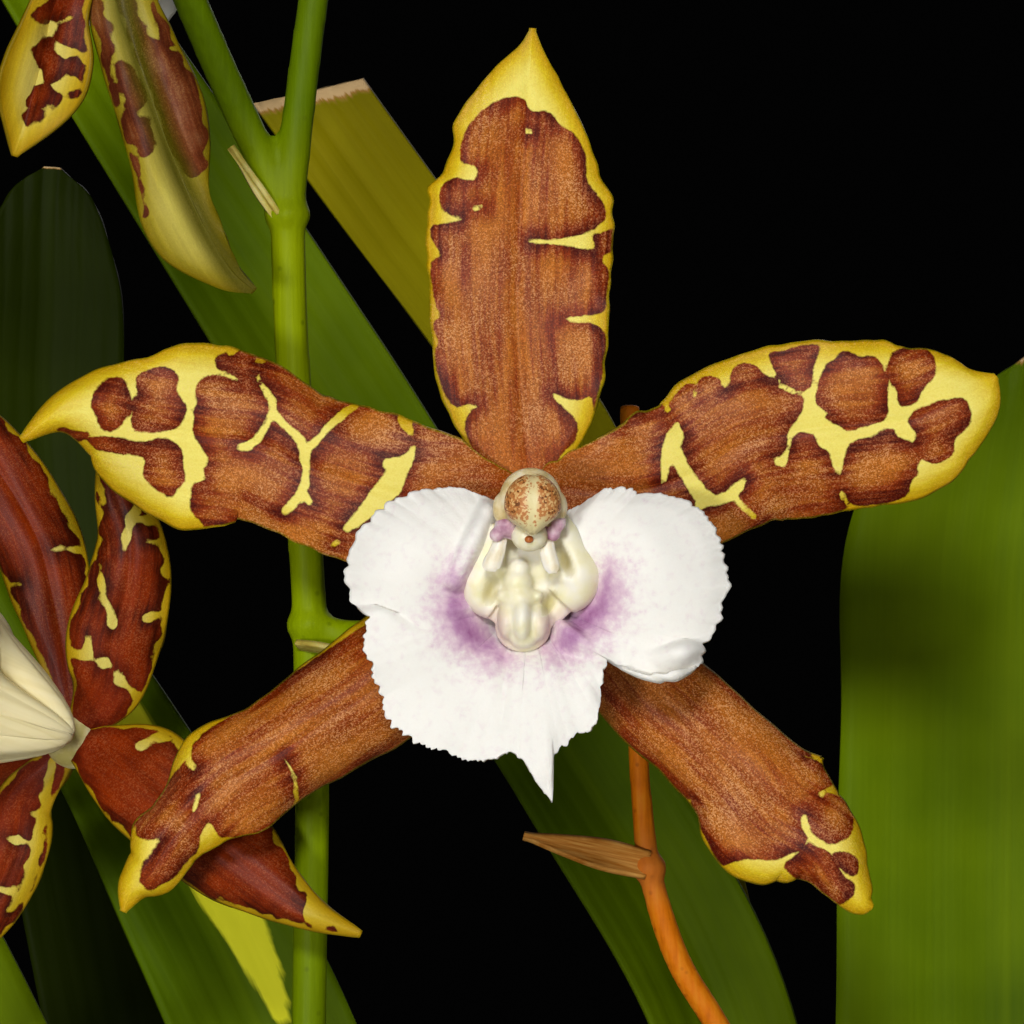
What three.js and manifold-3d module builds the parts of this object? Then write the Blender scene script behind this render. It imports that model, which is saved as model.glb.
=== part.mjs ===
// A flowering miltonia orchid in a plain clay pot: pseudobulbs on a creeping rhizome, strap leaves,
// one flower spike in bloom, one old spike, and five open flowers. Millimetres, +Z up.
// The origin is the middle of the pot's underside. The flowers' front is -Y.
import * as THREE from "three";
import { mergeVertices } from "three/addons/utils/BufferGeometryUtils.js";
import Module from "manifold-3d";

const wasm = await Module();
wasm.setup();

// Driving dimensions
const POT_HEIGHT = 125;
const POT_FOOT_RADIUS = 50;
const POT_BODY_RADIUS = 68;
const POT_RIM_RADIUS = 74;
const POT_RIM_HEIGHT = 26;
const POT_WALL = 5.5;
const POT_FLOOR = 7;
const DRAIN_HOLE_RADIUS = 5;
const DRAIN_RING_RADIUS = 27;
const BARK_LEVEL = 108;
const BULB_HEIGHT = 66;
const BULB_BASE = 109;
const TEPAL_THICK = 0.8;
const LEAF_THICK = 1.0;
const STEM_RADIUS = 1.5;
const TOP_RADIUS = 1.15;
const OLD_STEM_RADIUS = 1.15;
const ROUND = 26;
const GAP = 0.35;
// The main flower's column foot, which is the zero of the flower tables below.
const MAIN_FLOWER = [-15, -45, 335];

const root = new THREE.Group();

const FINISH = {
  clay: new THREE.MeshStandardMaterial({ color: 0xb5653f, roughness: 0.9, metalness: 0 }),
  bark: new THREE.MeshStandardMaterial({ color: 0x5b3a22, roughness: 0.95, metalness: 0 }),
  bulb: new THREE.MeshStandardMaterial({ color: 0x8b9a3a, roughness: 0.5, metalness: 0 }),
  rhizome: new THREE.MeshStandardMaterial({ color: 0x7a5a34, roughness: 0.85, metalness: 0 }),
  leaf: new THREE.MeshStandardMaterial({ color: 0x3f7412, roughness: 0.45, metalness: 0 }),
  pale_leaf: new THREE.MeshStandardMaterial({ color: 0x8d8a12, roughness: 0.5, metalness: 0 }),
  stem: new THREE.MeshStandardMaterial({ color: 0x76a814, roughness: 0.5, metalness: 0 }),
  dry_stem: new THREE.MeshStandardMaterial({ color: 0xc8641a, roughness: 0.6, metalness: 0 }),
  sheath: new THREE.MeshStandardMaterial({ color: 0xa98a55, roughness: 0.9, metalness: 0 }),
  tepal: new THREE.MeshStandardMaterial({ color: 0x8e4020, roughness: 0.55, metalness: 0 }),
  lip: new THREE.MeshStandardMaterial({ color: 0xf4f0ee, roughness: 0.6, metalness: 0 }),
  column: new THREE.MeshStandardMaterial({ color: 0xefe6b8, roughness: 0.5, metalness: 0 }),
  anther: new THREE.MeshStandardMaterial({ color: 0xdcb377, roughness: 0.6, metalness: 0 }),
  bud: new THREE.MeshStandardMaterial({ color: 0xa7a02a, roughness: 0.5, metalness: 0 }),
};

function vector([x, y, z]) {
  return new THREE.Vector3(x, y, z);
}

// A lathe profile of [radius, height] pairs turned about the upright axis
function turned(profile, sides) {
  const outline = profile.map(([r, z]) => new THREE.Vector2(r, z));
  return new THREE.LatheGeometry(outline, sides).rotateX(Math.PI / 2);
}

function upright(radius, height, sides) {
  return new THREE.CylinderGeometry(radius, radius, height, sides).rotateX(Math.PI / 2);
}

// Solids: between three.js geometry and manifold-3d
function solidOf(geometry) {
  const bare = geometry.index ? geometry.toNonIndexed() : geometry.clone();
  const positions = new THREE.BufferGeometry().setAttribute("position", bare.getAttribute("position"));
  const merged = mergeVertices(positions, 1e-4);
  const triVerts = [];
  const index = merged.index.array;
  for (let i = 0; i < index.length; i += 3) {
    const [a, b, c] = [index[i], index[i + 1], index[i + 2]];
    if (a !== b && b !== c && a !== c) triVerts.push(a, b, c);
  }
  const vertProperties = merged.attributes.position.array;
  const mesh = new wasm.Mesh({ numProp: 3, vertProperties, triVerts: new Uint32Array(triVerts) });
  return new wasm.Manifold(mesh);
}

function geometryOf(solid) {
  const mesh = solid.getMesh();
  const geometry = new THREE.BufferGeometry();
  geometry.setAttribute("position", new THREE.BufferAttribute(new Float32Array(mesh.vertProperties), 3));
  geometry.setIndex(new THREE.BufferAttribute(new Uint32Array(mesh.triVerts), 1));
  geometry.computeVertexNormals();
  return geometry;
}

function fuse(geometries) {
  return geometryOf(geometries.map(solidOf).reduce((all, next) => all.add(next)));
}

function carve(geometry, tools) {
  return geometryOf(tools.map(solidOf).reduce((left, tool) => left.subtract(tool), solidOf(geometry)));
}

function node(name, geometry, finish, parent = root) {
  const mesh = new THREE.Mesh(geometry, FINISH[finish]);
  mesh.name = name;
  parent.add(mesh);
  return mesh;
}

// A closed geometry from a grid of front points and a grid of back points, rows by columns.
function closedSheet(front, back) {
  const rows = front.length;
  const columns = front[0].length;
  const points = [...front.flat(), ...back.flat()];
  const at = (side, i, j) => side * rows * columns + i * columns + j;
  const faces = [];
  const quad = (a, b, c, d) => faces.push(a, b, c, a, c, d);
  for (let i = 0; i < rows - 1; i++) {
    for (let j = 0; j < columns - 1; j++) {
      quad(at(0, i, j), at(0, i + 1, j), at(0, i + 1, j + 1), at(0, i, j + 1));
      faces.push(at(1, i, j), at(1, i, j + 1), at(1, i + 1, j + 1));
      faces.push(at(1, i, j), at(1, i + 1, j + 1), at(1, i + 1, j));
    }
  }
  for (let i = 0; i < rows - 1; i++) {
    quad(at(0, i, 0), at(1, i, 0), at(1, i + 1, 0), at(0, i + 1, 0));
    quad(at(0, i + 1, columns - 1), at(1, i + 1, columns - 1), at(1, i, columns - 1), at(0, i, columns - 1));
  }
  for (let j = 0; j < columns - 1; j++) {
    quad(at(0, 0, j + 1), at(1, 0, j + 1), at(1, 0, j), at(0, 0, j));
    quad(at(0, rows - 1, j), at(1, rows - 1, j), at(1, rows - 1, j + 1), at(0, rows - 1, j + 1));
  }
  const geometry = new THREE.BufferGeometry().setFromPoints(points);
  geometry.setIndex(faces);
  geometry.computeVertexNormals();
  return facingOut(geometry);
}

function facingOut(geometry) {
  const p = geometry.getAttribute("position");
  const index = geometry.index;
  let volume = 0;
  for (let i = 0; i < index.count; i += 3) {
    const [a, b, c] = [0, 1, 2].map((k) => new THREE.Vector3().fromBufferAttribute(p, index.getX(i + k)));
    volume += a.dot(b.cross(c));
  }
  if (volume < 0) {
    for (let i = 0; i < index.count; i += 3) {
      const second = index.getX(i + 1);
      index.setX(i + 1, index.getX(i + 2));
      index.setX(i + 2, second);
    }
  }
  return geometry;
}

// Smooth interpolation through a table's rows, evenly spaced in t from 0 to 1.
function smoothRow(rows, t) {
  const last = rows.length - 1;
  const place = Math.min(Math.max(t, 0), 1) * last;
  const i = Math.min(Math.floor(place), last - 1);
  const f = place - i;
  const row = (k, column) => {
    if (k < 0) return 2 * rows[0][column] - rows[1][column];
    if (k > last) return 2 * rows[last][column] - rows[last - 1][column];
    return rows[k][column];
  };
  return rows[0].map((_, c) => {
    const [a, b, d, e] = [row(i - 1, c), row(i, c), row(i + 1, c), row(i + 2, c)];
    return b + 0.5 * f * (d - a + f * (2 * a - 5 * b + 4 * d - e + f * (3 * (b - d) + e - a)));
  });
}

// A blade, such as a leaf or a petal. A row of the table is a station along its midline:
// x, y, z, half width to the left and right, then how far the left and right edges fall behind it.
// Left and right are as seen with the blade growing away from you and its face towards you.
function bladeGeometry(table, { faceBase, faceTip = faceBase, along, across, thick, crease = 2 }) {
  const least = 0.3;
  const point = (t, s) => {
    const [x, y, z, left, right, fallLeft, fallRight] = smoothRow(table, t);
    const before = smoothRow(table, t - 0.004);
    const after = smoothRow(table, t + 0.004);
    const along3 = vector(after).sub(vector(before)).normalize();
    const face = faceBase.clone().lerp(faceTip, t);
    face.addScaledVector(along3, -face.dot(along3)).normalize();
    const side = along3.clone().cross(face);
    const width = Math.max(least, s > 0 ? right : left);
    const fall = (s > 0 ? fallRight : fallLeft) * Math.abs(s) ** crease;
    return new THREE.Vector3(x, y, z).addScaledVector(side, s * width).addScaledVector(face, -fall);
  };
  const front = [];
  const back = [];
  for (let i = 0; i <= along; i++) {
    const t = i / along;
    const frontRow = [];
    const backRow = [];
    for (let j = 0; j <= across; j++) {
      const s = -1 + (2 * j) / across;
      const middle = point(t, s);
      const lengthways = point(Math.min(t + 0.01, 1), s).sub(point(Math.max(t - 0.01, 0), s));
      const sideways = point(t, Math.min(s + 0.05, 1)).sub(point(t, Math.max(s - 0.05, -1)));
      const normal = lengthways.cross(sideways).normalize().multiplyScalar(-thick / 2);
      frontRow.push(middle.clone().add(normal));
      backRow.push(middle.clone().sub(normal));
    }
    front.push(frontRow);
    back.push(backRow);
  }
  return closedSheet(front, back);
}

function tube(points, radius, steps, sides = 7) {
  const path = new THREE.CatmullRomCurve3(points.map(vector));
  const ring = Array.from({ length: sides }, (_, k) => {
    const angle = (2 * Math.PI * k) / sides;
    return new THREE.Vector2(radius * Math.cos(angle), radius * Math.sin(angle));
  });
  return new THREE.ExtrudeGeometry(new THREE.Shape(ring), { steps, extrudePath: path, bevelEnabled: false });
}

function ball(x, y, z, rx, ry, rz, sides = 8, rings = 6) {
  return new THREE.SphereGeometry(1, sides, rings).scale(rx, ry, rz).translate(x, y, z);
}

// Pot: thrown clay with a thick rim, and four drain holes round a solid middle
function potInnerRadius(z) {
  return POT_FOOT_RADIUS - POT_WALL + ((POT_BODY_RADIUS - POT_FOOT_RADIUS) * z) / POT_HEIGHT + 1;
}

function pot() {
  const rimFoot = POT_HEIGHT - POT_RIM_HEIGHT;
  const bodyAtRim = POT_FOOT_RADIUS + ((POT_BODY_RADIUS - POT_FOOT_RADIUS) * rimFoot) / POT_HEIGHT;
  const profile = [
    [0, 0],
    [POT_FOOT_RADIUS - 2, 0],
    [POT_FOOT_RADIUS, 2],
    [bodyAtRim, rimFoot],
    [POT_RIM_RADIUS - 3.5, rimFoot + 1],
    [POT_RIM_RADIUS - 2, rimFoot + 3],
    [POT_RIM_RADIUS, POT_HEIGHT - 3],
    [POT_RIM_RADIUS - 2, POT_HEIGHT],
    [potInnerRadius(POT_HEIGHT) + 1.5, POT_HEIGHT],
    [potInnerRadius(POT_HEIGHT - 3), POT_HEIGHT - 3],
    [potInnerRadius(POT_FLOOR), POT_FLOOR],
    [0, POT_FLOOR],
  ];
  const body = turned(profile, ROUND);
  const holes = [0, 1, 2, 3].map((k) => {
    const angle = Math.PI / 4 + (k * Math.PI) / 2;
    const [x, y] = [DRAIN_RING_RADIUS * Math.cos(angle), DRAIN_RING_RADIUS * Math.sin(angle)];
    return upright(DRAIN_HOLE_RADIUS, 3 * POT_FLOOR, 12).translate(x, y, 0);
  });
  return carve(facingOut(indexed(body)), holes);
}

function indexed(geometry) {
  geometry.deleteAttribute("normal");
  geometry.deleteAttribute("uv");
  return mergeVertices(geometry, 1e-4);
}

// Pseudobulbs: flattened ovoids, each where it stands, how it is turned and how it leans
const BULBS = {
  bulb_front: { x: -22, y: -24, size: 1.0, turn: 10, leanX: -0.03, leanY: -0.02 },
  bulb_right: { x: 22, y: -16, size: 0.97, turn: -25, leanX: 0.03, leanY: 0.04 },
  bulb_middle: { x: -9, y: 5, size: 0.98, turn: 35, leanX: -0.02, leanY: 0.0 },
  bulb_rear: { x: 15, y: 31, size: 1.0, turn: 80, leanX: 0.02, leanY: 0.02 },
  bulb_left: { x: -35, y: 22, size: 0.95, turn: 60, leanX: 0.05, leanY: 0.04 },
  bulb_side: { x: 47, y: 18, size: 0.93, turn: 65, leanX: 0.02, leanY: 0.05 },
  bulb_old: { x: -14, y: 46, size: 0.72, turn: 20, leanX: -0.04, leanY: 0.03 },
};
const BULB_PROFILE = [
  [0, 0],
  [6.5, 0],
  [11, 7],
  [13, 18],
  [12.4, 31],
  [9.6, 45],
  [6.4, 56],
  [4.4, 63],
  [3.2, BULB_HEIGHT],
  [0, BULB_HEIGHT],
];
const BULB_FLATNESS = 0.68;

function bulb({ x, y, size, turn, leanX, leanY }, grow = 0) {
  const grownHeight = (z) => (z === 0 ? -grow : z);
  const profile = BULB_PROFILE.map(([r, z]) => [r === 0 ? 0 : r + grow, grownHeight(z)]);
  const body = turned(profile, 10);
  const flat = BULB_FLATNESS + (grow * (1 - BULB_FLATNESS)) / 10;
  body.scale(size, size * flat, size).rotateZ((turn * Math.PI) / 180);
  const shear = new THREE.Matrix4().set(1, 0, leanX, 0, 0, 1, leanY, 0, 0, 0, 1, 0, 0, 0, 0, 1);
  return facingOut(indexed(body.applyMatrix4(shear).translate(x, y, BULB_BASE)));
}

// Rhizome: the creeping stem that joins the bulbs at bark level
const RHIZOME_RADIUS = 3.4;
const RHIZOME_LEVEL = BULB_BASE - RHIZOME_RADIUS - GAP;
const RHIZOME_RUN = ["bulb_old", "bulb_left", "bulb_middle", "bulb_front"];
const RHIZOME_BRANCH = ["bulb_middle", "bulb_rear", "bulb_side", "bulb_right"];

function rhizome(grow = 0) {
  const through = (names) => {
    const route = names.map((name) => new THREE.Vector3(BULBS[name].x, BULBS[name].y, RHIZOME_LEVEL));
    const [first, second] = route;
    const [beforeLast, last] = route.slice(-2);
    const start = first.clone().addScaledVector(first.clone().sub(second).normalize(), 2 + grow);
    const end = last.clone().addScaledVector(last.clone().sub(beforeLast).normalize(), 2 + grow);
    return [start, ...route.slice(1, -1), end].map((point) => point.toArray());
  };
  const run = tube(through(RHIZOME_RUN), RHIZOME_RADIUS + grow, 9, 7);
  const branch = tube(through(RHIZOME_BRANCH), RHIZOME_RADIUS + grow, 9, 7);
  return fuse([run, branch]);
}

// The other flowers: where each stands, where it looks, where its lip points, and its size
const OTHER_FLOWERS = {
  left: {
    at: [-53.2, -27, 314.9],
    looks: [-0.93, 0, 0.36],
    down: [0, -1, 0.05],
    scale: 0.93,
    lipDepth: 1.3,
  },
  upper: {
    at: [-48.6, -39, 383.8],
    looks: [-0.75, 0.62, 0.2],
    down: [0.45, 0.6, 0.35],
    scale: 0.93,
    lipDepth: 1,
  },
  high: {
    at: [-3.6, -37, 420.8],
    looks: [0.42, -0.88, 0.12],
    down: [-0.05, 0, -1],
    scale: 0.97,
    lipDepth: 1,
  },
  crown: {
    at: [-56.6, -38.6, 458.4],
    looks: [-0.66, -0.72, 0.2],
    down: [0.08, 0, -1],
    scale: 0.92,
    lipDepth: 1,
  },
};
const HUB_RADIUS = 2.6;

// The left and the upper flower's tepals, measured from the main flower's zero like the main tepals
const HAND_SHAPED = {
  left: [
    { // petal, upright
      face: [0, -1, 0],
      rows: [
        [-37.7, 16.5, -19.2, 1.2, 1.2, 0.2, 0.2],
        [-35.5, 14.5, -15.9, 3.1, 3.1, 0.6, 0.6],
        [-34.7, 13, -11.7, 4, 4, 1, 1],
        [-33.5, 12, -7.5, 3.6, 3.6, 1.2, 1.2],
        [-33.2, 11.5, -3.3, 2.8, 2.8, 1, 1],
        [-34.5, 11.5, 0.8, 1.7, 1.7, 0.6, 0.6],
        [-35.6, 12, 4.6, 0.3, 0.3, 0, 0],
      ],
    },
    { // upper sepal, laid back towards the stem
      face: [0, -1, 0],
      rows: [
        [-37.9, 16.4, -20.3, 1.5, 1.5, 0.2, 0.2],
        [-33.4, 12, -23.1, 5.0, 3.9, 1, 1],
        [-28.9, 9.5, -26.2, 4.3, 4.3, 1.6, 1.6],
        [-24.5, 7.8, -29.6, 4, 4, 1.8, 1.8],
        [-20.5, 7, -32.6, 2.2, 2.5, 1.2, 1.2],
        [-17.4, 6.6, -34.6, 1.2, 1.2, 0.6, 0.6],
        [-13.8, 6.6, -36, 0.3, 0.3, 0, 0],
      ],
    },
    { // sepal, up and left
      face: [0.2, -1, 0],
      rows: [
        [-38.5, 18.5, -18.7, 1.3, 1.3, 0, 0],
        [-39.1, 19.5, -13.9, 2.1, 2.1, 0.3, 0.3],
        [-40.2, 20.5, -8.5, 3.3, 3.3, 0.6, 0.6],
        [-41.3, 21.3, -4.1, 3.8, 3.8, 0.8, 0.8],
        [-43.2, 22, -0.4, 3.8, 3.8, 0.8, 0.8],
        [-45.3, 22.8, 3, 3.4, 3.4, 0.6, 0.6],
        [-47.4, 23.5, 6.4, 2.4, 2.4, 0.3, 0.3],
        [-49.2, 24.2, 9.4, 0.3, 0.3, 0, 0],
      ],
    },
    { // petal, down and left
      face: [0, -1, 0],
      rows: [
        [-39.5, 18.5, -21.8, 1.3, 1.3, 0, 0],
        [-42.5, 19.5, -25.4, 2.4, 2.4, 0.4, 0.4],
        [-43.4, 20.5, -29.2, 2.9, 2.9, 0.6, 0.6],
        [-45, 21.5, -33.1, 2.8, 2.8, 0.6, 0.6],
        [-46.8, 22.5, -36.5, 2, 2, 0.4, 0.4],
        [-48.5, 23.5, -39.6, 0.3, 0.3, 0, 0],
      ],
    },
    { // far sepal, down, left and away
      face: [0, -0.9, -0.4],
      rows: [
        [-39, 19.2, -20.7, 1.4, 1.4, 0, 0],
        [-42, 24, -22.5, 3.2, 3.2, 0.4, 0.4],
        [-45.5, 28, -24.5, 4, 4, 0.6, 0.6],
        [-49.5, 31.5, -27, 4, 4, 0.6, 0.6],
        [-54, 34, -29.5, 3, 3, 0.4, 0.4],
        [-58, 36, -32, 0.4, 0.4, 0, 0],
      ],
    },
  ],
  upper: [
    { // sepal, hanging, its back to the front
      face: [0, -1, 0],
      rows: [
        [-33.4, 5.5, 47.1, 1.6, 1.6, 0, 0],
        [-33.4, 3.5, 41.2, 2.8, 2.8, 0.8, 0.8],
        [-32.3, 2.6, 37.1, 3.4, 3.1, 1.4, 1.4],
        [-30.7, 2.4, 32.2, 4.0, 3.2, 1.8, 1.8],
        [-29.3, 2.8, 28.2, 3.3, 3.5, 1.4, 1.4],
        [-27.8, 3.4, 24.8, 1.7, 4.5, 0.8, 0.8],
        [-26.3, 4.2, 21.8, 1.3, 4.2, 0.4, 0.8],
        [-24.4, 5.2, 18.9, 0.7, 2.0, 0.2, 0.3],
        [-22.6, 6, 17.3, 0.3, 0.3, 0, 0],
      ],
    },
    { // petal, hanging to the left and folded along its middle
      face: [0.2, -1, 0],
      rows: [
        [-34.8, 5.3, 47.7, 1.4, 1.4, 0, 0],
        [-37.6, 4, 43.7, 2.4, 2, -0.6, -0.6],
        [-39.1, 3.5, 40.4, 2.9, 2.2, -1.2, -1],
        [-39.9, 4, 36.7, 3.9, 3.2, -1.8, -1.4],
        [-41, 5, 33.1, 3.4, 3, -1.6, -1.4],
        [-42.5, 6, 28.5, 0.3, 0.3, 0, 0],
      ],
    },
    { // petal, left and forward
      face: [0.5, -0.4, 0.7],
      rows: [
        [-34.6, 4.9, 49.2, 1.5, 1.5, 0, 0],
        [-39, -1, 51.5, 4.6, 4.6, 0.5, 0.5],
        [-43.5, -7, 53, 6, 6, 0.8, 0.8],
        [-48, -12, 53.5, 5.6, 5.6, 0.8, 0.8],
        [-52, -16.5, 53, 3.6, 3.6, 0.4, 0.4],
        [-55.5, -20, 52, 0.4, 0.4, 0, 0],
      ],
    },
    { // sepal, upright
      face: [0.77, -0.63, 0],
      rows: [
        [-33.7, 6.4, 50.2, 1.6, 1.6, 0, 0],
        [-34.5, 5, 57, 4.8, 4.8, 0.5, 0.5],
        [-35.3, 4.2, 64, 6.4, 6.4, 0.9, 0.9],
        [-36, 4.6, 71, 6.2, 6.2, 0.9, 0.9],
        [-36.4, 6, 77, 3.8, 3.8, 0.5, 0.5],
        [-36.6, 8, 82, 0.4, 0.4, 0, 0],
      ],
    },
    { // sepal, up, right and away
      face: [0.75, -0.62, -0.2],
      rows: [
        [-32.8, 6.9, 49.9, 1.2, 1.2, 0, 0],
        [-27.9, 9.4, 54.6, 3.4, 3.4, 0.5, 0.5],
        [-22.9, 13, 60, 4.6, 4.6, 0.7, 0.7],
        [-20.6, 18.5, 66, 4.6, 4.6, 0.7, 0.7],
        [-18.2, 22, 71, 2.8, 2.8, 0.4, 0.4],
        [-16.8, 24.5, 75, 0.4, 0.4, 0, 0],
      ],
    },
  ],
};

// Flower spike: its stem's route, and each flower stalk's route from the stem to its flower
const SPIKE_ROUTE = [
  [-38.2, -33, 98],
  [-38.2, -33, 118],
  [-38.0, -33.6, 150],
  [-36.5, -34, 190],
  [-34.5, -32, 240],
  [-33.4, -30, 291],
  [-33.1, -30, 310],
  [-33.3, -30, 324.5],
  [-33.9, -30, 335],
  [-34.8, -30, 347.6],
  [-35.2, -30, 359],
  [-34.1, -30, 368.6],
  [-33, -30, 377],
  [-31, -30, 391],
  [-29, -30.5, 405],
  [-31.5, -31, 420],
  [-33, -31, 435],
  [-30.5, -31, 452],
  [-28, -31, 468],
  [-28.5, -31, 484],
  [-27, -31.5, 502],
];
const STALK_RADIUS = 1.45;
const STALKS = {
  main: [[-33.3, -30, 324.5], [-30.4, -30.5, 323.6], [-25.5, -32.5, 324.2], [-19.6, -37.2, 329.4]],
  left: [[-33.3, -30, 301.4], [-39, -28, 304.0], [-46, -26.2, 309.6]],
  upper: [
    [-35.2, -30, 359],
    [-37.3, -30, 363.6],
    [-40.4, -31, 370.3],
    [-43.2, -33, 376.8],
    [-44.9, -35.4, 381],
  ],
  high: [[-29, -30.5, 405], [-24, -29, 411], [-16, -27.5, 416.5]],
  crown: [[-33, -31, 435], [-38.0, -29.0, 442], [-43.6, -28.5, 450]],
};
const BUDS = [
  { foot: [-28, -31, 468], tip: [-12, -36, 486], radius: 4.0 },
  { foot: [-28.5, -31, 484], tip: [-41, -35, 497], radius: 3.4 },
  { foot: [-27.6, -31.3, 493], tip: [-17.5, -35, 505], radius: 2.9 },
  { foot: [-27, -31.5, 500], tip: [-29, -32, 515], radius: 2.4 },
];

function bract(foot, tip, width, facing) {
  const rows = [0, 0.35, 0.7, 1].map((t, k) => {
    const [x, y, z] = foot.map((v, c) => v + (tip[c] - v) * t);
    const half = width * [0.9, 1, 0.6, 0.1][k];
    return [x, y, z, half, half, -0.6 * half, -0.6 * half];
  });
  return bladeGeometry(rows, { faceBase: vector(facing), along: 3, across: 2, thick: 0.6 });
}

// The last points of a flower's stalk, where it meets the flower's back
function stalkEnd(name) {
  if (name === "main") return [[-15.4, -41.2, 334.2], [-15, -43.1, 335]];
  const { at, looks, scale } = OTHER_FLOWERS[name];
  const flower = vector(at);
  if (HAND_SHAPED[name]) {
    const away = vector(STALKS[name].at(-1)).sub(flower).normalize();
    return [flower.addScaledVector(away, HUB_RADIUS + GAP).toArray()];
  }
  const look = vector(looks).normalize();
  const behind = (distance) => flower.clone().addScaledVector(look, -distance).toArray();
  return [behind(1.9 * scale + 4.5), behind(1.9 * scale + GAP)];
}

function flowerSpike() {
  const stem = tube(SPIKE_ROUTE.slice(0, 11), STEM_RADIUS, 20, 6);
  const top = tube(SPIKE_ROUTE.slice(10), TOP_RADIUS, 15, 5);
  const knees = [7, 10, 14, 16, 18].map((k) => ball(...SPIKE_ROUTE[k], 2.1, 2.1, 1.7, 6, 3));
  const receptacle = ball(-15, -42.2, 335, 3.6, 0.8, 3.6, 8, 4);
  const stalks = Object.entries(STALKS).map(([name, route]) => {
    return tube([...route, ...stalkEnd(name)], STALK_RADIUS, 5, 6);
  });
  const budStalks = BUDS.map(({ foot, tip }) => {
    const [a, b] = [vector(foot), vector(tip)];
    return tube([foot, a.clone().lerp(b, 0.25).toArray(), a.clone().lerp(b, 0.5).toArray()], 1.0, 2, 5);
  });
  const bracts = [
    bract([-33.6, -30.6, 322.6], [-28.2, -33.4, 322.0], 1.9, [0, -0.3, 1]),
    bract([-35.6, -30.4, 357.6], [-39.9, -31.2, 364.6], 1.7, [-0.5, -0.8, -0.3]),
    bract([-28.4, -30.8, 403.4], [-24.6, -32.4, 407], 1.7, [-0.7, 0.2, 0.7]),
  ];
  return fuse([stem, top, receptacle, ...knees, ...stalks, ...budStalks, ...bracts]);
}

function bud({ foot, tip, radius }) {
  const [a, b] = [vector(foot), vector(tip)];
  const onward = b.clone().sub(a).normalize();
  const from = a.clone().lerp(b, 0.5).addScaledVector(onward, GAP);
  const length = b.distanceTo(from);
  const profile = [[0, 0], [0.5, 0], [0.92, 0.25], [1, 0.48], [0.75, 0.76], [0.25, 0.96], [0, 1]];
  const body = new THREE.LatheGeometry(profile.map(([r, h]) => new THREE.Vector2(r * radius, h * length)), 8);
  const turn = new THREE.Quaternion().setFromUnitVectors(new THREE.Vector3(0, 1, 0), onward);
  return facingOut(indexed(body.applyQuaternion(turn).translate(...from.toArray())));
}

// Old spike: bare, dried orange, with one bract left on its last joint
const OLD_SPIKE_ROUTE = [
  [39, -21, 98],
  [39, -21, 118],
  [39.6, -20, 150],
  [37, -17, 190],
  [29, -13, 225],
  [19, -10, 255],
  [8.5, -10, 277],
  [1.4, -10, 289.6],
  [-1.9, -10, 295.1],
  [-4.4, -10, 303.1],
  [-4.9, -10, 307.3],
  [-5.3, -10, 312.5],
  [-5.6, -10, 326.4],
  [-5.9, -10, 336.8],
  [-6.1, -10, 343.3],
];

function oldSpike() {
  const stem = tube(OLD_SPIKE_ROUTE, OLD_STEM_RADIUS, 22, 5);
  const knee = ball(-4.4, -10, 303.1, 1.6, 1.6, 1.5, 6, 3);
  return fuse([stem, knee, bract([-4.6, -10.4, 303.4], [-15.3, -12, 306.0], 1.35, [-0.2, 0, 1])]);
}

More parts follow.
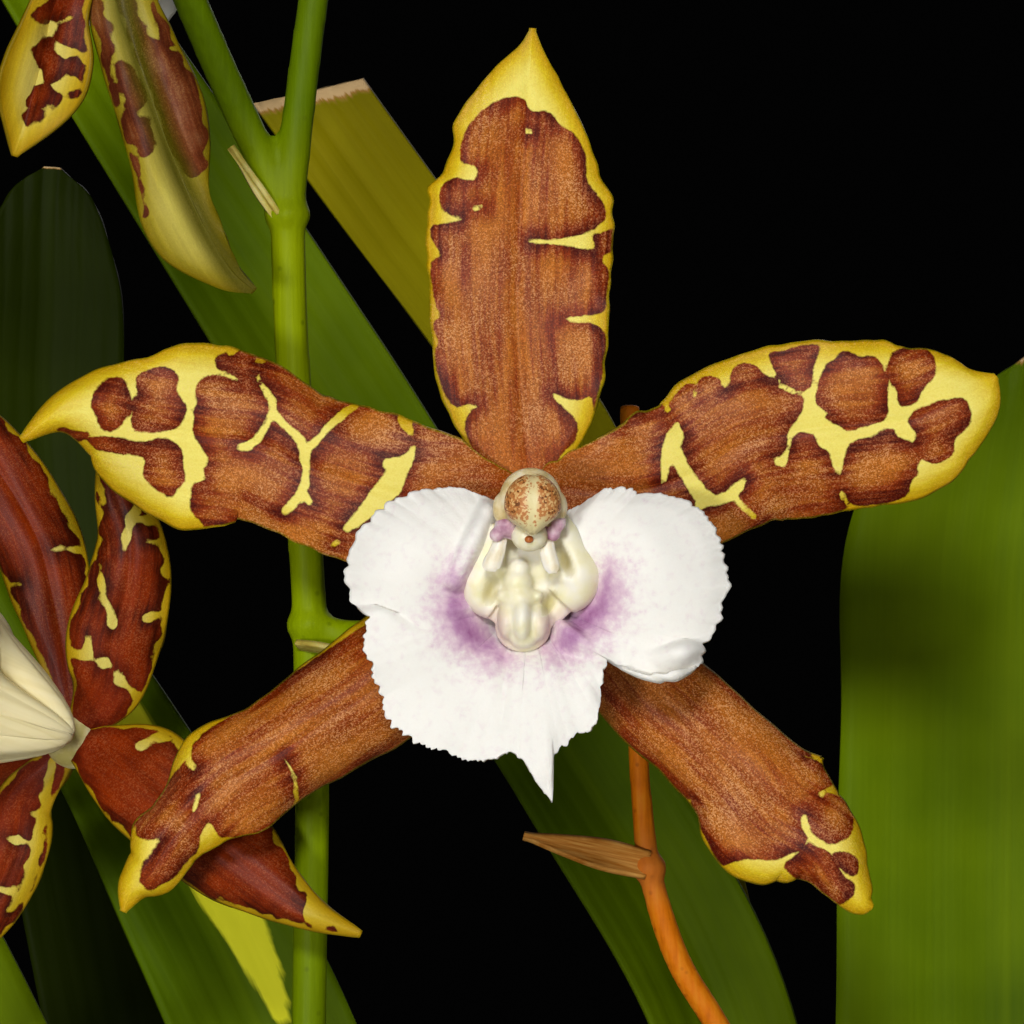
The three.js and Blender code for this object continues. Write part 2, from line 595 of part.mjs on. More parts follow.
// Leaves: stations of midline, half widths, and folds; a negative fall folds both edges forward
const toViewer = [0, -1, 0];
const LEAVES = {
  leaf_right_tall: {
    finish: "leaf",
    face: [toViewer, toViewer],
    rows: [
      [24, -12.2, 173.6, 4.5, 4.5],
      [25.5, -6, 205, 8.5, 8.5],
      [26.5, 2, 240, 12.5, 12.5],
      [27.6, 8, 275, 15, 15],
      [27.9, 10, 305, 15.2, 15.2],
      [28.3, 10.5, 326, 15.2, 14.6],
      [29.4, 11, 337, 13.4, 11],
      [30.6, 11, 344, 6, 5.5],
      [31, 11, 348.5, 0.4, 0.4],
    ],
    fold: 0.16,
  },
  leaf_long_diagonal: {
    finish: "leaf",
    face: [[0.35, -0.9, 0], toViewer],
    rows: [
      [12.6, 28.6, 175.5, 4, 4],
      [13, 31, 215, 5.5, 5.5],
      [9.6, 34, 252, 6.3, 6.3],
      [2.7, 35, 286.5, 6.6, 6.6],
      [-10.8, 35, 311.3, 6.6, 6.6],
      [-27.2, 35, 335.1, 6.6, 6.6],
      [-43.8, 35, 360.5, 6.4, 6.4],
      [-60, 34, 386, 5.4, 5.4],
      [-71, 33, 404, 3.4, 3.4],
      [-78, 32, 416, 0.4, 0.4],
    ],
    fold: 0.42,
  },
  leaf_pale_cut: {
    finish: "pale_leaf",
    face: [[0.2, -0.95, 0.1], toViewer],
    rows: [
      [17.6, 35.4, 175.45, 4, 4],
      [17, 43, 212, 5, 5],
      [9.5, 49, 250, 5.4, 5.4],
      [3.5, 50, 285, 5.2, 5.2],
      [-1.6, 48, 307, 5, 5],
      [-4.4, 44, 322, 4.8, 4.8],
      [-10, 38.5, 338, 4.75, 4.75],
      [-19.1, 33.5, 351.2, 4.75, 4.75],
      [-27.4, 29.5, 362.1, 4.75, 4.75],
      [-38.6, 26.5, 377.6, 4.75, 4.75],
    ],
    fold: 0.22,
    cut: { at: [-35.1, 372.6], slope: 13 },
  },
  leaf_low_left: {
    finish: "leaf",
    face: [[0.3, -0.9, 0.1], toViewer],
    rows: [
      [-7.6, 3.2, 174.2, 4, 4],
      [-11.5, 0, 205, 6, 6],
      [-21, -2, 248, 7.4, 7.4],
      [-38, -1, 287, 7.6, 7.6],
      [-45.5, 1, 302, 6.6, 7.4],
      [-54, 3, 317, 5.2, 6.2],
      [-62, 4, 331, 4, 4],
      [-68, 5, 343, 0.4, 0.4],
    ],
    fold: 0.3,
  },
  leaf_far_left: {
    finish: "leaf",
    face: [[0.3, -0.9, 0.1], [0.2, -0.95, 0.1]],
    rows: [
      [-33.6, 22.6, 172.2, 4, 4],
      [-38, 19, 205, 6, 6],
      [-48, 14, 245, 7.2, 7.2],
      [-67, 9, 289, 7.4, 7.4],
      [-84, 6, 322, 6, 6],
      [-98, 4, 350, 3.4, 3.4],
      [-105, 3, 364, 0.4, 0.4],
    ],
    fold: 0.3,
  },
  leaf_rear_left: {
    finish: "leaf",
    face: [[0.4, -0.9, 0], toViewer],
    rows: [
      [-32.4, 28, 171.9, 4, 4],
      [-38, 38, 210, 6, 6],
      [-48, 50, 258, 7.6, 7.6],
      [-58, 59, 308, 8, 8],
      [-61.5, 64, 340, 7.8, 7.8],
      [-61.4, 65.4, 355, 7.0, 7.0],
      [-61.2, 66, 364, 4.4, 4.4],
      [-61, 66.2, 367.5, 0.8, 0.8],
    ],
    fold: 0.2,
  },
  leaf_arch_left: {
    finish: "leaf",
    face: [[-0.6, 0.1, 0.5], [0.5, 0, 1]],
    rows: [
      [-27.5, -25.2, 175.4, 3.8, 3.8],
      [-40, -17, 208, 6.4, 6.4],
      [-60, -13, 240, 8.4, 8.4],
      [-88, -14, 266, 9, 9],
      [-120, -18, 281, 8.8, 8.8],
      [-152, -24, 280, 6.8, 6.8],
      [-182, -31, 262, 0.4, 0.4],
    ],
    fold: 0.3,
  },
  leaf_arch_front: {
    finish: "leaf",
    face: [[0.4, -0.5, 0.5], [-0.4, 0.35, 1]],
    rows: [
      [-22.2, -26.9, 175.7, 3.8, 3.8],
      [-5, -41, 203, 6.2, 6.2],
      [14, -56, 230, 8.2, 8.2],
      [38, -71, 249, 8.8, 8.8],
      [66, -86, 255, 8.4, 8.4],
      [95, -100, 247, 6.2, 6.2],
      [120, -112, 228, 0.4, 0.4],
    ],
    fold: 0.3,
  },
  leaf_arch_right: {
    finish: "leaf",
    face: [[0.6, -0.2, 0.5], [-0.5, 0.1, 1]],
    rows: [
      [25.2, -18.6, 172.8, 3.8, 3.8],
      [38, -30, 203, 6.4, 6.4],
      [57, -40, 236, 8.6, 8.6],
      [84, -49, 267, 9.2, 9.2],
      [116, -56, 289, 9, 9],
      [149, -61, 295, 7, 7],
      [183, -65, 284, 0.4, 0.4],
    ],
    fold: 0.3,
  },
  leaf_side_right: {
    finish: "leaf",
    face: [[0.7, 0, 0.4], [-0.5, -0.2, 1]],
    rows: [
      [50.5, 20.5, 170.9, 3.8, 3.8],
      [61, 22, 205, 6.6, 6.6],
      [74, 26, 245, 9, 9],
      [94, 33, 284, 9.8, 9.8],
      [122, 42, 314, 9.4, 9.4],
      [156, 52, 330, 7.2, 7.2],
      [192, 62, 328, 0.4, 0.4],
    ],
    fold: 0.3,
  },
  leaf_side_rear: {
    finish: "leaf",
    face: [[0.1, 0.7, 0.4], [-0.3, -0.5, 1]],
    rows: [
      [46.6, 24.6, 170.8, 3.8, 3.8],
      [49, 38, 208, 6.6, 6.6],
      [56, 58, 250, 8.8, 8.8],
      [67, 84, 288, 9.4, 9.4],
      [82, 114, 314, 8.8, 8.8],
      [98, 146, 326, 6.6, 6.6],
      [114, 178, 322, 0.4, 0.4],
    ],
    fold: 0.3,
  },
  leaf_rear_middle: {
    finish: "leaf",
    face: [[-0.1, 0.7, 0.4], [0.2, -0.4, 1]],
    rows: [
      [-11.6, 7.4, 173.9, 3.8, 3.8],
      [-14, 20, 210, 6.2, 6.2],
      [-22, 44, 240, 8, 8],
      [-32, 72, 262, 8.6, 8.6],
      [-44, 103, 272, 8, 8],
      [-56, 134, 268, 6, 6],
      [-66, 160, 252, 0.4, 0.4],
    ],
    fold: 0.3,
  },
};

function leaf({ rows, fold, face, cut }) {
  const table = rows.map(([x, y, z, left, right]) => [x, y, z, left, right, -fold * left, -fold * right]);
  const [faceBase, faceTip] = face.map((f) => vector(f));
  const shape = { faceBase, faceTip, along: 9, across: 4, thick: LEAF_THICK, crease: 1.25 };
  const blade = bladeGeometry(table, shape);
  if (!cut) return blade;
  // A leaf that was cut short: what stands above a sloping line, seen from the front, is taken off
  const scrap = new THREE.BoxGeometry(60, 60, 30).translate(0, 0, 15).rotateY((-cut.slope * Math.PI) / 180);
  return carve(blade, [scrap.translate(cut.at[0], 27, cut.at[1])]);
}

// Sheaths: dry papery scales that clasp the foot of some bulbs, each at an angle round its bulb
const SHEATHS = [
  { on: "bulb_front", angle: 175, height: 38 },
  { on: "bulb_front", angle: -20, height: 28 },
  { on: "bulb_right", angle: 172, height: 32 },
  { on: "bulb_left", angle: 140, height: 30 },
];

function bulbRadius(height) {
  const k = Math.max(1, BULB_PROFILE.findIndex(([r, z], i) => i > 1 && z >= height) - 1);
  const [[r0, z0], [r1, z1]] = [BULB_PROFILE[k], BULB_PROFILE[k + 1]];
  return r0 + ((r1 - r0) * (height - z0)) / (z1 - z0);
}

function sheath({ on, angle, height }) {
  const { x, y, turn, leanX, leanY, size } = BULBS[on];
  const rows = 6;
  const columns = 4;
  const layer = (offset) =>
    Array.from({ length: rows + 1 }, (_, i) => {
      const t = i / rows;
      const z = 1.4 + height * t;
      const span = 52 * Math.sqrt(1 - 0.98 * t ** 1.6);
      const radius = bulbRadius(z / size) * size;
      const flare = offset + 1.8 * t * t;
      return Array.from({ length: columns + 1 }, (_, j) => {
        const around = ((angle + span * ((2 * j) / columns - 1)) * Math.PI) / 180;
        const wide = (radius + flare) * Math.cos(around);
        const deep = (radius * BULB_FLATNESS + flare) * Math.sin(around);
        const point = new THREE.Vector3(wide, deep, z);
        point.applyAxisAngle(new THREE.Vector3(0, 0, 1), (turn * Math.PI) / 180);
        return point.add(new THREE.Vector3(x + leanX * z, y + leanY * z, BULB_BASE));
      });
    });
  return closedSheet(layer(1.55), layer(0.85));
}

// Bark: the coarse potting mix, with a chunky top that the bulbs, rhizome and stems are let into
function barkRelief(x, y) {
  const cell = 11;
  let best = [1e9, 0];
  for (let i = -1; i <= 1; i++) {
    for (let j = -1; j <= 1; j++) {
      const cx = Math.floor(x / cell) + i;
      const cy = Math.floor(y / cell) + j;
      const hash = Math.abs(Math.sin(cx * 127.1 + cy * 311.7) * 43758.5453) % 1;
      const other = Math.abs(Math.sin(cx * 269.5 + cy * 183.3) * 43758.5453) % 1;
      const [dx, dy] = [x - (cx + hash) * cell, y - (cy + other) * cell];
      const height = 3.6 * hash - 1.8 + 0.25 * dx * (other - 0.5);
      if (Math.hypot(dx, dy) < best[0]) best = [Math.hypot(dx, dy), height];
    }
  }
  return best[1];
}

// The plain hole a stem stands in
function stemRoom([[x, y, z]], radius) {
  return upright(radius + GAP + 0.2, 30, 8).translate(x, y, z + 15 - GAP);
}

function bark() {
  const top = potInnerRadius(BARK_LEVEL - 3) - GAP;
  const rings = 6;
  const foot = POT_FLOOR + GAP;
  const profile = [[0, foot], [potInnerRadius(POT_FLOOR) - GAP, foot], [top, BARK_LEVEL - 3]];
  for (let k = rings; k >= 0; k--) profile.push([(top * k) / (rings + 0.4), BARK_LEVEL]);
  const body = turned(profile, ROUND);
  const p = body.getAttribute("position");
  for (let i = 0; i < p.count; i++) {
    if (p.getZ(i) > BARK_LEVEL - 1) p.setZ(i, BARK_LEVEL + barkRelief(p.getX(i), p.getY(i)));
  }
  const sockets = Object.values(BULBS).map((b) => bulb(b, 0.45));
  const stems = [stemRoom(SPIKE_ROUTE, STEM_RADIUS), stemRoom(OLD_SPIKE_ROUTE, OLD_STEM_RADIUS)];
  return carve(facingOut(indexed(body)), [rhizome(0.55), ...sockets, ...stems]);
}

// Main flower: each sepal and petal as seen from the front, from the middle of the flower out
const MAIN_TEPALS = {
  sepal_dorsal: [
    [0, 1.2, 2.4, 2.6, 2.6, 0, 0],
    [-0.3, 1.4, 5.7, 5.3, 5.5, -0.6, -0.6],
    [-0.6, 1.8, 10, 6.9, 7.0, -0.8, -0.8],
    [-0.9, 2.2, 15, 7.1, 7.6, -0.4, -0.4],
    [-0.8, 2.5, 19.5, 7.5, 7.7, 0.3, 0.3],
    [-0.7, 2.5, 23, 7.6, 7.8, 0.6, 0.6],
    [-0.5, 2.3, 26.8, 6.4, 6.6, 0.5, 0.5],
    [-0.2, 1.8, 30.8, 5.8, 4.9, 0.2, 0.2],
    [0.1, 1.2, 34.8, 3.2, 2.4, 0, 0],
    [0.3, 0.9, 37.2, 1.0, 0.9, 0, 0],
    [0.4, 0.8, 38.7, 0.2, 0.2, 0, 0],
  ],
  petal_left: [
    [-2.7, -0.1, 0.2, 2.75, 2.75, -0.2, -0.2],
    [-5.7, -0.3, 0.1, 5.0, 5.0, 0.0, -0.3],
    [-9.8, -0.4, 0.2, 6.2, 6.2, 0.6, 0.2],
    [-14.6, -0.2, 1.5, 6.3, 6.3, 1.0, 0.9],
    [-18.7, 0.2, 3.0, 6.0, 6.0, 1.2, 1.3],
    [-22.3, 0.5, 4.7, 6.65, 6.65, 1.2, 1.4],
    [-26.4, 0.6, 5.3, 7.6, 7.6, 1.5, 1.1],
    [-31.0, 0.2, 6.1, 6.4, 6.4, 3.0, 1.0],
    [-35.0, -0.6, 7.2, 3.65, 3.65, 2.6, 1.2],
    [-38.4, -1.0, 7.0, 1.5, 1.5, 1.2, 1.2],
    [-41.5, -0.8, 4.9, 0.2, 0.2, 0, 0],
  ],
  petal_right: [
    [3.1, -0.1, 1.0, 2.7, 2.7, -0.2, -0.2],
    [5.7, -0.3, 0.7, 4.5, 4.5, -0.4, 0.0],
    [9.2, -0.4, 0.8, 5.9, 5.9, 0.1, 0.4],
    [13.4, -0.2, 2.1, 6.2, 6.2, 0.6, 1.0],
    [17.8, 0.2, 4.7, 6.8, 6.8, 0.8, 1.5],
    [22.1, 0.4, 5.7, 7.25, 7.25, 0.7, 1.8],
    [26.8, 0.5, 6.2, 6.9, 6.9, 0.5, 1.8],
    [31.1, 0.6, 6.6, 6.5, 6.5, 0.4, 1.4],
    [34.5, 0.8, 7.8, 4.9, 4.9, 0.4, 1.0],
    [37.0, 1.2, 8.9, 2.75, 2.75, 0.3, 0.5],
    [38.5, 1.6, 10.2, 0.2, 0.2, 0, 0],
  ],
  sepal_left: [
    [-2.2, 1.2, -2.7, 1.4, 1.4, 0.2, 0.2],
    [-5.9, 1.5, -8.6, 3.9, 3.9, 1.2, 1.2],
    [-11.0, 1.5, -14.2, 5.0, 5.0, 2.8, 2.8],
    [-16.1, 1.3, -17.8, 4.7, 4.7, 3.2, 3.2],
    [-20.7, 1.0, -20.8, 4.3, 4.3, 3.0, 3.0],
    [-24.8, 0.8, -23.3, 4.9, 4.9, 1.6, 2.6],
    [-27.7, 0.8, -25.9, 3.1, 3.0, 1.0, 2.2],
    [-29.5, 1.0, -28.0, 2.7, 2.7, 1.2, 1.8],
    [-31.0, 1.3, -30.4, 2.4, 2.4, 1.0, 1.5],
    [-32.5, 1.8, -32.0, 1.3, 1.3, 0.6, 0.8],
    [-33.3, 2.2, -33.9, 0.2, 0.2, 0, 0],
  ],
  sepal_right: [
    [2.2, 1.2, -2.7, 1.4, 1.4, 0.2, 0.2],
    [6.0, 1.5, -10.0, 4.2, 4.2, 1.2, 1.2],
    [10.2, 1.6, -15.6, 4.5, 4.5, 2.2, 2.2],
    [14.1, 1.5, -19.2, 4.5, 4.5, 2.4, 2.4],
    [17.4, 1.3, -22.5, 4.8, 4.8, 2.2, 2.0],
    [20.1, 1.1, -25.7, 6.1, 6.1, 1.8, 1.6],
    [22.9, 1.0, -27.5, 4.6, 4.6, 1.6, 1.2],
    [24.7, 1.0, -28.9, 3.2, 3.2, 1.4, 1.0],
    [26.1, 1.1, -31.2, 2.1, 2.1, 1.0, 0.8],
    [27.4, 1.3, -33.0, 1.2, 1.2, 0.5, 0.5],
    [28.3, 1.5, -33.5, 0.2, 0.2, 0, 0],
  ],
};

function mainTepal(rows) {
  return bladeGeometry(rows, { faceBase: vector(toViewer), along: 14, across: 4, thick: TEPAL_THICK });
}

// Lip: a broad sheet in polar form about its crest. Each pair is a bearing in degrees and a reach.
const LIP_CENTRE = [0.2, -8.2];
const LIP_POINT = -84;
const LIP_OUTLINE = [
  [-95, 12.4], [-90, 13.6], [-87.5, 15.0], [-84, 16.5], [-82.5, 14.6], [-80, 12.1],
  [-72, 11.5], [-65, 11.6], [-57, 10.2], [-50, 8.9], [-43, 8.1], [-38, 8.6], [-34, 11.2],
  [-27, 13.6], [-20, 14.8], [-12, 15.0], [-2, 15.6], [5, 16.1], [13, 16.1], [21, 16.0],
  [28, 15.6], [34, 14.7], [40, 13.4], [44, 12.5], [52, 11.6], [56, 10.8], [60, 8.9],
  [68, 7.4], [80, 5.8], [90, 5.2], [100, 5.8], [109, 7.4], [116, 9.6], [123, 10.9],
  [131, 11.8], [136, 12.7], [147, 14.1], [160, 15.1], [171, 15.2], [178, 14.8],
  [183, 13.8], [186, 13.2], [190, 13.8], [195, 13.9], [202, 13.9], [211, 14.3],
  [217, 14.8], [222, 15.1], [228, 14.9], [236, 14.3], [244, 13.9], [251, 13.8],
  [257, 13.0], [261, 12.3], [265, 12.4],
];

function lipReach(bearing) {
  let angle = bearing;
  while (angle < LIP_OUTLINE[0][0]) angle += 360;
  while (angle >= LIP_OUTLINE[0][0] + 360) angle -= 360;
  const k = LIP_OUTLINE.findIndex(([a], i) => a <= angle && angle <= LIP_OUTLINE[i + 1][0]);
  const [[a0, r0], [a1, r1]] = [LIP_OUTLINE[k], LIP_OUTLINE[k + 1]];
  return r0 + ((r1 - r0) * (angle - a0)) / (a1 - a0);
}

function bump(angle, middle, spread) {
  const off = ((((angle - middle) % 360) + 540) % 360) - 180;
  return Math.exp(-((off / spread) ** 2));
}

// How far forward the lip stands at a bearing and a share of its reach
function lipForward(bearing, share) {
  const cup = 4.6 * (1 - Math.exp(-((share / 0.3) ** 2)));
  const lobes = 2.0 * (bump(bearing, 15, 42) + bump(bearing, 160, 36)) * Math.sin(Math.PI * share ** 1.3);
  const apron = 1.8 * bump(bearing, -90, 62) * share;
  const flap = 1.5 * bump(bearing, 198, 13) * share ** 3;
  const roll = 1.8 * bump(bearing, -26, 10) * share ** 4;
  const neck = -1.6 * bump(bearing, 90, 26) * share;
  return 1.5 + cup + lobes + apron + flap + roll + neck;
}

function lipSheet(bearings, rings, thick) {
  const layer = (shift) =>
    Array.from({ length: bearings + 1 }, (_, i) => {
      const bearing = LIP_POINT + (360 * (i % bearings)) / bearings;
      const angle = (bearing * Math.PI) / 180;
      return Array.from({ length: rings + 1 }, (_, j) => {
        const share = 0.04 + 0.96 * (j / rings);
        const reach = share * lipReach(bearing);
        const x = LIP_CENTRE[0] + reach * Math.cos(angle);
        const z = LIP_CENTRE[1] + reach * Math.sin(angle);
        return new THREE.Vector3(x, shift - lipForward(bearing, share), z);
      });
    });
  const front = layer(-thick / 2);
  const back = layer(thick / 2);
  const points = [];
  const faces = [];
  const put = (grid) => grid.slice(0, bearings).map((row) => row.map((p) => points.push(p) - 1));
  const f = put(front);
  const b = put(back);
  const hub = (shift) => new THREE.Vector3(LIP_CENTRE[0], shift - lipForward(0, 0), LIP_CENTRE[1]);
  const frontHub = points.push(hub(-thick / 2)) - 1;
  const backHub = points.push(hub(thick / 2)) - 1;
  for (let i = 0; i < bearings; i++) {
    const n = (i + 1) % bearings;
    faces.push(frontHub, f[i][0], f[n][0], backHub, b[n][0], b[i][0]);
    for (let j = 0; j < rings; j++) {
      faces.push(f[i][j], f[i][j + 1], f[n][j + 1], f[i][j], f[n][j + 1], f[n][j]);
      faces.push(b[i][j], b[n][j + 1], b[i][j + 1], b[i][j], b[n][j], b[n][j + 1]);
    }
    faces.push(f[i][rings], b[i][rings], b[n][rings], f[i][rings], b[n][rings], f[n][rings]);
  }
  const geometry = new THREE.BufferGeometry().setFromPoints(points);
  geometry.setIndex(faces);
  return facingOut(geometry);
}

// The crest: a knobbly ridge down the lip's middle, between two swollen cheeks
const CREST = [
  [-0.3, -5.9, -5.9, 1.1, 2.0, 1.3],
  [-0.4, -6.2, -8.2, 1.9, 2.2, 1.7],
  [-0.3, -6.4, -10.6, 1.2, 2.1, 2.4],
  [-1.7, -6.0, -11.0, 0.8, 1.6, 2.0],
  [1.2, -6.0, -11.0, 0.9, 1.6, 2.0],
];
const CHEEKS = [
  [-4.0, -4.4, -7.2, 1.6, 2.6, 3.0],
  [3.9, -4.4, -6.6, 2.2, 2.8, 3.2],
];

function lip(bearings, rings, crestParts, sides, crestRings) {
  const crest = crestParts.map((c) => ball(...c, sides, crestRings));
  return fuse([lipSheet(bearings, rings, 0.8), ...crest]);
}

// Column: the stout body over the lip, with a wing and a hanging arm on each side
function columnBody(back, sides, capRings) {
  const length = 10 + back;
  const capsule = new THREE.CapsuleGeometry(1.75, length - 3.5, capRings, sides);
  return capsule.translate(0.1, back - length / 2, 0.1);
}

function column() {
  const wings = [-1, 1].map((side) => ball(0.15 + side * 1.9, -8.9, -1.6, 1.35, 1.5, 1.2, 7, 4));
  const arms = [-1, 1].map((side) => {
    const shoulder = [0.2 + side * 1.5, -9.0, -1.2];
    const elbow = [0.2 + side * 2.2, -9.4, -3.2];
    const end = [-0.1 + side * 3.0, -9.8, -5.5];
    return tube([shoulder, elbow, end], 0.6, 3, 5);
  });
  return fuse([columnBody(1.45, 8, 3), ...wings, ...arms]);
}

// The same column with its cap in one, for the flowers further off
function plainColumn(back) {
  return fuse([columnBody(back, 6, 2), ball(0.2, -11.0, -0.2, 2.5, 1.8, 2.9, 7, 4)]);
}

function anther() {
  return ball(0.2, -12.2, -0.2, 2.5, 1.8, 2.9, 12, 8);
}

const mainFlower = new THREE.Group();
mainFlower.position.set(...MAIN_FLOWER);
root.add(mainFlower);
for (const [name, rows] of Object.entries(MAIN_TEPALS)) node(name, mainTepal(rows), "tepal", mainFlower);
node("lip", lip(50, 3, [...CREST, ...CHEEKS], 6, 4), "lip", mainFlower);
node("column", column(), "column", mainFlower);
node("anther_cap", anther(), "anther", mainFlower);

// The high and the crown flower: each tepal grows along a bearing seen from the front and bends back
const BENDS = { high: [0.35, 0.3, 0.4, 0.5, 0.45], crown: [0.4, 0.45, 0.35, 0.5, 0.5] };
const TEPAL_WIDTHS = [0.34, 0.76, 0.9, 1.0, 0.94, 0.66, 0.04];
const TEPAL_PLAN = [
  { bearing: 90, length: 37, half: 7.2, foot: 1.4 },
  { bearing: 163, length: 38, half: 6.6, foot: -0.2 },
  { bearing: 17, length: 38, half: 6.6, foot: -0.2 },
  { bearing: 232, length: 40, half: 5.2, foot: 1.4 },
  { bearing: -50, length: 40, half: 5.2, foot: 1.4 },
];

function tepal({ bearing, length, half, foot }, bendBack, cup) {
  const angle = (bearing * Math.PI) / 180;
  const rows = TEPAL_WIDTHS.map((share, k) => {
    const t = k / (TEPAL_WIDTHS.length - 1);
    const turn = bendBack * t;
    const out = 1.9 + length * (bendBack ? Math.sin(turn) / bendBack : t);
    const back = foot + length * (bendBack ? (1 - Math.cos(turn)) / bendBack : 0);
    const [width, fall] = [half * share, cup * share];
    return [out * Math.cos(angle), back, out * Math.sin(angle), width, width, fall, fall];
  });
  const outwards = new THREE.Vector3(Math.cos(angle), 0, Math.sin(angle));
  const faceBase = vector(toViewer);
  const faceTip = faceBase.clone().multiplyScalar(Math.cos(bendBack));
  faceTip.addScaledVector(outwards, Math.sin(bendBack));
  return bladeGeometry(rows, { faceBase, faceTip, along: 5, across: 2, thick: TEPAL_THICK });
}

function plainTepals(bends) {
  return [ball(0, 0.9, 0, 2.9, 1.0, 2.9, 7, 4), ...TEPAL_PLAN.map((plan, k) => tepal(plan, bends[k], 0.9))];
}

function flowerFrame({ at, looks, down, scale }) {
  const look = vector(looks).normalize();
  const fall = vector(down);
  fall.addScaledVector(look, -fall.dot(look)).normalize();
  const frame = new THREE.Group();
  const [right, back, up] = [look.clone().cross(fall), look.clone().negate(), fall.clone().negate()];
  const basis = new THREE.Matrix4().makeBasis(right, back, up);
  frame.quaternion.setFromRotationMatrix(basis);
  frame.position.set(...at);
  frame.scale.setScalar(scale);
  root.add(frame);
  return frame;
}

for (const [name, flower] of Object.entries(OTHER_FLOWERS)) {
  const frame = flowerFrame(flower);
  if (HAND_SHAPED[name]) {
    const [x, y, z] = flower.at.map((v, c) => v - MAIN_FLOWER[c]);
    const hub = new THREE.IcosahedronGeometry(HUB_RADIUS, 1).translate(x, y, z);
    const blades = HAND_SHAPED[name].map(({ rows, face }) => {
      return bladeGeometry(rows, { faceBase: vector(face), along: 7, across: 2, thick: TEPAL_THICK });
    });
    node(`bloom_${name}_tepals`, fuse([hub, ...blades]), "tepal", mainFlower);
  } else {
    node(`bloom_${name}_tepals`, fuse(plainTepals(BENDS[name])), "tepal", frame);
  }
  const labellum = lip(23, 2, CREST.slice(0, 2), 6, 4).scale(1, flower.lipDepth, 1);
  node(`bloom_${name}_lip`, labellum, "lip", frame);
  node(`bloom_${name}_column`, plainColumn(HAND_SHAPED[name] ? -3.3 : -0.5), "column", frame);
}

node("spike", flowerSpike(), "stem");
node("old_spike", oldSpike(), "dry_stem");
BUDS.forEach((b, k) => node(`bud_${k + 1}`, bud(b), "bud"));
for (const [name, plan] of Object.entries(LEAVES)) node(name, leaf(plan), plan.finish);
for (const [name, plan] of Object.entries(BULBS)) node(name, bulb(plan), "bulb");
SHEATHS.forEach((plan, k) => node(`sheath_${k + 1}`, sheath(plan), "sheath"));
node("rhizome", rhizome(), "rhizome");
node("bark", bark(), "bark");
node("pot", pot(), "clay");

export default root;
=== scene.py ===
import math
import random
from functools import partial

import bmesh
import bpy
import numpy as np
from mathutils import Matrix, Vector


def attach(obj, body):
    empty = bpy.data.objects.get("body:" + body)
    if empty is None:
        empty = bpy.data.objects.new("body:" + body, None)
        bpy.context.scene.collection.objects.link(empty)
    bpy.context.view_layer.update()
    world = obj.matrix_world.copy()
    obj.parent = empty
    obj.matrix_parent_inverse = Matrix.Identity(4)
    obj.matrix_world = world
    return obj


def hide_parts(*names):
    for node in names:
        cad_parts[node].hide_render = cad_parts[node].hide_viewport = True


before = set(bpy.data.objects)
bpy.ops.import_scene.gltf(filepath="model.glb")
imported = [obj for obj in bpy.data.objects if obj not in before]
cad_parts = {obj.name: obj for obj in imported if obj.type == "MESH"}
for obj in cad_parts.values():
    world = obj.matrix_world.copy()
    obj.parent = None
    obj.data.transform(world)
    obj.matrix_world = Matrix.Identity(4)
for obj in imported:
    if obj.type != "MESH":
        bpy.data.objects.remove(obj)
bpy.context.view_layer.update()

# Clay pot: a thrown earthenware flowerpot with a thick rim and four drain holes in its flat foot.
# It is turned on a wheel and fired without a glaze, so it shows faint rings, grain and lime bloom.
MM = 0.001
POT_HEIGHT = 125
RIM_FOOT = 99
POT_PROFILE = [
    (0, 0), (48, 0), (50, 2), (64.26, RIM_FOOT), (70.5, RIM_FOOT + 1), (72, RIM_FOOT + 3), (74, 122),
    (72, POT_HEIGHT), (65, POT_HEIGHT), (63.07, 122), (46.51, 7), (0, 7),
]
EDGE_ROUNDING = 2.2
POT_SIDES = 80
POT_STEP = 1.2
WHEEL_RINGS = 3.4
WHEEL_DEPTH = 0.09
DRAIN_RADIUS = 5
DRAIN_RING = 27


def rounded(profile, radius, steps=5):
    """The profile with each corner turned into a small arc."""
    points = [Vector(p) for p in profile]
    path = [points[0]]
    for before, corner, after in zip(points, points[1:], points[2:]):
        cut = min(radius, 0.45 * (corner - before).length, 0.45 * (after - corner).length)
        start = corner + cut * (before - corner).normalized()
        end = corner + cut * (after - corner).normalized()
        for k in range(steps + 1):
            u = k / steps
            path.append((1 - u) ** 2 * start + 2 * u * (1 - u) * corner + u * u * end)
    return [tuple(p) for p in path + [points[-1]]]


def turned(profile, sides):
    """A profile of (radius, height) in millimetres, spun about the upright axis."""
    bm = bmesh.new()
    verts = [bm.verts.new((r * MM, 0, z * MM)) for r, z in profile]
    edges = [bm.edges.new(pair) for pair in zip(verts, verts[1:])]
    bmesh.ops.spin(
        bm, geom=verts + edges, cent=(0, 0, 0), axis=(0, 0, 1), angle=2 * math.pi, steps=sides,
        use_merge=True,
    )
    bmesh.ops.remove_doubles(bm, verts=bm.verts, dist=1e-6)
    bmesh.ops.recalc_face_normals(bm, faces=bm.faces)
    return bm


def piece_from(bm, name, materials, nodes=()):
    """The bmesh as a finished piece that rides with the plant and stands for these CAD nodes."""
    mesh = bpy.data.meshes.new(name)
    bm.to_mesh(mesh)
    bm.free()
    for material in materials:
        mesh.materials.append(material)
    mesh.shade_smooth()
    piece = bpy.data.objects.new(name, mesh)
    bpy.context.scene.collection.objects.link(piece)
    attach(piece, "root")
    if nodes:
        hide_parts(*nodes)
    return piece


def work_in(piece):
    """The piece's modifiers, worked into its mesh."""
    graph = bpy.context.evaluated_depsgraph_get()
    mesh = bpy.data.meshes.new_from_object(piece.evaluated_get(graph))
    piece.modifiers.clear()
    piece.data = mesh


def linear(hex_colour):
    """An sRGB hex colour as linear red, green, blue and alpha."""
    shares = [int(hex_colour[i:i + 2], 16) / 255 for i in (0, 2, 4)]
    return [c / 12.92 if c <= 0.04045 else ((c + 0.055) / 1.055) ** 2.4 for c in shares] + [1]


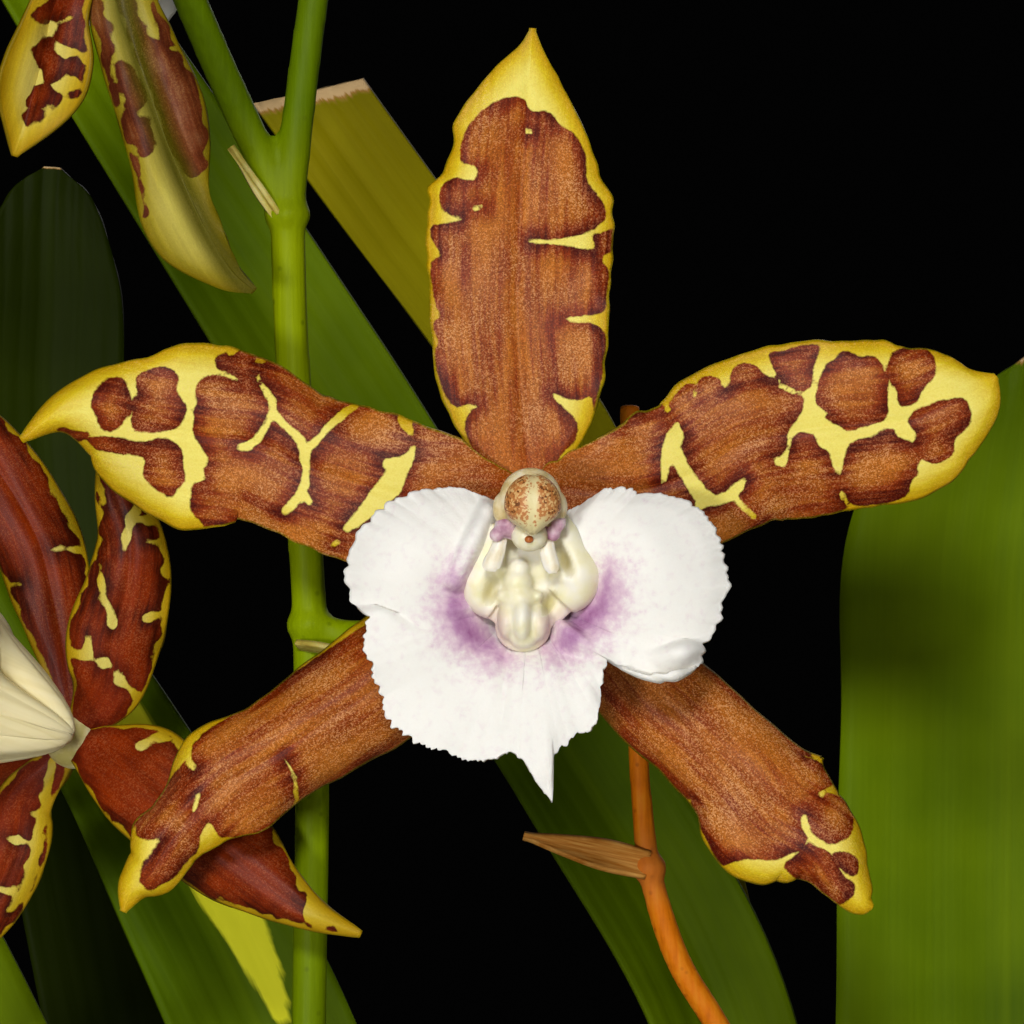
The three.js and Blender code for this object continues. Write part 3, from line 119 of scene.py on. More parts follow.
def add_node(tree, kind, links=(), **settings):
    """Adds one node to a material. Links gives its inputs, by name or in their order, a node, a socket,
    a hex colour or a value; stops are the places and colours of a ramp."""
    node = tree.nodes.new("ShaderNode" + kind)
    stops = settings.pop("stops", None)
    if stops:
        ramp = node.color_ramp
        ramp.elements.remove(ramp.elements[1])
        ramp.elements[0].position, ramp.elements[0].color = stops[0][0], linear(stops[0][1])
        for place, colour in stops[1:]:
            ramp.elements.new(place).color = linear(colour)
    for name, value in settings.items():
        setattr(node, name, value)
    for name, value in links.items() if isinstance(links, dict) else enumerate(links):
        socket = node.inputs[name]
        if isinstance(value, bpy.types.Node):
            tree.links.new(value.outputs[0], socket)
        elif isinstance(value, bpy.types.NodeSocket):
            tree.links.new(value, socket)
        else:
            socket.default_value = linear(value) if isinstance(value, str) else value
    return node


def bare_material(name):
    """A new material without nodes, and the function that puts one node into it."""
    material = bpy.data.materials.new(name)
    material.use_nodes = True
    material.node_tree.nodes.clear()
    return material, partial(add_node, material.node_tree)


# Terracotta, fired without a glaze: matt and grainy, orange-brown in slow clouds, with a chalky bloom
# of lime below the rim and at the foot, where the wet clay has dried again and again.
terracotta, put = bare_material("fired terracotta")
where = put("TexCoord").outputs["Object"]
height = put("SeparateXYZ", [where]).outputs["Z"]
cloud = put("TexNoise", {"Vector": where, "Scale": 1000 / 26, "Detail": 4})
grain = put("TexNoise", {"Vector": where, "Scale": 1000 / 0.9, "Detail": 3})
speck = put("TexVoronoi", {"Vector": where, "Scale": 1000 / 2.6})
clay_tone = put("ValToRGB", [cloud], stops=[(0.3, "9a5232"), (0.5, "b5673f"), (0.7, "c98058")])
grit = put("MapRange", [speck.outputs["Distance"], 0.05, 0.22, 0.35, 0])
gritty = put("MixRGB", [grit, clay_tone, "7e3f28"])
bloom_cloud = put("TexNoise", {"Vector": where, "Scale": 1000 / 17, "Detail": 6, "Roughness": 0.7})
bloom_foot = put("MapRange", [height, 0, 34 * MM, 0.2, 0])
bloom_rim = put("MapRange", [height, 84 * MM, 112 * MM, 0, 0.13])
bloom_places = put("Math", [bloom_foot, bloom_rim], operation="ADD")
bloom_sum = put("Math", [bloom_places, bloom_cloud], operation="ADD")
bloom = put("MapRange", [bloom_sum, 0.58, 0.82, 0, 0.62])
limed = put("MixRGB", [bloom, gritty, "dcc8b2"])
bumps = put("Bump", {"Height": grain, "Strength": 0.5, "Distance": 0.25 * MM})
put("OutputMaterial", [put("BsdfPrincipled", {
    "Base Color": limed, "Roughness": 0.86, "Normal": bumps,
})])

wall = []
outline = rounded(POT_PROFILE, EDGE_ROUNDING)
for (r0, z0), (r1, z1) in zip(outline, outline[1:]):
    pieces = max(1, round(math.hypot(r1 - r0, z1 - z0) / POT_STEP))
    wall += [(r0 + (r1 - r0) * k / pieces, z0 + (z1 - z0) * k / pieces) for k in range(pieces)]
wall.append(POT_PROFILE[-1])
pot_clay = piece_from(turned(wall, POT_SIDES), "pot_clay", [terracotta], ["pot"])
for vertex in pot_clay.data.vertices:
    reach = math.hypot(vertex.co.x, vertex.co.y) / MM
    if reach > 52 and 4 < vertex.co.z / MM < 120:
        ring = WHEEL_DEPTH * math.sin(2 * math.pi * vertex.co.z / MM / WHEEL_RINGS)
        vertex.co.x *= 1 + ring / reach
        vertex.co.y *= 1 + ring / reach
drills = bmesh.new()
for k in range(4):
    angle = math.pi / 4 + k * math.pi / 2
    place = Vector((DRAIN_RING * math.cos(angle), DRAIN_RING * math.sin(angle), 0)) * MM
    bmesh.ops.create_cone(
        drills, cap_ends=True, segments=40, radius1=DRAIN_RADIUS * MM, radius2=DRAIN_RADIUS * MM,
        depth=40 * MM, matrix=Matrix.Translation(place),
    )
drill_mesh = bpy.data.meshes.new("drain_drills")
drills.to_mesh(drill_mesh)
drills.free()
drill = bpy.data.objects.new("drain_drills", drill_mesh)
bpy.context.scene.collection.objects.link(drill)
holes = pot_clay.modifiers.new("drain holes", "BOOLEAN")
holes.object, holes.solver = drill, "EXACT"
work_in(pot_clay)
bpy.data.objects.remove(drill)

# Rhizome and pseudobulbs: the creeping woody stem, and the flattened egg-shaped stores that stand on
# it. A bulb's skin is smooth and green with shallow lengthwise folds, dry and brown at its foot.
BULBS = {
    "bulb_front": {"x": -22, "y": -24, "size": 1.0, "turn": 10, "lean_x": -0.03, "lean_y": -0.02},
    "bulb_right": {"x": 22, "y": -16, "size": 0.97, "turn": -25, "lean_x": 0.03, "lean_y": 0.04},
    "bulb_middle": {"x": -9, "y": 5, "size": 0.98, "turn": 35, "lean_x": -0.02, "lean_y": 0.0},
    "bulb_rear": {"x": 15, "y": 31, "size": 1.0, "turn": 80, "lean_x": 0.02, "lean_y": 0.02},
    "bulb_left": {"x": -35, "y": 22, "size": 0.95, "turn": 60, "lean_x": 0.05, "lean_y": 0.04},
    "bulb_side": {"x": 47, "y": 18, "size": 0.93, "turn": 65, "lean_x": 0.02, "lean_y": 0.05},
    "bulb_old": {"x": -14, "y": 46, "size": 0.72, "turn": 20, "lean_x": -0.04, "lean_y": 0.03},
}
BULB_HEIGHT = 66
BULB_BASE = 109
BULB_FLATNESS = 0.68
BULB_PROFILE = [
    (6.5, 0), (11, 7), (13, 18), (12.4, 31), (9.6, 45), (6.4, 56), (4.4, 63), (3.2, BULB_HEIGHT),
]
BULB_SIDES = 60
BULB_FOLDS = 9
BULB_FOLD_DEPTH = 0.028
OLD_FOLD_DEPTH = 0.055
RHIZOME_RADIUS = 3.4
RHIZOME_LEVEL = 105.25
SCAR_PITCH = 6.5
RHIZOME_RUN = ["bulb_old", "bulb_left", "bulb_middle", "bulb_front"]
RHIZOME_BRANCH = ["bulb_middle", "bulb_rear", "bulb_side", "bulb_right"]


def smooth_rows(rows, t):
    """A smooth curve through a table's evenly spaced rows, at each t from 0 to 1."""
    table = np.array(rows, float)
    table = np.vstack([2 * table[0] - table[1], table, 2 * table[-1] - table[-2]])
    place = np.clip(t, 0, 1) * (len(rows) - 1)
    i = np.minimum(place.astype(int), len(rows) - 2)
    f = (place - i)[:, None]
    a, b, d, e = (table[i + k] for k in range(4))
    return b + 0.5 * f * (d - a + f * (2 * a - 5 * b + 4 * d - e + f * (3 * (b - d) + e - a)))


def route_through(points, count):
    """Points in even steps along a smooth line through the given ones."""
    path = [np.array(p, float) for p in points]
    path = [2 * path[0] - path[1]] + path + [2 * path[-1] - path[-2]]
    fine = []
    for p0, p1, p2, p3 in zip(path, path[1:], path[2:], path[3:]):
        d0, d1, d2 = (max(np.linalg.norm(b - a) ** 0.5, 1e-3) for a, b in ((p0, p1), (p1, p2), (p2, p3)))
        m1 = ((p1 - p0) / d0 - (p2 - p0) / (d0 + d1) + (p2 - p1) / d1) * d1
        m2 = ((p2 - p1) / d1 - (p3 - p1) / (d1 + d2) + (p3 - p2) / d2) * d1
        for u in np.arange(24) / 24:
            fine.append(
                p1 + m1 * u + (3 * (p2 - p1) - 2 * m1 - m2) * u ** 2 + (m1 + m2 - 2 * (p2 - p1)) * u ** 3
            )
    fine = np.array(fine + [path[-2]])
    run = np.concatenate([[0], np.cumsum(np.linalg.norm(np.diff(fine, axis=0), axis=1))])
    steps = np.linspace(0, run[-1], count)
    return np.stack([np.interp(steps, run, fine[:, c]) for c in range(3)], axis=1), run[-1]


def grid(along, across):
    """A bmesh grid, with each vertex's share along it (0 to 1) and its place across it (1 to -1)."""
    bm = bmesh.new()
    bmesh.ops.create_grid(bm, x_segments=along, y_segments=across, size=1)
    spots = np.array([v.co[:] for v in bm.verts])
    return bm, (spots[:, 0] + 1) / 2, -spots[:, 1]


def spots_of(bm):
    """Where the bmesh's vertices are, in millimetres."""
    return np.array([v.co[:] for v in bm.verts]) / MM


def settle(bm, points):
    """Moves the bmesh's vertices to these points, given in millimetres."""
    for vertex, point in zip(bm.verts, points * MM):
        vertex.co = point


def rod(points, radius, steps, sides=16):
    """A closed round stem along a smooth route; radius is in millimetres or a formula of the share."""
    bm, t, s = grid(steps, sides)
    path, length = route_through(points, steps + 1)
    ahead = np.gradient(path, axis=0)
    ahead /= np.linalg.norm(ahead, axis=1)[:, None]
    side = np.cross(ahead[0], [0.31, 0.87, 0.38])
    frames = []
    for direction in ahead:
        side = side - direction * side.dot(direction)
        side /= np.linalg.norm(side)
        frames.append((side, np.cross(direction, side)))
    k = np.rint(t * steps).astype(int)
    first = np.array([f[0] for f in frames])[k]
    second = np.array([f[1] for f in frames])[k]
    wide = (radius(t, t * length) if callable(radius) else np.full(len(t), radius))[:, None]
    turn = (math.pi * s)[:, None]
    settle(bm, path[k] + wide * (np.cos(turn) * first + np.sin(turn) * second))
    bmesh.ops.remove_doubles(bm, verts=bm.verts, dist=1e-6)
    bmesh.ops.holes_fill(bm, edges=[e for e in bm.edges if e.is_boundary], sides=0)
    bmesh.ops.recalc_face_normals(bm, faces=bm.faces)
    return bm


def joined(bmeshes):
    """Several bmeshes as one."""
    whole = bmesh.new()
    for bm in bmeshes:
        mesh = bpy.data.meshes.new("part")
        bm.to_mesh(mesh)
        bm.free()
        whole.from_mesh(mesh)
        bpy.data.meshes.remove(mesh)
    return whole


def at_bulb(bulb, x, y, z):
    """Where points given in a bulb's own frame are in the pot, as the bulb turns and leans."""
    turn = math.radians(bulb["turn"])
    return np.stack([
        bulb["x"] + x * math.cos(turn) - y * math.sin(turn) + bulb["lean_x"] * z,
        bulb["y"] + x * math.sin(turn) + y * math.cos(turn) + bulb["lean_y"] * z,
        BULB_BASE + z,
    ], axis=1)


def waves(u, v, size, seed):
    """Smooth uneven waves over u and v, about size apart and about 1 high."""
    draw = np.random.default_rng(seed)
    total = 0
    for _ in range(7):
        angle, phase = draw.uniform(0, 2 * math.pi, 2)
        pitch = 2 * math.pi / size * draw.uniform(0.55, 1.6)
        total = total + np.sin(pitch * (u * math.cos(angle) + v * math.sin(angle)) + phase)
    return total / 3


# Pseudobulb skin, a waxy living rind: satin, green with faint lengthwise streaks and small brown
# freckles; the old leafless bulb's is dull, yellow and brown.
bulb_skins = {}
for kind, foot, body, crown in (
    ("green pseudobulb skin", "8c6f38", "7f9030", "98a440"),
    ("old pseudobulb skin", "6e4f2a", "8f7d36", "8a6a38"),
):
    skin, put = bare_material(kind)
    where = put("TexCoord").outputs["Object"]
    height = put("SeparateXYZ", [where]).outputs["Z"]
    streaks_at = put("Mapping", {0: where, "Scale": (1000 / 1.3, 1000 / 1.3, 1000 / 22)})
    streak = put("TexNoise", {"Vector": streaks_at, "Scale": 1, "Detail": 3})
    patch = put("TexNoise", {"Vector": where, "Scale": 1000 / 14, "Detail": 3})
    lift = put("Math", [patch, 0.02, height], operation="MULTIPLY_ADD")
    rise = put("MapRange", [lift, 0.116, 0.182])
    tone = put("ValToRGB", [rise], stops=[(0, foot), (0.22, body), (0.7, body), (1, crown)])
    streaky = put("MixRGB", [streak, tone, "c2c488"], blend_type="OVERLAY")
    freckle = put("TexVoronoi", {"Vector": where, "Scale": 1000 / 3.1})
    fleck = put("MapRange", [freckle.outputs["Distance"], 0.06, 0.13, 0.5, 0])
    colour = put("MixRGB", [fleck, streaky, "5a3b1c"])
    bumps = put("Bump", {"Height": streak, "Strength": 0.35, "Distance": 0.3 * MM})
    put("OutputMaterial", [put("BsdfPrincipled", {
        "Base Color": colour, "Roughness": 0.42, "Normal": bumps, "Coat Weight": 0.12,
    })])
    bulb_skins[kind] = skin

bulb_curve = smooth_rows(BULB_PROFILE, np.linspace(0, 1, 41))
bulb_outline = [(0, 0)] + [tuple(p) for p in bulb_curve] + [(0, BULB_HEIGHT)]
for number, (name, bulb) in enumerate(BULBS.items()):
    bm = turned(bulb_outline, BULB_SIDES)
    spots = spots_of(bm)
    around = np.arctan2(spots[:, 1], spots[:, 0])
    share = spots[:, 2] / BULB_HEIGHT
    old = name == "bulb_old"
    depth = (OLD_FOLD_DEPTH if old else BULB_FOLD_DEPTH) * np.sin(math.pi * np.clip(share, 0, 1)) ** 0.7
    fold = depth * (np.abs(np.sin(BULB_FOLDS / 2 * around + number)) ** 0.6 - 0.75)
    fold += 0.012 * waves(around * 8, spots[:, 2], 17, number)
    spots[:, :2] *= (1 + fold)[:, None]
    spots *= np.array([bulb["size"], bulb["size"] * BULB_FLATNESS, bulb["size"]])
    settle(bm, at_bulb(bulb, *spots.T))
    skin = bulb_skins["old pseudobulb skin" if old else "green pseudobulb skin"]
    piece_from(bm, name + "_skin", [skin], [name])

# Rhizome rind: woody and dull, ringed by the scars of old scales every few millimetres
rind, put = bare_material("woody rhizome rind")
where = put("TexCoord").outputs["Object"]
patch = put("TexNoise", {"Vector": where, "Scale": 1000 / 4, "Detail": 5})
tone = put("ValToRGB", [patch], stops=[(0.3, "4f3a20"), (0.5, "7a5a34"), (0.72, "a08558")])
bumps = put("Bump", {"Height": patch, "Strength": 0.6, "Distance": 0.5 * MM})
put("OutputMaterial", [put("BsdfPrincipled", {
    "Base Color": tone, "Roughness": 0.82, "Normal": bumps,
})])

rhizomes = []
for names in (RHIZOME_RUN, RHIZOME_BRANCH):
    line = [np.array([BULBS[n]["x"], BULBS[n]["y"], RHIZOME_LEVEL], float) for n in names]
    first = line[0] + 2 * (line[0] - line[1]) / np.linalg.norm(line[0] - line[1])
    last = line[-1] + 2 * (line[-1] - line[-2]) / np.linalg.norm(line[-1] - line[-2])
    ringed = lambda t, run: RHIZOME_RADIUS * (0.97 - 0.06 * np.abs(np.sin(math.pi * run / SCAR_PITCH)) ** 6)
    rhizomes.append(rod([first, *line[1:-1], last], ringed, 90, 20))
piece_from(joined(rhizomes), "rhizome_rind", [rind], ["rhizome"])

# Potting bark: broken chips of fir bark from fine to walnut size, filled in to below the rim.
# The bed is one solid; the loose chips on top lie every way, clear of the bulbs and the stems.
BARK_LEVEL = 108
CHIPS = 330
CHIP_REACH = 57.5
CHIP_TRIES = 6000
STEM_FEET = [(-38.2, -33), (39, -21)]
STEM_ROOM = 2.2
BULB_ROOM = 12

bark_skin, put = bare_material("broken fir bark")
where = put("TexCoord").outputs["Object"]
chip_tone = put("TexVoronoi", {"Vector": where, "Scale": 1000 / 7.5})
layers_at = put("Mapping", {0: where, "Scale": (1000 / 5, 1000 / 5, 1000 / 0.9)})
layer = put("TexNoise", {"Vector": layers_at, "Scale": 1, "Detail": 5, "Roughness": 0.65})
rough = put("TexNoise", {"Vector": where, "Scale": 1000 / 1.4, "Detail": 6, "Roughness": 0.7})
tint = put("SeparateXYZ", [chip_tone.outputs["Color"]]).outputs["X"]
mixed = put("Math", [tint, 0.45, layer], operation="MULTIPLY_ADD")
tone = put("ValToRGB", [mixed], stops=[
    (0.38, "22140b"), (0.55, "4a2c19"), (0.72, "70462a"), (0.88, "96683f"), (1, "b08a5e"),
])
bumps = put("Bump", {"Height": rough, "Strength": 0.8, "Distance": 0.7 * MM})
put("OutputMaterial", [put("BsdfPrincipled", {
    "Base Color": tone, "Roughness": 0.9, "Normal": bumps,
})])

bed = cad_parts["bark"]
for slot in bed.material_slots:
    slot.material = bark_skin

draw = random.Random(7)
chips = []
tries = 0
while len(chips) < CHIPS and tries < CHIP_TRIES:
    tries += 1
    reach, angle = CHIP_REACH * math.sqrt(draw.random()), draw.uniform(0, 2 * math.pi)
    x, y = reach * math.cos(angle), reach * math.sin(angle)
    size = draw.uniform(2.2, 6.4)
    turn = draw.uniform(0, math.pi)
    tilt = [draw.gauss(0, 0.35) for _ in range(2)]
    clear = all(math.hypot(x - fx, y - fy) > size + STEM_ROOM for fx, fy in STEM_FEET)
    for bulb in BULBS.values():
        bulb_turn = math.radians(bulb["turn"])
        dx, dy = x - bulb["x"], y - bulb["y"]
        u = dx * math.cos(bulb_turn) + dy * math.sin(bulb_turn)
        v = -dx * math.sin(bulb_turn) + dy * math.cos(bulb_turn)
        wide = BULB_ROOM * bulb["size"] + size
        deep = BULB_ROOM * bulb["size"] * BULB_FLATNESS + size
        clear = clear and math.hypot(u / wide, v / deep) > 1
    if not clear:
        continue
    chip = bmesh.new()
    bmesh.ops.create_cube(chip, size=1)
    bmesh.ops.subdivide_edges(chip, edges=chip.edges, cuts=1, use_grid_fill=True)
    thick = draw.uniform(0.9, 2.4)
    for vertex in chip.verts:
        jag = [draw.uniform(0.72, 1.28) for _ in range(3)]
        vertex.co = Vector(a * b for a, b in zip(vertex.co, jag))
        vertex.co.x *= size * 1.9
        vertex.co.y *= size * draw.uniform(1.0, 1.35)
        vertex.co.z *= thick
    level = BARK_LEVEL + draw.uniform(-0.6, 3.2)
    place = Matrix.Translation((x, y, level)) @ Matrix.Rotation(turn, 4, "Z")
    place = place @ Matrix.Rotation(tilt[0], 4, "X") @ Matrix.Rotation(tilt[1], 4, "Y")
    bmesh.ops.transform(chip, matrix=Matrix.Scale(MM, 4) @ place, verts=chip.verts)
    chips.append(chip)
bark_chips = piece_from(joined(chips), "bark_chips", [bark_skin])
bark_chips.data.shade_flat()

# Sheaths: the dry papery scales that clasp the feet of the younger bulbs.
# Each is a dead leaf base, split and frayed at its tip, tan with darker lengthwise fibres.
SHEATHS = [
    {"on": "bulb_front", "angle": 175, "height": 38},
    {"on": "bulb_front", "angle": -20, "height": 28},
    {"on": "bulb_right", "angle": 172, "height": 32},
    {"on": "bulb_left", "angle": 140, "height": 30},
]
SHEATH_SPREAD = 52
SHEATH_THICK = 0.6

papery, put = bare_material("dry papery sheath")
where = put("TexCoord").outputs["Object"]
fibres_at = put("Mapping", {0: where, "Scale": (1000 / 0.9, 1000 / 0.9, 1000 / 16)})
fibre = put("TexNoise", {"Vector": fibres_at, "Scale": 1, "Detail": 4})
blotch = put("TexNoise", {"Vector": where, "Scale": 1000 / 7, "Detail": 3})
mixed = put("Math", [fibre, blotch], operation="ADD")
spread = put("MapRange", [mixed, 0.7, 1.3])
tone = put("ValToRGB", [spread], stops=[(0, "62462a"), (0.5, "9b7b4c"), (1, "c8b084")])
bumps = put("Bump", {"Height": fibre, "Strength": 0.6, "Distance": 0.3 * MM})
put("OutputMaterial", [put("BsdfPrincipled", {
    "Base Color": tone, "Roughness": 0.8, "Normal": bumps,
})])


def thickened(piece, thick, thin_edge=1.0, back=0):
    """Gives a sheet its thickness, thinner towards its edges where its vertices are weighted; back is
    1 where its other face takes the second material."""
    wall = piece.modifiers.new("thickness", "SOLIDIFY")
    wall.thickness, wall.offset, wall.material_offset = thick * MM, 0, back
    wall.use_even_offset = False
    if thin_edge < 1:
        piece.vertex_groups.new(name="body")
        wall.vertex_group, wall.thickness_vertex_group = "body", thin_edge


bulb_heights = [z for _, z in BULB_PROFILE]
bulb_radii = [r for r, _ in BULB_PROFILE]
for number, plan in enumerate(SHEATHS):
    bulb = BULBS[plan["on"]]
    bm, t, s = grid(30, 28)
    z = 1.4 + plan["height"] * t
    span = SHEATH_SPREAD * np.sqrt(1 - 0.98 * t ** 1.6)
    radius = np.interp(z / bulb["size"], bulb_heights, bulb_radii) * bulb["size"]
    flare = 1.2 + 1.8 * t * t + 0.25 * waves(s * 20, z, 13, number + 40) * t
    around = np.radians(plan["angle"] + span * s)
    wide = (radius + flare) * np.cos(around)
    deep = (radius * BULB_FLATNESS + flare) * np.sin(around)
    points = at_bulb(bulb, wide, deep, z)
    points[:, 2] += 0.5 * waves(s * 14, t * 0, 6, number + 60) * t
    settle(bm, points)
    sheath = piece_from(bm, f"sheath_{number + 1}_paper", [papery], [f"sheath_{number + 1}"])
    thickened(sheath, SHEATH_THICK)

# Leaves: strap leaves, each folded along its midrib where it leaves the top of its bulb.
# A leaf is about 1 mm thick and leathery, with fine parallel veins and a plain smooth margin.
TO_VIEWER = (0, -1, 0)
LEAF_THICK = 1.0
THIN_EDGE = 0.4
LEAF_FOLD = 0.3
LEAF_CREASE = 1.25
VEIN_PITCH = 0.8
VEIN_RELIEF = 0.10
# A leaf's rows: x, y, z and its half width, or its half widths to the left and right. "face" is where
# its upper side faces at its foot and at its tip, and "fold" how far its edges stand up for their width.
LEAVES = {
    "leaf_right_tall": {"face": [TO_VIEWER, TO_VIEWER], "fold": 0.16, "rows": [
        [24, -12.2, 173.6, 4.5], [25.5, -6, 205, 8.5], [26.5, 2, 240, 12.5], [27.6, 8, 275, 15],
        [27.9, 10, 305, 15.2], [28.3, 10.5, 326, 15.2, 14.6], [29.4, 11, 337, 13.4, 11],
        [30.6, 11, 344, 6, 5.5], [31, 11, 348.5, 0.4],
    ]},
    "leaf_long_diagonal": {"face": [[0.35, -0.9, 0], TO_VIEWER], "fold": 0.42, "rows": [
        [12.6, 28.6, 175.5, 4], [13, 31, 215, 5.5], [9.6, 34, 252, 6.3], [2.7, 35, 286.5, 6.6],
        [-10.8, 35, 311.3, 6.6], [-27.2, 35, 335.1, 6.6], [-43.8, 35, 360.5, 6.4], [-60, 34, 386, 5.4],
        [-71, 33, 404, 3.4], [-78, 32, 416, 0.4],
    ]},
    "leaf_pale_cut": {"face": [[0.2, -0.95, 0.1], TO_VIEWER], "fold": 0.22, "rows": [
        [17.6, 35.4, 175.45, 4], [17, 43, 212, 5], [9.5, 49, 250, 5.4], [3.5, 50, 285, 5.2],
        [-1.6, 48, 307, 5], [-4.4, 44, 322, 4.8], [-10, 38.5, 338, 4.75], [-19.1, 33.5, 351.2, 4.75],
        [-27.4, 29.5, 362.1, 4.75], [-38.6, 26.5, 377.6, 4.75],
    ]},
    "leaf_low_left": {"face": [[0.3, -0.9, 0.1], TO_VIEWER], "rows": [
        [-7.6, 3.2, 174.2, 4], [-11.5, 0, 205, 6], [-21, -2, 248, 7.4], [-38, -1, 287, 7.6],
        [-45.5, 1, 302, 6.6, 7.4], [-54, 3, 317, 5.2, 6.2], [-62, 4, 331, 4], [-68, 5, 343, 0.4],
    ]},
    "leaf_far_left": {"face": [[0.3, -0.9, 0.1], [0.2, -0.95, 0.1]], "rows": [
        [-33.6, 22.6, 172.2, 4], [-38, 19, 205, 6], [-48, 14, 245, 7.2], [-67, 9, 289, 7.4],
        [-84, 6, 322, 6], [-98, 4, 350, 3.4], [-105, 3, 364, 0.4],
    ]},
    "leaf_rear_left": {"face": [[0.4, -0.9, 0], TO_VIEWER], "fold": 0.2, "rows": [
        [-32.4, 28, 171.9, 4], [-38, 38, 210, 6], [-48, 50, 258, 7.6], [-58, 59, 308, 8],
        [-61.5, 64, 340, 7.8], [-61.4, 65.4, 355, 7], [-61.2, 66, 364, 4.4], [-61, 66.2, 367.5, 0.8],
    ]},
    "leaf_arch_left": {"face": [[-0.6, 0.1, 0.5], [0.5, 0, 1]], "rows": [
        [-27.5, -25.2, 175.4, 3.8], [-40, -17, 208, 6.4], [-60, -13, 240, 8.4], [-88, -14, 266, 9],
        [-120, -18, 281, 8.8], [-152, -24, 280, 6.8], [-182, -31, 262, 0.4],
    ]},
    "leaf_arch_front": {"face": [[0.4, -0.5, 0.5], [-0.4, 0.35, 1]], "rows": [
        [-22.2, -26.9, 175.7, 3.8], [-5, -41, 203, 6.2], [14, -56, 230, 8.2], [38, -71, 249, 8.8],
        [66, -86, 255, 8.4], [95, -100, 247, 6.2], [120, -112, 228, 0.4],
    ]},
    "leaf_arch_right": {"face": [[0.6, -0.2, 0.5], [-0.5, 0.1, 1]], "rows": [
        [25.2, -18.6, 172.8, 3.8], [38, -30, 203, 6.4], [57, -40, 236, 8.6], [84, -49, 267, 9.2],
        [116, -56, 289, 9], [149, -61, 295, 7], [183, -65, 284, 0.4],
    ]},
    "leaf_side_right": {"face": [[0.7, 0, 0.4], [-0.5, -0.2, 1]], "rows": [
        [50.5, 20.5, 170.9, 3.8], [61, 22, 205, 6.6], [74, 26, 245, 9], [94, 33, 284, 9.8],
        [122, 42, 314, 9.4], [156, 52, 330, 7.2], [192, 62, 328, 0.4],
    ]},
    "leaf_side_rear": {"face": [[0.1, 0.7, 0.4], [-0.3, -0.5, 1]], "rows": [
        [46.6, 24.6, 170.8, 3.8], [49, 38, 208, 6.6], [56, 58, 250, 8.8], [67, 84, 288, 9.4],
        [82, 114, 314, 8.8], [98, 146, 326, 6.6], [114, 178, 322, 0.4],
    ]},
    "leaf_rear_middle": {"face": [[-0.1, 0.7, 0.4], [0.2, -0.4, 1]], "rows": [
        [-11.6, 7.4, 173.9, 3.8], [-14, 20, 210, 6.2], [-22, 44, 240, 8], [-32, 72, 262, 8.6],
        [-44, 103, 272, 8], [-56, 134, 268, 6], [-66, 160, 252, 0.4],
    ]},
}


def blade(rows, face, along, across, crease, detail=None):
    """A leaf or petal on a grid. A row is a station along its midline: x, y, z, half width to the
    left and right, and how far the left and right edges fall back, or one width and one fall for both
    sides. Gives the bmesh, its points, the way each one faces, its places across, along and in from the
    edge in millimetres, and its shares along and across."""
    rows = [row if len(row) == 7 else [*row[:4], *row[3:], row[4]] for row in rows]
    bm, t, s = grid(along, across)
    face_base, face_tip = (np.array(f, float) for f in face)
    here = smooth_rows(rows, t)
    ahead = smooth_rows(rows, t + 0.004)[:, :3] - smooth_rows(rows, t - 0.004)[:, :3]
    ahead /= np.linalg.norm(ahead, axis=1)[:, None]
    facing = face_base + (face_tip - face_base) * t[:, None]
    facing = facing - ahead * np.sum(facing * ahead, axis=1)[:, None]
    facing /= np.linalg.norm(facing, axis=1)[:, None]
    side = np.cross(ahead, facing)
    width = np.maximum(0.3, np.where(s > 0, here[:, 4], here[:, 3]))
    if detail:
        width = width * detail(t, s)
    fall = np.where(s > 0, here[:, 6], here[:, 5]) * np.abs(s) ** crease
    points = here[:, :3] + side * (s * width)[:, None] - facing * fall[:, None]
    steps = np.linspace(0, 1, 200)
    midline = smooth_rows(rows, steps)[:, :3]
    run = np.concatenate([[0], np.cumsum(np.linalg.norm(np.diff(midline, axis=0), axis=1))])
    place = np.interp(t, steps, run)
    inward = np.minimum((1 - np.abs(s)) * width, (run[-1] - place) * 0.8 + 0.2)
    return bm, points, facing, np.stack([s * width, place, inward], axis=1), t, s


def note(bm, **values):
    """Keeps a number or a vector on each vertex, for the material to read."""
    for name, value in values.items():
        kind = bm.verts.layers.float_vector if value.ndim == 2 else bm.verts.layers.float
        layer = kind.new(name)
        for vertex, number in zip(bm.verts, value):
            vertex[layer] = number if value.ndim == 1 else Vector(number)


def weigh(bm, weights):
    """Gives each vertex its share of the sheet's full thickness."""
    layer = bm.verts.layers.deform.verify()
    for vertex, weight in zip(bm.verts, weights):
        vertex[layer][0] = float(weight)


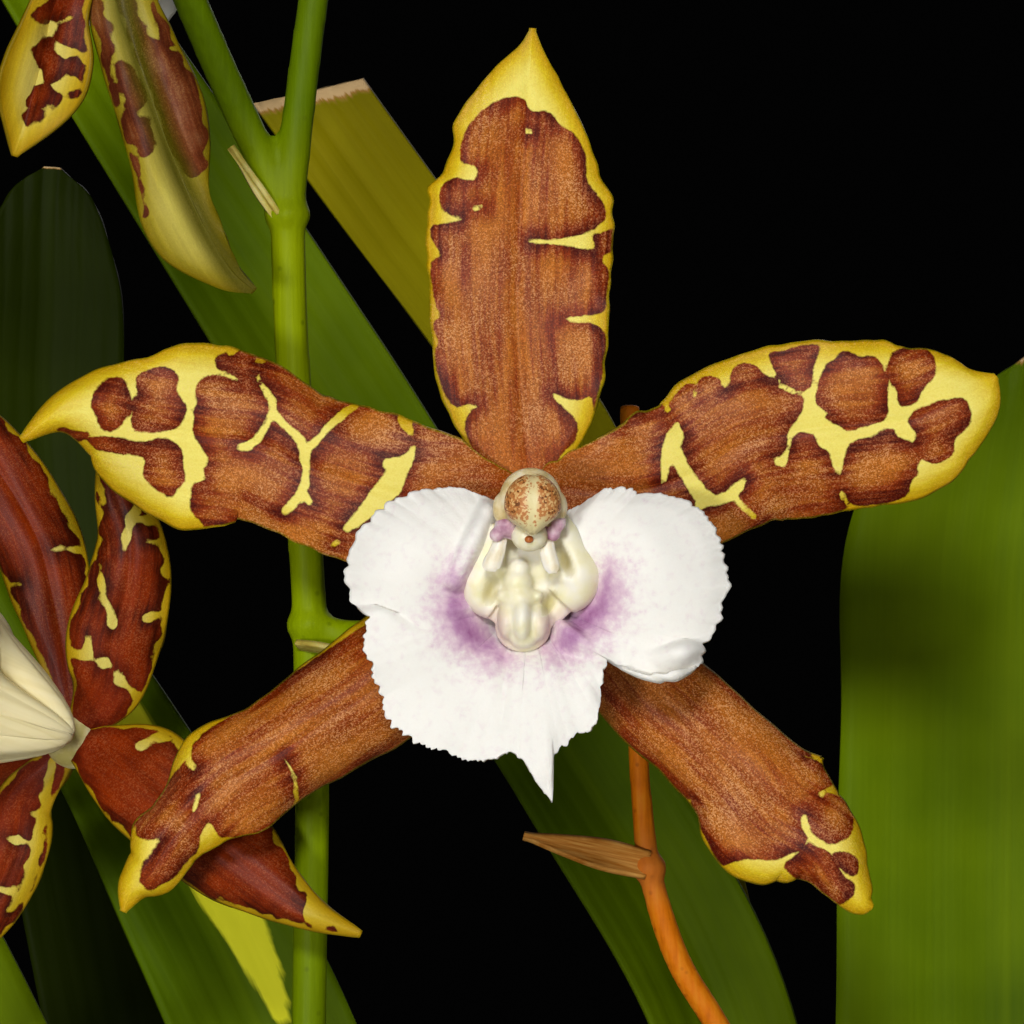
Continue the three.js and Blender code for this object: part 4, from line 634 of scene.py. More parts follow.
# Living leaf, a waxy cuticle over green tissue: satin, with parallel veins as fine lighter and darker
# lines, a paler midrib, slow clouds of yellow, and a brown papery end where "dry" says that it dried. One
# leaf carries a bright strip of painted light, and the much darker copy of the skin is painted shade.
leaf_skins = {}
for kind, deep, body, bright in (
    ("green orchid leaf", "364c00", "526800", "687c00"),
    ("orchid leaf in painted shade", "161e00", "212b00", "2c3802"),
    ("pale orchid leaf", "6e6400", "7e7402", "8c840a"),
):
    skin, put = bare_material(kind)
    where = put("TexCoord").outputs["Object"]
    vein_place = put("Attribute", attribute_name="blade").outputs["Vector"]
    dry = put("Attribute", attribute_name="dry").outputs["Fac"]
    bright_strip = put("Attribute", attribute_name="strip").outputs["Fac"]
    parts = put("SeparateXYZ", [vein_place])
    cloud = put("TexNoise", {"Vector": where, "Scale": 1000 / 30, "Detail": 4})
    wander_at = put("Mapping", {0: vein_place, "Scale": (0.35, 0.02, 0)})
    wander = put("TexNoise", {"Vector": wander_at, "Scale": 1})
    across = put("Math", [wander, 1.6, parts.outputs["X"]], operation="MULTIPLY_ADD")
    phase = put("Math", [across, 2 * math.pi / VEIN_PITCH], operation="MULTIPLY")
    vein = put("Math", [phase], operation="SINE")
    fibres_at = put("Mapping", {0: vein_place, "Scale": (3.2, 0.06, 0)})
    fibre = put("TexNoise", {"Vector": fibres_at, "Scale": 1, "Detail": 3})
    tone = put("ValToRGB", [cloud], stops=[(0.28, deep), (0.5, body), (0.75, bright)])
    vein_share = put("MapRange", [vein, -1, 1, 0, 0.05])
    lined = put("MixRGB", [vein_share, tone, bright])
    fibrous = put("MixRGB", [0.08, lined, fibre], blend_type="OVERLAY")
    from_rib = put("Math", [parts.outputs["X"]], operation="ABSOLUTE")
    rib = put("MapRange", [from_rib, 0.15, 0.7, 0.2, 0])
    ribbed = put("MixRGB", [rib, fibrous, bright])
    # Painted light: a bright yellow-green strip where the low left leaf's fold is lit
    strip_wave = put("Math", [fibre, 0.5, bright_strip], operation="MULTIPLY_ADD")
    strip_share = put("MapRange", [strip_wave, 0.55, 1])
    striped = put("MixRGB", [strip_share, ribbed, "e4e22a"])
    dry_wave = put("Math", [fibre, 0.6, dry], operation="MULTIPLY_ADD")
    dryness = put("MapRange", [dry_wave, 0.62, 0.95])
    dry_tone = put("ValToRGB", [dry_wave], stops=[(0.6, "8a7a2a"), (0.85, "a8763c"), (1.2, "c9a877")])
    colour = put("MixRGB", [dryness, striped, dry_tone])
    relief = put("Math", [vein, 0.35, fibre], operation="MULTIPLY_ADD")
    bumps = put("Bump", {"Height": relief, "Strength": 0.25, "Distance": 0.03 * MM})
    put("OutputMaterial", [put("BsdfPrincipled", {
        "Base Color": colour, "Roughness": 0.55, "Normal": bumps, "Specular IOR Level": 0.04,
    })])
    leaf_skins[kind] = skin

# The rear left leaf takes the much darker copy of the leaf skin: painted shade, for a leaf that stands in
# shadow.
LEAF_KINDS = {
    "leaf_pale_cut": "pale orchid leaf",
    "leaf_rear_left": "orchid leaf in painted shade",
}
IN_VIEW = ["leaf_right_tall", "leaf_long_diagonal", "leaf_pale_cut", "leaf_low_left", "leaf_rear_left"]
CELLS_IN_VIEW = (130, 24)
CELLS_ASIDE = (72, 14)
# The pale leaf's straight cut: its middle and its slope in degrees
CUT_MIDDLE = (-35.1, 27, 372.6)
CUT_SLOPE = 13
# How brown the tips are and over what share of the leaf; the tall leaf's tip has dried further
DRY_TIP = (1.1, 0.012)
DRY_TIPS = {"leaf_right_tall": (1.3, 0.045)}
# The low left leaf's bright strip, painted light on the lit half of its fold: where it starts and ends along
# the leaf, over what share it narrows, and the leaf's half width and length in mm there. A brown spot closes
# it, at this share along and across.
STRIP_TOP, STRIP_END, STRIP_NARROWS = 0.545, 0.433, 0.11
STRIP_HALF_LEAF, STRIP_LEAF = 7.4, 110
SPOT_ALONG, SPOT_ACROSS = 0.424, 0.32
for number, (name, shape) in enumerate(LEAVES.items()):
    fold = shape.get("fold", LEAF_FOLD)
    rows = []
    for x, y, z, left, *right in shape["rows"]:
        right = right[0] if right else left
        rows.append([x, y, z, left, right, -fold * left, -fold * right])
    wavy = 31 + number
    bm, points, facing, places, t, s = blade(
        rows, shape["face"], *(CELLS_IN_VIEW if name in IN_VIEW else CELLS_ASIDE), LEAF_CREASE,
        lambda t, s: 1 + 0.03 * waves(t * 10, np.sign(s), 2.2, wavy) * np.sin(math.pi * t),
    )
    edge_wave = 0.35 * np.abs(s) ** 3 * np.sin(math.pi * t) ** 0.5
    points += facing * (edge_wave * waves(places[:, 1], s * 6, 26, number + 90))[:, None]
    points += facing * (VEIN_RELIEF * np.cos(2 * math.pi * places[:, 0] / (2.2 * VEIN_PITCH)))[:, None]
    dry = np.clip(1 - places[:, 2] / 0.35, 0, 1) * 0.25
    strip = np.zeros(len(t))
    if name == "leaf_pale_cut":
        slope = math.radians(CUT_SLOPE)
        cut_normal = np.array([-math.sin(slope), 0, math.cos(slope)])
        from_cut = -(points - np.array(CUT_MIDDLE)) @ cut_normal
        dry = np.maximum(dry, np.clip(1.2 - from_cut / 1.6, 0, 1.2))
    elif name == "leaf_low_left":
        down = np.clip((STRIP_TOP - t) / STRIP_NARROWS, 0, 1.1)
        from_rib = s - 0.02 - 0.2 * down
        from_edge = 0.66 - 0.12 * down - 0.16 * down ** 4 - s
        inside = np.minimum(np.minimum(from_rib, from_edge) * STRIP_HALF_LEAF, (t - STRIP_END) * STRIP_LEAF)
        strip = np.clip(0.5 + inside / 0.6, 0, 1)
        spot = np.exp(-((t - SPOT_ALONG) / 0.009) ** 2 - ((s - SPOT_ACROSS) / 0.09) ** 2)
        dry = np.maximum(dry, 1.1 * spot)
    else:
        most, dried = DRY_TIPS.get(name, DRY_TIP)
        dry = np.maximum(dry, np.clip(most - (1 - t) / dried, 0, 1))
    settle(bm, points)
    note(bm, blade=places, dry=dry, strip=strip)
    weigh(bm, np.clip(places[:, 2] / 2.5, 0.2, 1))
    if name == "leaf_pale_cut":
        bmesh.ops.bisect_plane(
            bm, geom=bm.verts[:] + bm.edges[:] + bm.faces[:], plane_co=Vector(CUT_MIDDLE) * MM,
            plane_no=cut_normal, clear_outer=True,
        )
    skin = leaf_skins[LEAF_KINDS.get(name, "green orchid leaf")]
    thickened(piece_from(bm, name + "_blade", [skin], [name]), LEAF_THICK, THIN_EDGE)

# Flower spike: one green stem that zigzags from node to node, with a stalk to every flower and bud.
# It grows as one piece; each node is a little swollen, ringed, and some keep a thin dry bract.
STEM_RADIUS = 1.5
TOP_RADIUS = 1.15
STALK_RADIUS = 1.45
HUB_RADIUS = 2.6
HUB_BACK = 1.9
GAP = 0.35
MAIN_FLOWER = (-15, -45, 335)
SPIKE_ROUTE = [
    [-38.2, -33, 98], [-38.2, -33, 118], [-38, -33.6, 150], [-36.5, -34, 190], [-34.5, -32, 240],
    [-33.4, -30, 291], [-33.1, -30, 310], [-33.3, -30, 324.5], [-33.9, -30, 335], [-34.8, -30, 347.6],
    [-35.2, -30, 359], [-34.1, -30, 368.6], [-33, -30, 377], [-31, -30, 391], [-29, -30.5, 405],
    [-31.5, -31, 420], [-33, -31, 435], [-30.5, -31, 452], [-28, -31, 468], [-28.5, -31, 484],
    [-27, -31.5, 502],
]
SPIKE_NODES = [7, 10, 14, 16, 18]
STALKS = {
    "main": [[-33.3, -30, 324.5], [-30.4, -30.5, 323.6], [-25.5, -32.5, 324.2], [-19.6, -37.2, 329.4]],
    "left": [[-33.3, -30, 301.4], [-39, -28, 304.0], [-46, -26.2, 309.6]],
    "upper": [
        [-35.2, -30, 359], [-37.3, -30, 363.6], [-40.4, -31, 370.3], [-43.2, -33, 376.8], [-44.9, -35.4, 381],
    ],
    "high": [[-29, -30.5, 405], [-24, -29, 411], [-16, -27.5, 416.5]],
    "crown": [[-33, -31, 435], [-38.0, -29.0, 442], [-43.6, -28.5, 450]],
}
BUDS = [
    {"foot": [-28, -31, 468], "tip": [-12, -36, 486], "radius": 4.0},
    {"foot": [-28.5, -31, 484], "tip": [-41, -35, 497], "radius": 3.4},
    {"foot": [-27.6, -31.3, 493], "tip": [-17.5, -35, 505], "radius": 2.9},
    {"foot": [-27, -31.5, 500], "tip": [-29, -32, 515], "radius": 2.4},
]
# Where each other flower stands, where it looks and where its lip hangs
OTHER_FLOWERS = {
    "left": {"at": [-53.2, -27, 314.9], "looks": [-0.93, 0, 0.36], "down": [0, -1, 0.05], "scale": 0.93},
    "upper": {
        "at": [-48.6, -39, 383.8], "looks": [-0.75, 0.62, 0.2], "down": [0.45, 0.6, 0.35], "scale": 0.93,
    },
    "high": {"at": [-3.6, -37, 420.8], "looks": [0.42, -0.88, 0.12], "down": [-0.05, 0, -1], "scale": 0.97},
    "crown": {
        "at": [-56.6, -38.6, 458.4], "looks": [-0.66, -0.72, 0.2], "down": [0.08, 0, -1], "scale": 0.92,
    },
}
SHAPED_BY_HAND = ["left", "upper"]


def unit(v):
    """The vector at length 1."""
    v = np.array(v, float)
    return v / np.linalg.norm(v)


def stalk_end(name):
    """The last points of a flower's stalk, where it meets the flower's back."""
    if name == "main":
        return [(-15.4, -41.2, 334.2), (-15, -43.1, 335)]
    flower = OTHER_FLOWERS[name]
    at = np.array(flower["at"], float)
    if name in SHAPED_BY_HAND:
        return [at + unit(np.array(STALKS[name][-1]) - at) * (HUB_RADIUS + GAP)]
    look = unit(flower["looks"])
    return [at - look * (HUB_BACK * flower["scale"] + d) for d in (4.5, GAP)]


def ball(place, radii, segments=24):
    """A ball or egg shape with these half sizes in millimetres."""
    bm = bmesh.new()
    size = Matrix.Diagonal([r * MM for r in radii] + [1])
    place = Matrix.Translation(Vector(place) * MM)
    bmesh.ops.create_uvsphere(
        bm, u_segments=segments, v_segments=segments * 2 // 3, radius=1, matrix=place @ size,
    )
    return bm


def grown_together(piece, voxel, smooth=6):
    """Runs the shells of a piece into one soft skin."""
    shell = piece.modifiers.new("one skin", "REMESH")
    shell.mode, shell.voxel_size, shell.use_smooth_shade = "VOXEL", voxel * MM, True
    soften = piece.modifiers.new("soften", "SMOOTH")
    soften.factor, soften.iterations = 0.5, smooth
    work_in(piece)


# Green stem skin: smooth and satin, brightest yellow-green round the main flower's height, darker green below
# it as painted shade and darker again towards the top, with fine lengthwise fibres and a few darker specks.
stem_skin, put = bare_material("green flower stem")
where = put("TexCoord").outputs["Object"]
height = put("SeparateXYZ", [where]).outputs["Z"]
fibres_at = put("Mapping", {0: where, "Scale": (1000 / 0.45, 1000 / 0.45, 1000 / 9)})
fibre = put("TexNoise", {"Vector": fibres_at, "Scale": 1, "Detail": 3})
cloud = put("TexNoise", {"Vector": where, "Scale": 1000 / 8, "Detail": 4})
# Painted shade: the green darkens below the main flower's height, and darkens again above it
rise = put("MapRange", [height, 0.24, 0.40])
tone = put("ValToRGB", [rise], stops=[
    (0, "304800"), (0.22, "4c6200"), (0.45, "768a00"), (0.73, "808e00"), (0.8, "566c00"), (1, "465c00"),
])
cloudy = put("MixRGB", [0.3, tone, cloud], blend_type="OVERLAY")
fibrous = put("MixRGB", [0.2, cloudy, fibre], blend_type="OVERLAY")
speck = put("TexVoronoi", {"Vector": where, "Scale": 1000 / 1.9})
specks = put("MapRange", [speck.outputs["Distance"], 0.06, 0.16, 0.45, 0])
colour = put("MixRGB", [specks, fibrous, "4c5a06"])
bumps = put("Bump", {"Height": fibre, "Strength": 0.35, "Distance": 0.15 * MM})
put("OutputMaterial", [put("BsdfPrincipled", {
    "Base Color": colour, "Roughness": 0.5, "Normal": bumps, "Specular IOR Level": 0.06,
})])

spike_parts = [
    rod(SPIKE_ROUTE[:11], STEM_RADIUS, 150, 20),
    rod(SPIKE_ROUTE[10:], lambda t, run: STEM_RADIUS + (TOP_RADIUS - 0.25 - STEM_RADIUS) * t ** 0.6, 110, 18),
    ball((-15, -42.2, 335), (3.6, 0.8, 3.6), 32),
]
spike_parts += [ball(SPIKE_ROUTE[k], (2.05, 2.05, 1.6)) for k in SPIKE_NODES]
for name, line in STALKS.items():
    widen = (lambda t, run: STALK_RADIUS * (0.94 + 0.12 * t)) if name == "main" else STALK_RADIUS
    spike_parts.append(rod(line + stalk_end(name), widen, 40, 18))
for bud in BUDS:
    foot, tip = np.array(bud["foot"], float), np.array(bud["tip"], float)
    spike_parts.append(rod([foot, foot + 0.25 * (tip - foot), foot + 0.5 * (tip - foot)], 1.0, 20, 14))
spike_stem = piece_from(joined(spike_parts), "spike_stem", [stem_skin], ["spike"])
grown_together(spike_stem, 0.45)

# The papery bracts that some nodes of the spike keep, cupped round the foot of a stalk: foot, tip, half
# width and the way they face
BRACT_THICK = 0.45
BRACTS = [
    ((-33.6, -30.6, 322.6), (-28.2, -33.4, 322.0), 1.9, (0, -0.3, 1)),
    ((-36.0, -31.3, 358.9), (-39.9, -31.3, 364.6), 0.5, (-0.5, -0.8, -0.3)),
    ((-28.4, -30.8, 403.4), (-24.6, -32.4, 407), 1.7, (-0.7, 0.2, 0.7)),
]
bract_skin, put = bare_material("papery flower bract")
where = put("TexCoord").outputs["Object"]
place = put("Attribute", attribute_name="blade").outputs["Vector"]
fibres_at = put("Mapping", {0: place, "Scale": (2.5, 0.15, 0)})
fibre = put("TexNoise", {"Vector": fibres_at, "Scale": 1, "Detail": 4})
blotch = put("TexNoise", {"Vector": where, "Scale": 1000 / 2.2, "Detail": 3})
mixed = put("MixRGB", [0.5, fibre, blotch])
tone = put("ValToRGB", [mixed], stops=[(0.36, "86701e"), (0.48, "ae9c3c"), (0.62, "c6ba74")])
put("OutputMaterial", [put("BsdfPrincipled", {
    "Base Color": tone, "Roughness": 0.7, "Subsurface Weight": 0.1, "Subsurface Scale": MM,
})])


def bract(foot, tip, width, facing):
    """A small cupped scale from its foot to its tip, its edges folded forward."""
    foot, tip = np.array(foot, float), np.array(tip, float)
    rows = []
    for t, share in ((0, 0.9), (0.35, 1), (0.7, 0.6), (1, 0.1)):
        half = width * share
        rows.append([*(foot + (tip - foot) * t), half, -0.6 * half])
    bm, points, _, places, _, _ = blade(rows, (facing, facing), 36, 20, 2)
    settle(bm, points)
    note(bm, blade=places)
    return bm


papers = joined([bract(*shape) for shape in BRACTS])
spike_bracts = piece_from(papers, "spike_bracts", [bract_skin], ["spike"])
thickened(spike_bracts, BRACT_THICK)

# Old spike: last year's flower stem, bare, fibrous and dried to orange-brown. It leans across behind
# the main flower, bends at its last joint and keeps one bract there.
OLD_STEM_RADIUS = 1.15
OLD_SPIKE_ROUTE = [
    [39, -21, 98], [39, -21, 118], [39.6, -20, 150], [37, -17, 190], [29, -13, 225], [19, -10, 255],
    [8.5, -10, 277], [1.4, -10, 289.6], [-1.9, -10, 295.1], [-4.4, -10, 303.1], [-4.9, -10, 307.3],
    [-5.3, -10, 312.5], [-5.6, -10, 326.4], [-5.9, -10, 336.8], [-6.1, -10, 343.3],
]
OLD_KNEE = (-4.4, -10, 303.1)

dry_skin, put = bare_material("dried flower stem")
where = put("TexCoord").outputs["Object"]
fibres_at = put("Mapping", {0: where, "Scale": (1000 / 0.5, 1000 / 0.5, 1000 / 7)})
fibre = put("TexNoise", {"Vector": fibres_at, "Scale": 1, "Detail": 4})
patch = put("TexNoise", {"Vector": where, "Scale": 1000 / 3.5, "Detail": 5, "Roughness": 0.65})
mixed = put("MixRGB", [0.5, fibre, patch])
tone = put("ValToRGB", [mixed], stops=[(0.34, "a85402"), (0.5, "c86a04"), (0.66, "d07c14")])
speck = put("TexVoronoi", {"Vector": where, "Scale": 1000 / 1.3})
specks = put("MapRange", [speck.outputs["Distance"], 0.08, 0.2, 0.5, 0])
speckled = put("MixRGB", [specks, tone, "7c3602"])
to_knee = put("VectorMath", [where, Vector(OLD_KNEE) * MM], operation="DISTANCE")
knee_share = put("MapRange", [to_knee.outputs["Value"], 1.5 * MM, 4 * MM, 0.5, 0])
colour = put("MixRGB", [knee_share, speckled, "b4682c"])
bumps = put("Bump", {"Height": fibre, "Strength": 0.4, "Distance": 0.12 * MM})
put("OutputMaterial", [put("BsdfPrincipled", {
    "Base Color": colour, "Roughness": 0.6, "Normal": bumps, "Specular IOR Level": 0.1,
})])

old_stem = piece_from(joined([
    rod(OLD_SPIKE_ROUTE, lambda t, run: OLD_STEM_RADIUS * np.interp(t, (0.82, 0.87), (0.98, 0.8)), 200, 16),
    ball(OLD_KNEE, (1.55, 1.55, 1.45)),
]), "old_spike_stem", [dry_skin], ["old_spike"])
grown_together(old_stem, 0.38, 4)

# The bract at its joint: one dried scale, orange-brown and finely ribbed along its length
brown_scale, put = bare_material("orange-brown dry scale")
place = put("Attribute", attribute_name="blade").outputs["Vector"]
ribs_at = put("Mapping", {0: place, "Scale": (1 / 0.25, 1 / 4, 0)})
rib = put("TexNoise", {"Vector": ribs_at, "Scale": 1, "Detail": 3})
tone = put("ValToRGB", [rib], stops=[(0.35, "a4641c"), (0.5, "b87c34"), (0.65, "c89248")])
bumps = put("Bump", {"Height": rib, "Strength": 0.5, "Distance": 0.1 * MM})
put("OutputMaterial", [put("BsdfPrincipled", {
    "Base Color": tone, "Roughness": 0.6, "Normal": bumps, "Specular IOR Level": 0.12,
})])
old_bract = bract((-4.6, -10.6, 303.4), (-15.3, -12, 306.0), 1.25, (-0.1, -1, 0.1))
thickened(piece_from(old_bract, "old_spike_bract", [brown_scale], ["old_spike"]), BRACT_THICK)

# Buds: closed flowers at the spike's tip, three outer sepals meeting along shallow seams,
# yellow-green with a brown flush that the open flower's bars will grow from.
BUD_PROFILE = [(0.45, 0), (0.72, 0.1), (0.93, 0.27), (1, 0.48), (0.86, 0.68), (0.55, 0.86), (0.2, 0.97)]
BUD_SIDES = 60
SEAM_DEPTH = 0.07

bud_skin, put = bare_material("flower bud")
where = put("TexCoord").outputs["Object"]
blotch = put("TexNoise", {"Vector": where, "Scale": 1000 / 2.6, "Detail": 4, "Roughness": 0.6})
tone = put("ValToRGB", [blotch], stops=[
    (0.4, "8a9a1c"), (0.52, "a8a22c"), (0.6, "8a5a24"), (0.72, "6e3c18"),
])
fibres_at = put("Mapping", {0: where, "Scale": (1000 / 0.5, 1000 / 0.5, 1000 / 4)})
fibre = put("TexNoise", {"Vector": fibres_at, "Scale": 1, "Detail": 3})
colour = put("MixRGB", [0.35, tone, fibre], blend_type="OVERLAY")
bumps = put("Bump", {"Height": fibre, "Strength": 0.3, "Distance": 0.2 * MM})
put("OutputMaterial", [put("BsdfPrincipled", {
    "Base Color": colour, "Roughness": 0.42, "Normal": bumps, "Coat Weight": 0.1,
})])

bud_outline = [(0, 0)] + [tuple(p) for p in smooth_rows(BUD_PROFILE, np.linspace(0, 1, 33))] + [(0, 1)]
for number, bud in enumerate(BUDS):
    foot, tip = Vector(bud["foot"]), Vector(bud["tip"])
    onward = (tip - foot).normalized()
    start = foot.lerp(tip, 0.5) + onward * GAP
    length = (tip - start).length
    bm = turned(bud_outline, BUD_SIDES)
    spots = spots_of(bm)
    around = np.arctan2(spots[:, 1], spots[:, 0])
    seam = np.exp(-(((around * 1.5 / math.pi) % 1 - 0.5) / 0.07) ** 2)
    radius = bud["radius"] * (1 - SEAM_DEPTH * seam * np.sin(math.pi * np.clip(spots[:, 2], 0, 1)))
    spots[:, :2] *= radius[:, None]
    spots[:, 2] *= length
    settle(bm, spots)
    upright = Vector((0, 0, 1))
    stand = Matrix.Translation(start * MM) @ upright.rotation_difference(onward).to_matrix().to_4x4()
    bmesh.ops.transform(bm, matrix=stand, verts=bm.verts)
    piece_from(bm, f"bud_{number + 1}_sepals", [bud_skin], [f"bud_{number + 1}"])

# Sepals and petals of the open flowers: fleshy blades about 0.8 mm thick, glossy brown above with a
# net and margins of yellow, paler and more olive behind. Five stand round each flower's middle.
TEPAL_THICK = 0.8
TEPAL_CREASE = 2
RIB = (0.22, 0.5)

# Petal skin, rows of tiny domed cells: warm brown, darkest along the edge of each blotch, streaked
# lengthwise, with their sparkle painted in as pale glints, a painted highlight; the net is butter yellow and
# the very margin golden. Its back is olive and dull, with a dark olive keel band that is partly painted
# shade.
CELL_PITCH = 0.1
petal_skins = {}
# Each kind's browns (rim, shallow, deep, foot), yellows (gold, butter, cream, edge line), painted glint tone,
# and the strength of its grain and painted glints
for kind, browns, yellows, painted_glint_tone, grain in (
    ("brown barred petal", "4c0c00 802c04 b0641e a04808", "b88c00 d2b41c e8d868 7c7402", "dcac78", 1.0),
    ("red-brown petal with painted shade", "3c0c00 661c00 842a00 80240a", "a07c02 b89c1c ccbc5c 645602", "b88050", 0.4),
    ("back of a petal", "4a1c0a 683014 865434 7a6014", "7a6602 948420 b4a648 6a6202", "a88c50", 0.4),
):
    rim, shallow, deep, foot_tone = browns.split()
    gold, butter, cream, edge_line = yellows.split()
    skin, put = bare_material(kind)
    where = put("TexCoord").outputs["Object"]
    place = put("Attribute", attribute_name="blade").outputs["Vector"]
    mark = put("Attribute", attribute_name="mark").outputs["Fac"]
    parts = put("SeparateXYZ", [place])
    lobes = put("TexNoise", {"Vector": where, "Scale": 1000 / 1.1, "Detail": 2})
    fray = put("TexNoise", {"Vector": where, "Scale": 1000 / 0.3, "Detail": 1})
    wobble = put("Math", [lobes, 0.34, mark], operation="MULTIPLY_ADD")
    frayed = put("Math", [fray, 0.16, wobble], operation="MULTIPLY_ADD")
    depth = put("Math", [frayed, 0.25], operation="SUBTRACT")
    sunk = put("MapRange", [depth, 0, -1.5, 0, 0.52])
    streaks_at = put("Mapping", {0: place, "Scale": (1 / 0.4, 1 / 8, 0)})
    streak = put("TexNoise", {"Vector": streaks_at, "Scale": 1, "Detail": 4, "Roughness": 0.6})
    broad_at = put("Mapping", {0: place, "Scale": (1 / 2.4, 1 / 9, 0)})
    broad = put("TexNoise", {"Vector": broad_at, "Scale": 1, "Detail": 2})
    streak_shift = put("Math", [broad, 1.5, sunk], operation="MULTIPLY_ADD")
    brown_place = put("Math", [streak, 1.1, streak_shift], operation="MULTIPLY_ADD")
    brown_share = put("MapRange", [brown_place, 1.22, 2.12])
    brown = put("ValToRGB", [brown_share], stops=[(0, rim), (0.35, shallow), (0.85, deep)])
    from_foot = put("MapRange", [parts.outputs["Y"], 0, 9, 0.5, 0])
    brown = put("MixRGB", [from_foot, brown, foot_tone])
    yellow = put("MapRange", [parts.outputs["Z"], 0.15, 2.6])
    yellow = put("ValToRGB", [yellow], stops=[(0, gold), (0.35, butter), (1, cream)])
    yellow = put("MixRGB", [0.25, yellow, streak], blend_type="OVERLAY")
    share = put("MapRange", [depth, -0.07, 0.07])
    barred = put("MixRGB", [share, brown, yellow])
    line = put("MapRange", [parts.outputs["Z"], 0.06, 0.22, 0.7, 0])
    lined = put("MixRGB", [line, barred, edge_line])
    if kind == "back of a petal":
        # The keel band down the back's middle: olive of its own, and dark partly as painted shade of the fold
        aside = put("Math", [parts.outputs["X"]], operation="ABSOLUTE")
        keel_olive_and_shade = put("MapRange", [aside, 0.6, 1.7, 0.9, 0])
        lined = put("MixRGB", [keel_olive_and_shade, lined, "484402"])
    dome = put("TexVoronoi", {"Vector": where, "Scale": 1000 / CELL_PITCH})
    chance = put("SeparateXYZ", [dome.outputs["Color"]]).outputs["X"]
    grain_share = put("MapRange", [share, 0, 1, 0.34 * grain, 0.12 * grain])
    grained = put("MixRGB", [grain_share, lined, chance], blend_type="OVERLAY")
    # Painted highlight: pale glints of the glint tone on random cells, more where the sheen cloud is high and
    # fewer at the blotch rims
    painted_sheen_cloud = put("TexNoise", {"Vector": where, "Scale": 1000 / 4.5, "Detail": 2})
    lively = put("Math", [painted_sheen_cloud, 1.1, chance], operation="MULTIPLY_ADD")
    painted_glint = put("MapRange", [lively, 1.15, 1.65, 0, 0.45 * grain])
    away = put("MapRange", [brown_share, 0.1, 0.6, 0.2, 1])
    painted_glint_share = put("Math", [painted_glint, away], operation="MULTIPLY")
    colour = put("MixRGB", [painted_glint_share, grained, painted_glint_tone])
    relief = put("Math", [streak, 1.4, chance], operation="MULTIPLY_ADD")
    bumps = put("Bump", {"Height": relief, "Strength": 0.5, "Distance": 0.04 * MM})
    put("OutputMaterial", [put("BsdfPrincipled", {
        "Base Color": colour, "Roughness": 0.42, "Normal": bumps, "Specular IOR Level": 0.1,
        "Subsurface Weight": 0.04, "Subsurface Radius": (1, 0.4, 0.05), "Subsurface Scale": MM,
    })])
    petal_skins[kind] = skin
FRONT, BACK = petal_skins["brown barred petal"], petal_skins["back of a petal"]
# The side flowers' red-brown skin: redder than the main flower's, and darker in browns and yellows as painted
# shade
FRONT_RED = petal_skins["red-brown petal with painted shade"]


def cell_marks(places, size, net, margin, seed):
    """Blotches like rounded cells about size apart, in a yellow net and margin; brown is negative."""
    draw = np.random.default_rng(seed)
    across, run, inward = places.T
    first, second = np.full(len(run), 1e3), np.full(len(run), 1e3)
    for i in range(-4, 5):
        for k in range(-2, 12):
            jx, jy = draw.uniform(-0.36, 0.36, 2)
            far = np.hypot(across - (i + jx) * size, run - (k + jy) * size)
            second = np.minimum(second, np.maximum(first, far))
            first = np.minimum(first, far)
    return np.maximum(net - (second - first) / 2, margin - inward)


def on_main(points):
    """Takes points from the main flower's own frame to the plant."""
    return points + np.array(MAIN_FLOWER, float)


def tepal(name, node, rows, face, materials, mark, cells, seed, detail=None, place=on_main, rib=RIB):
    """One sepal or petal. Its rows are in millimetres from its flower's zero, cells are its faces along
    and across, place sets it on the plant, and rib is its midrib's depth and half width."""
    bm, points, facing, places, t, s = blade(rows, face, *cells, TEPAL_CREASE, detail)
    length = places[:, 1].max()
    swell = 0.22 * waves(places[:, 0], places[:, 1], 9, seed) * np.sin(math.pi * t) ** 0.5
    ruffle = 0.3 * np.abs(s) ** 4 * waves(places[:, 1], s * 3, 5.5, seed + 1) * np.sin(math.pi * t)
    midrib = rib[0] * np.exp(-(places[:, 0] / rib[1]) ** 2) * np.sin(math.pi * t)
    points = points + facing * (swell + ruffle - midrib)[:, None]
    settle(bm, place(points))
    note(bm, blade=places, mark=mark(points, places))
    weigh(bm, np.clip(places[:, 2] / 1.2, 0, 1))
    thickened(piece_from(bm, name, materials, [node]), TEPAL_THICK, THIN_EDGE, back=1)


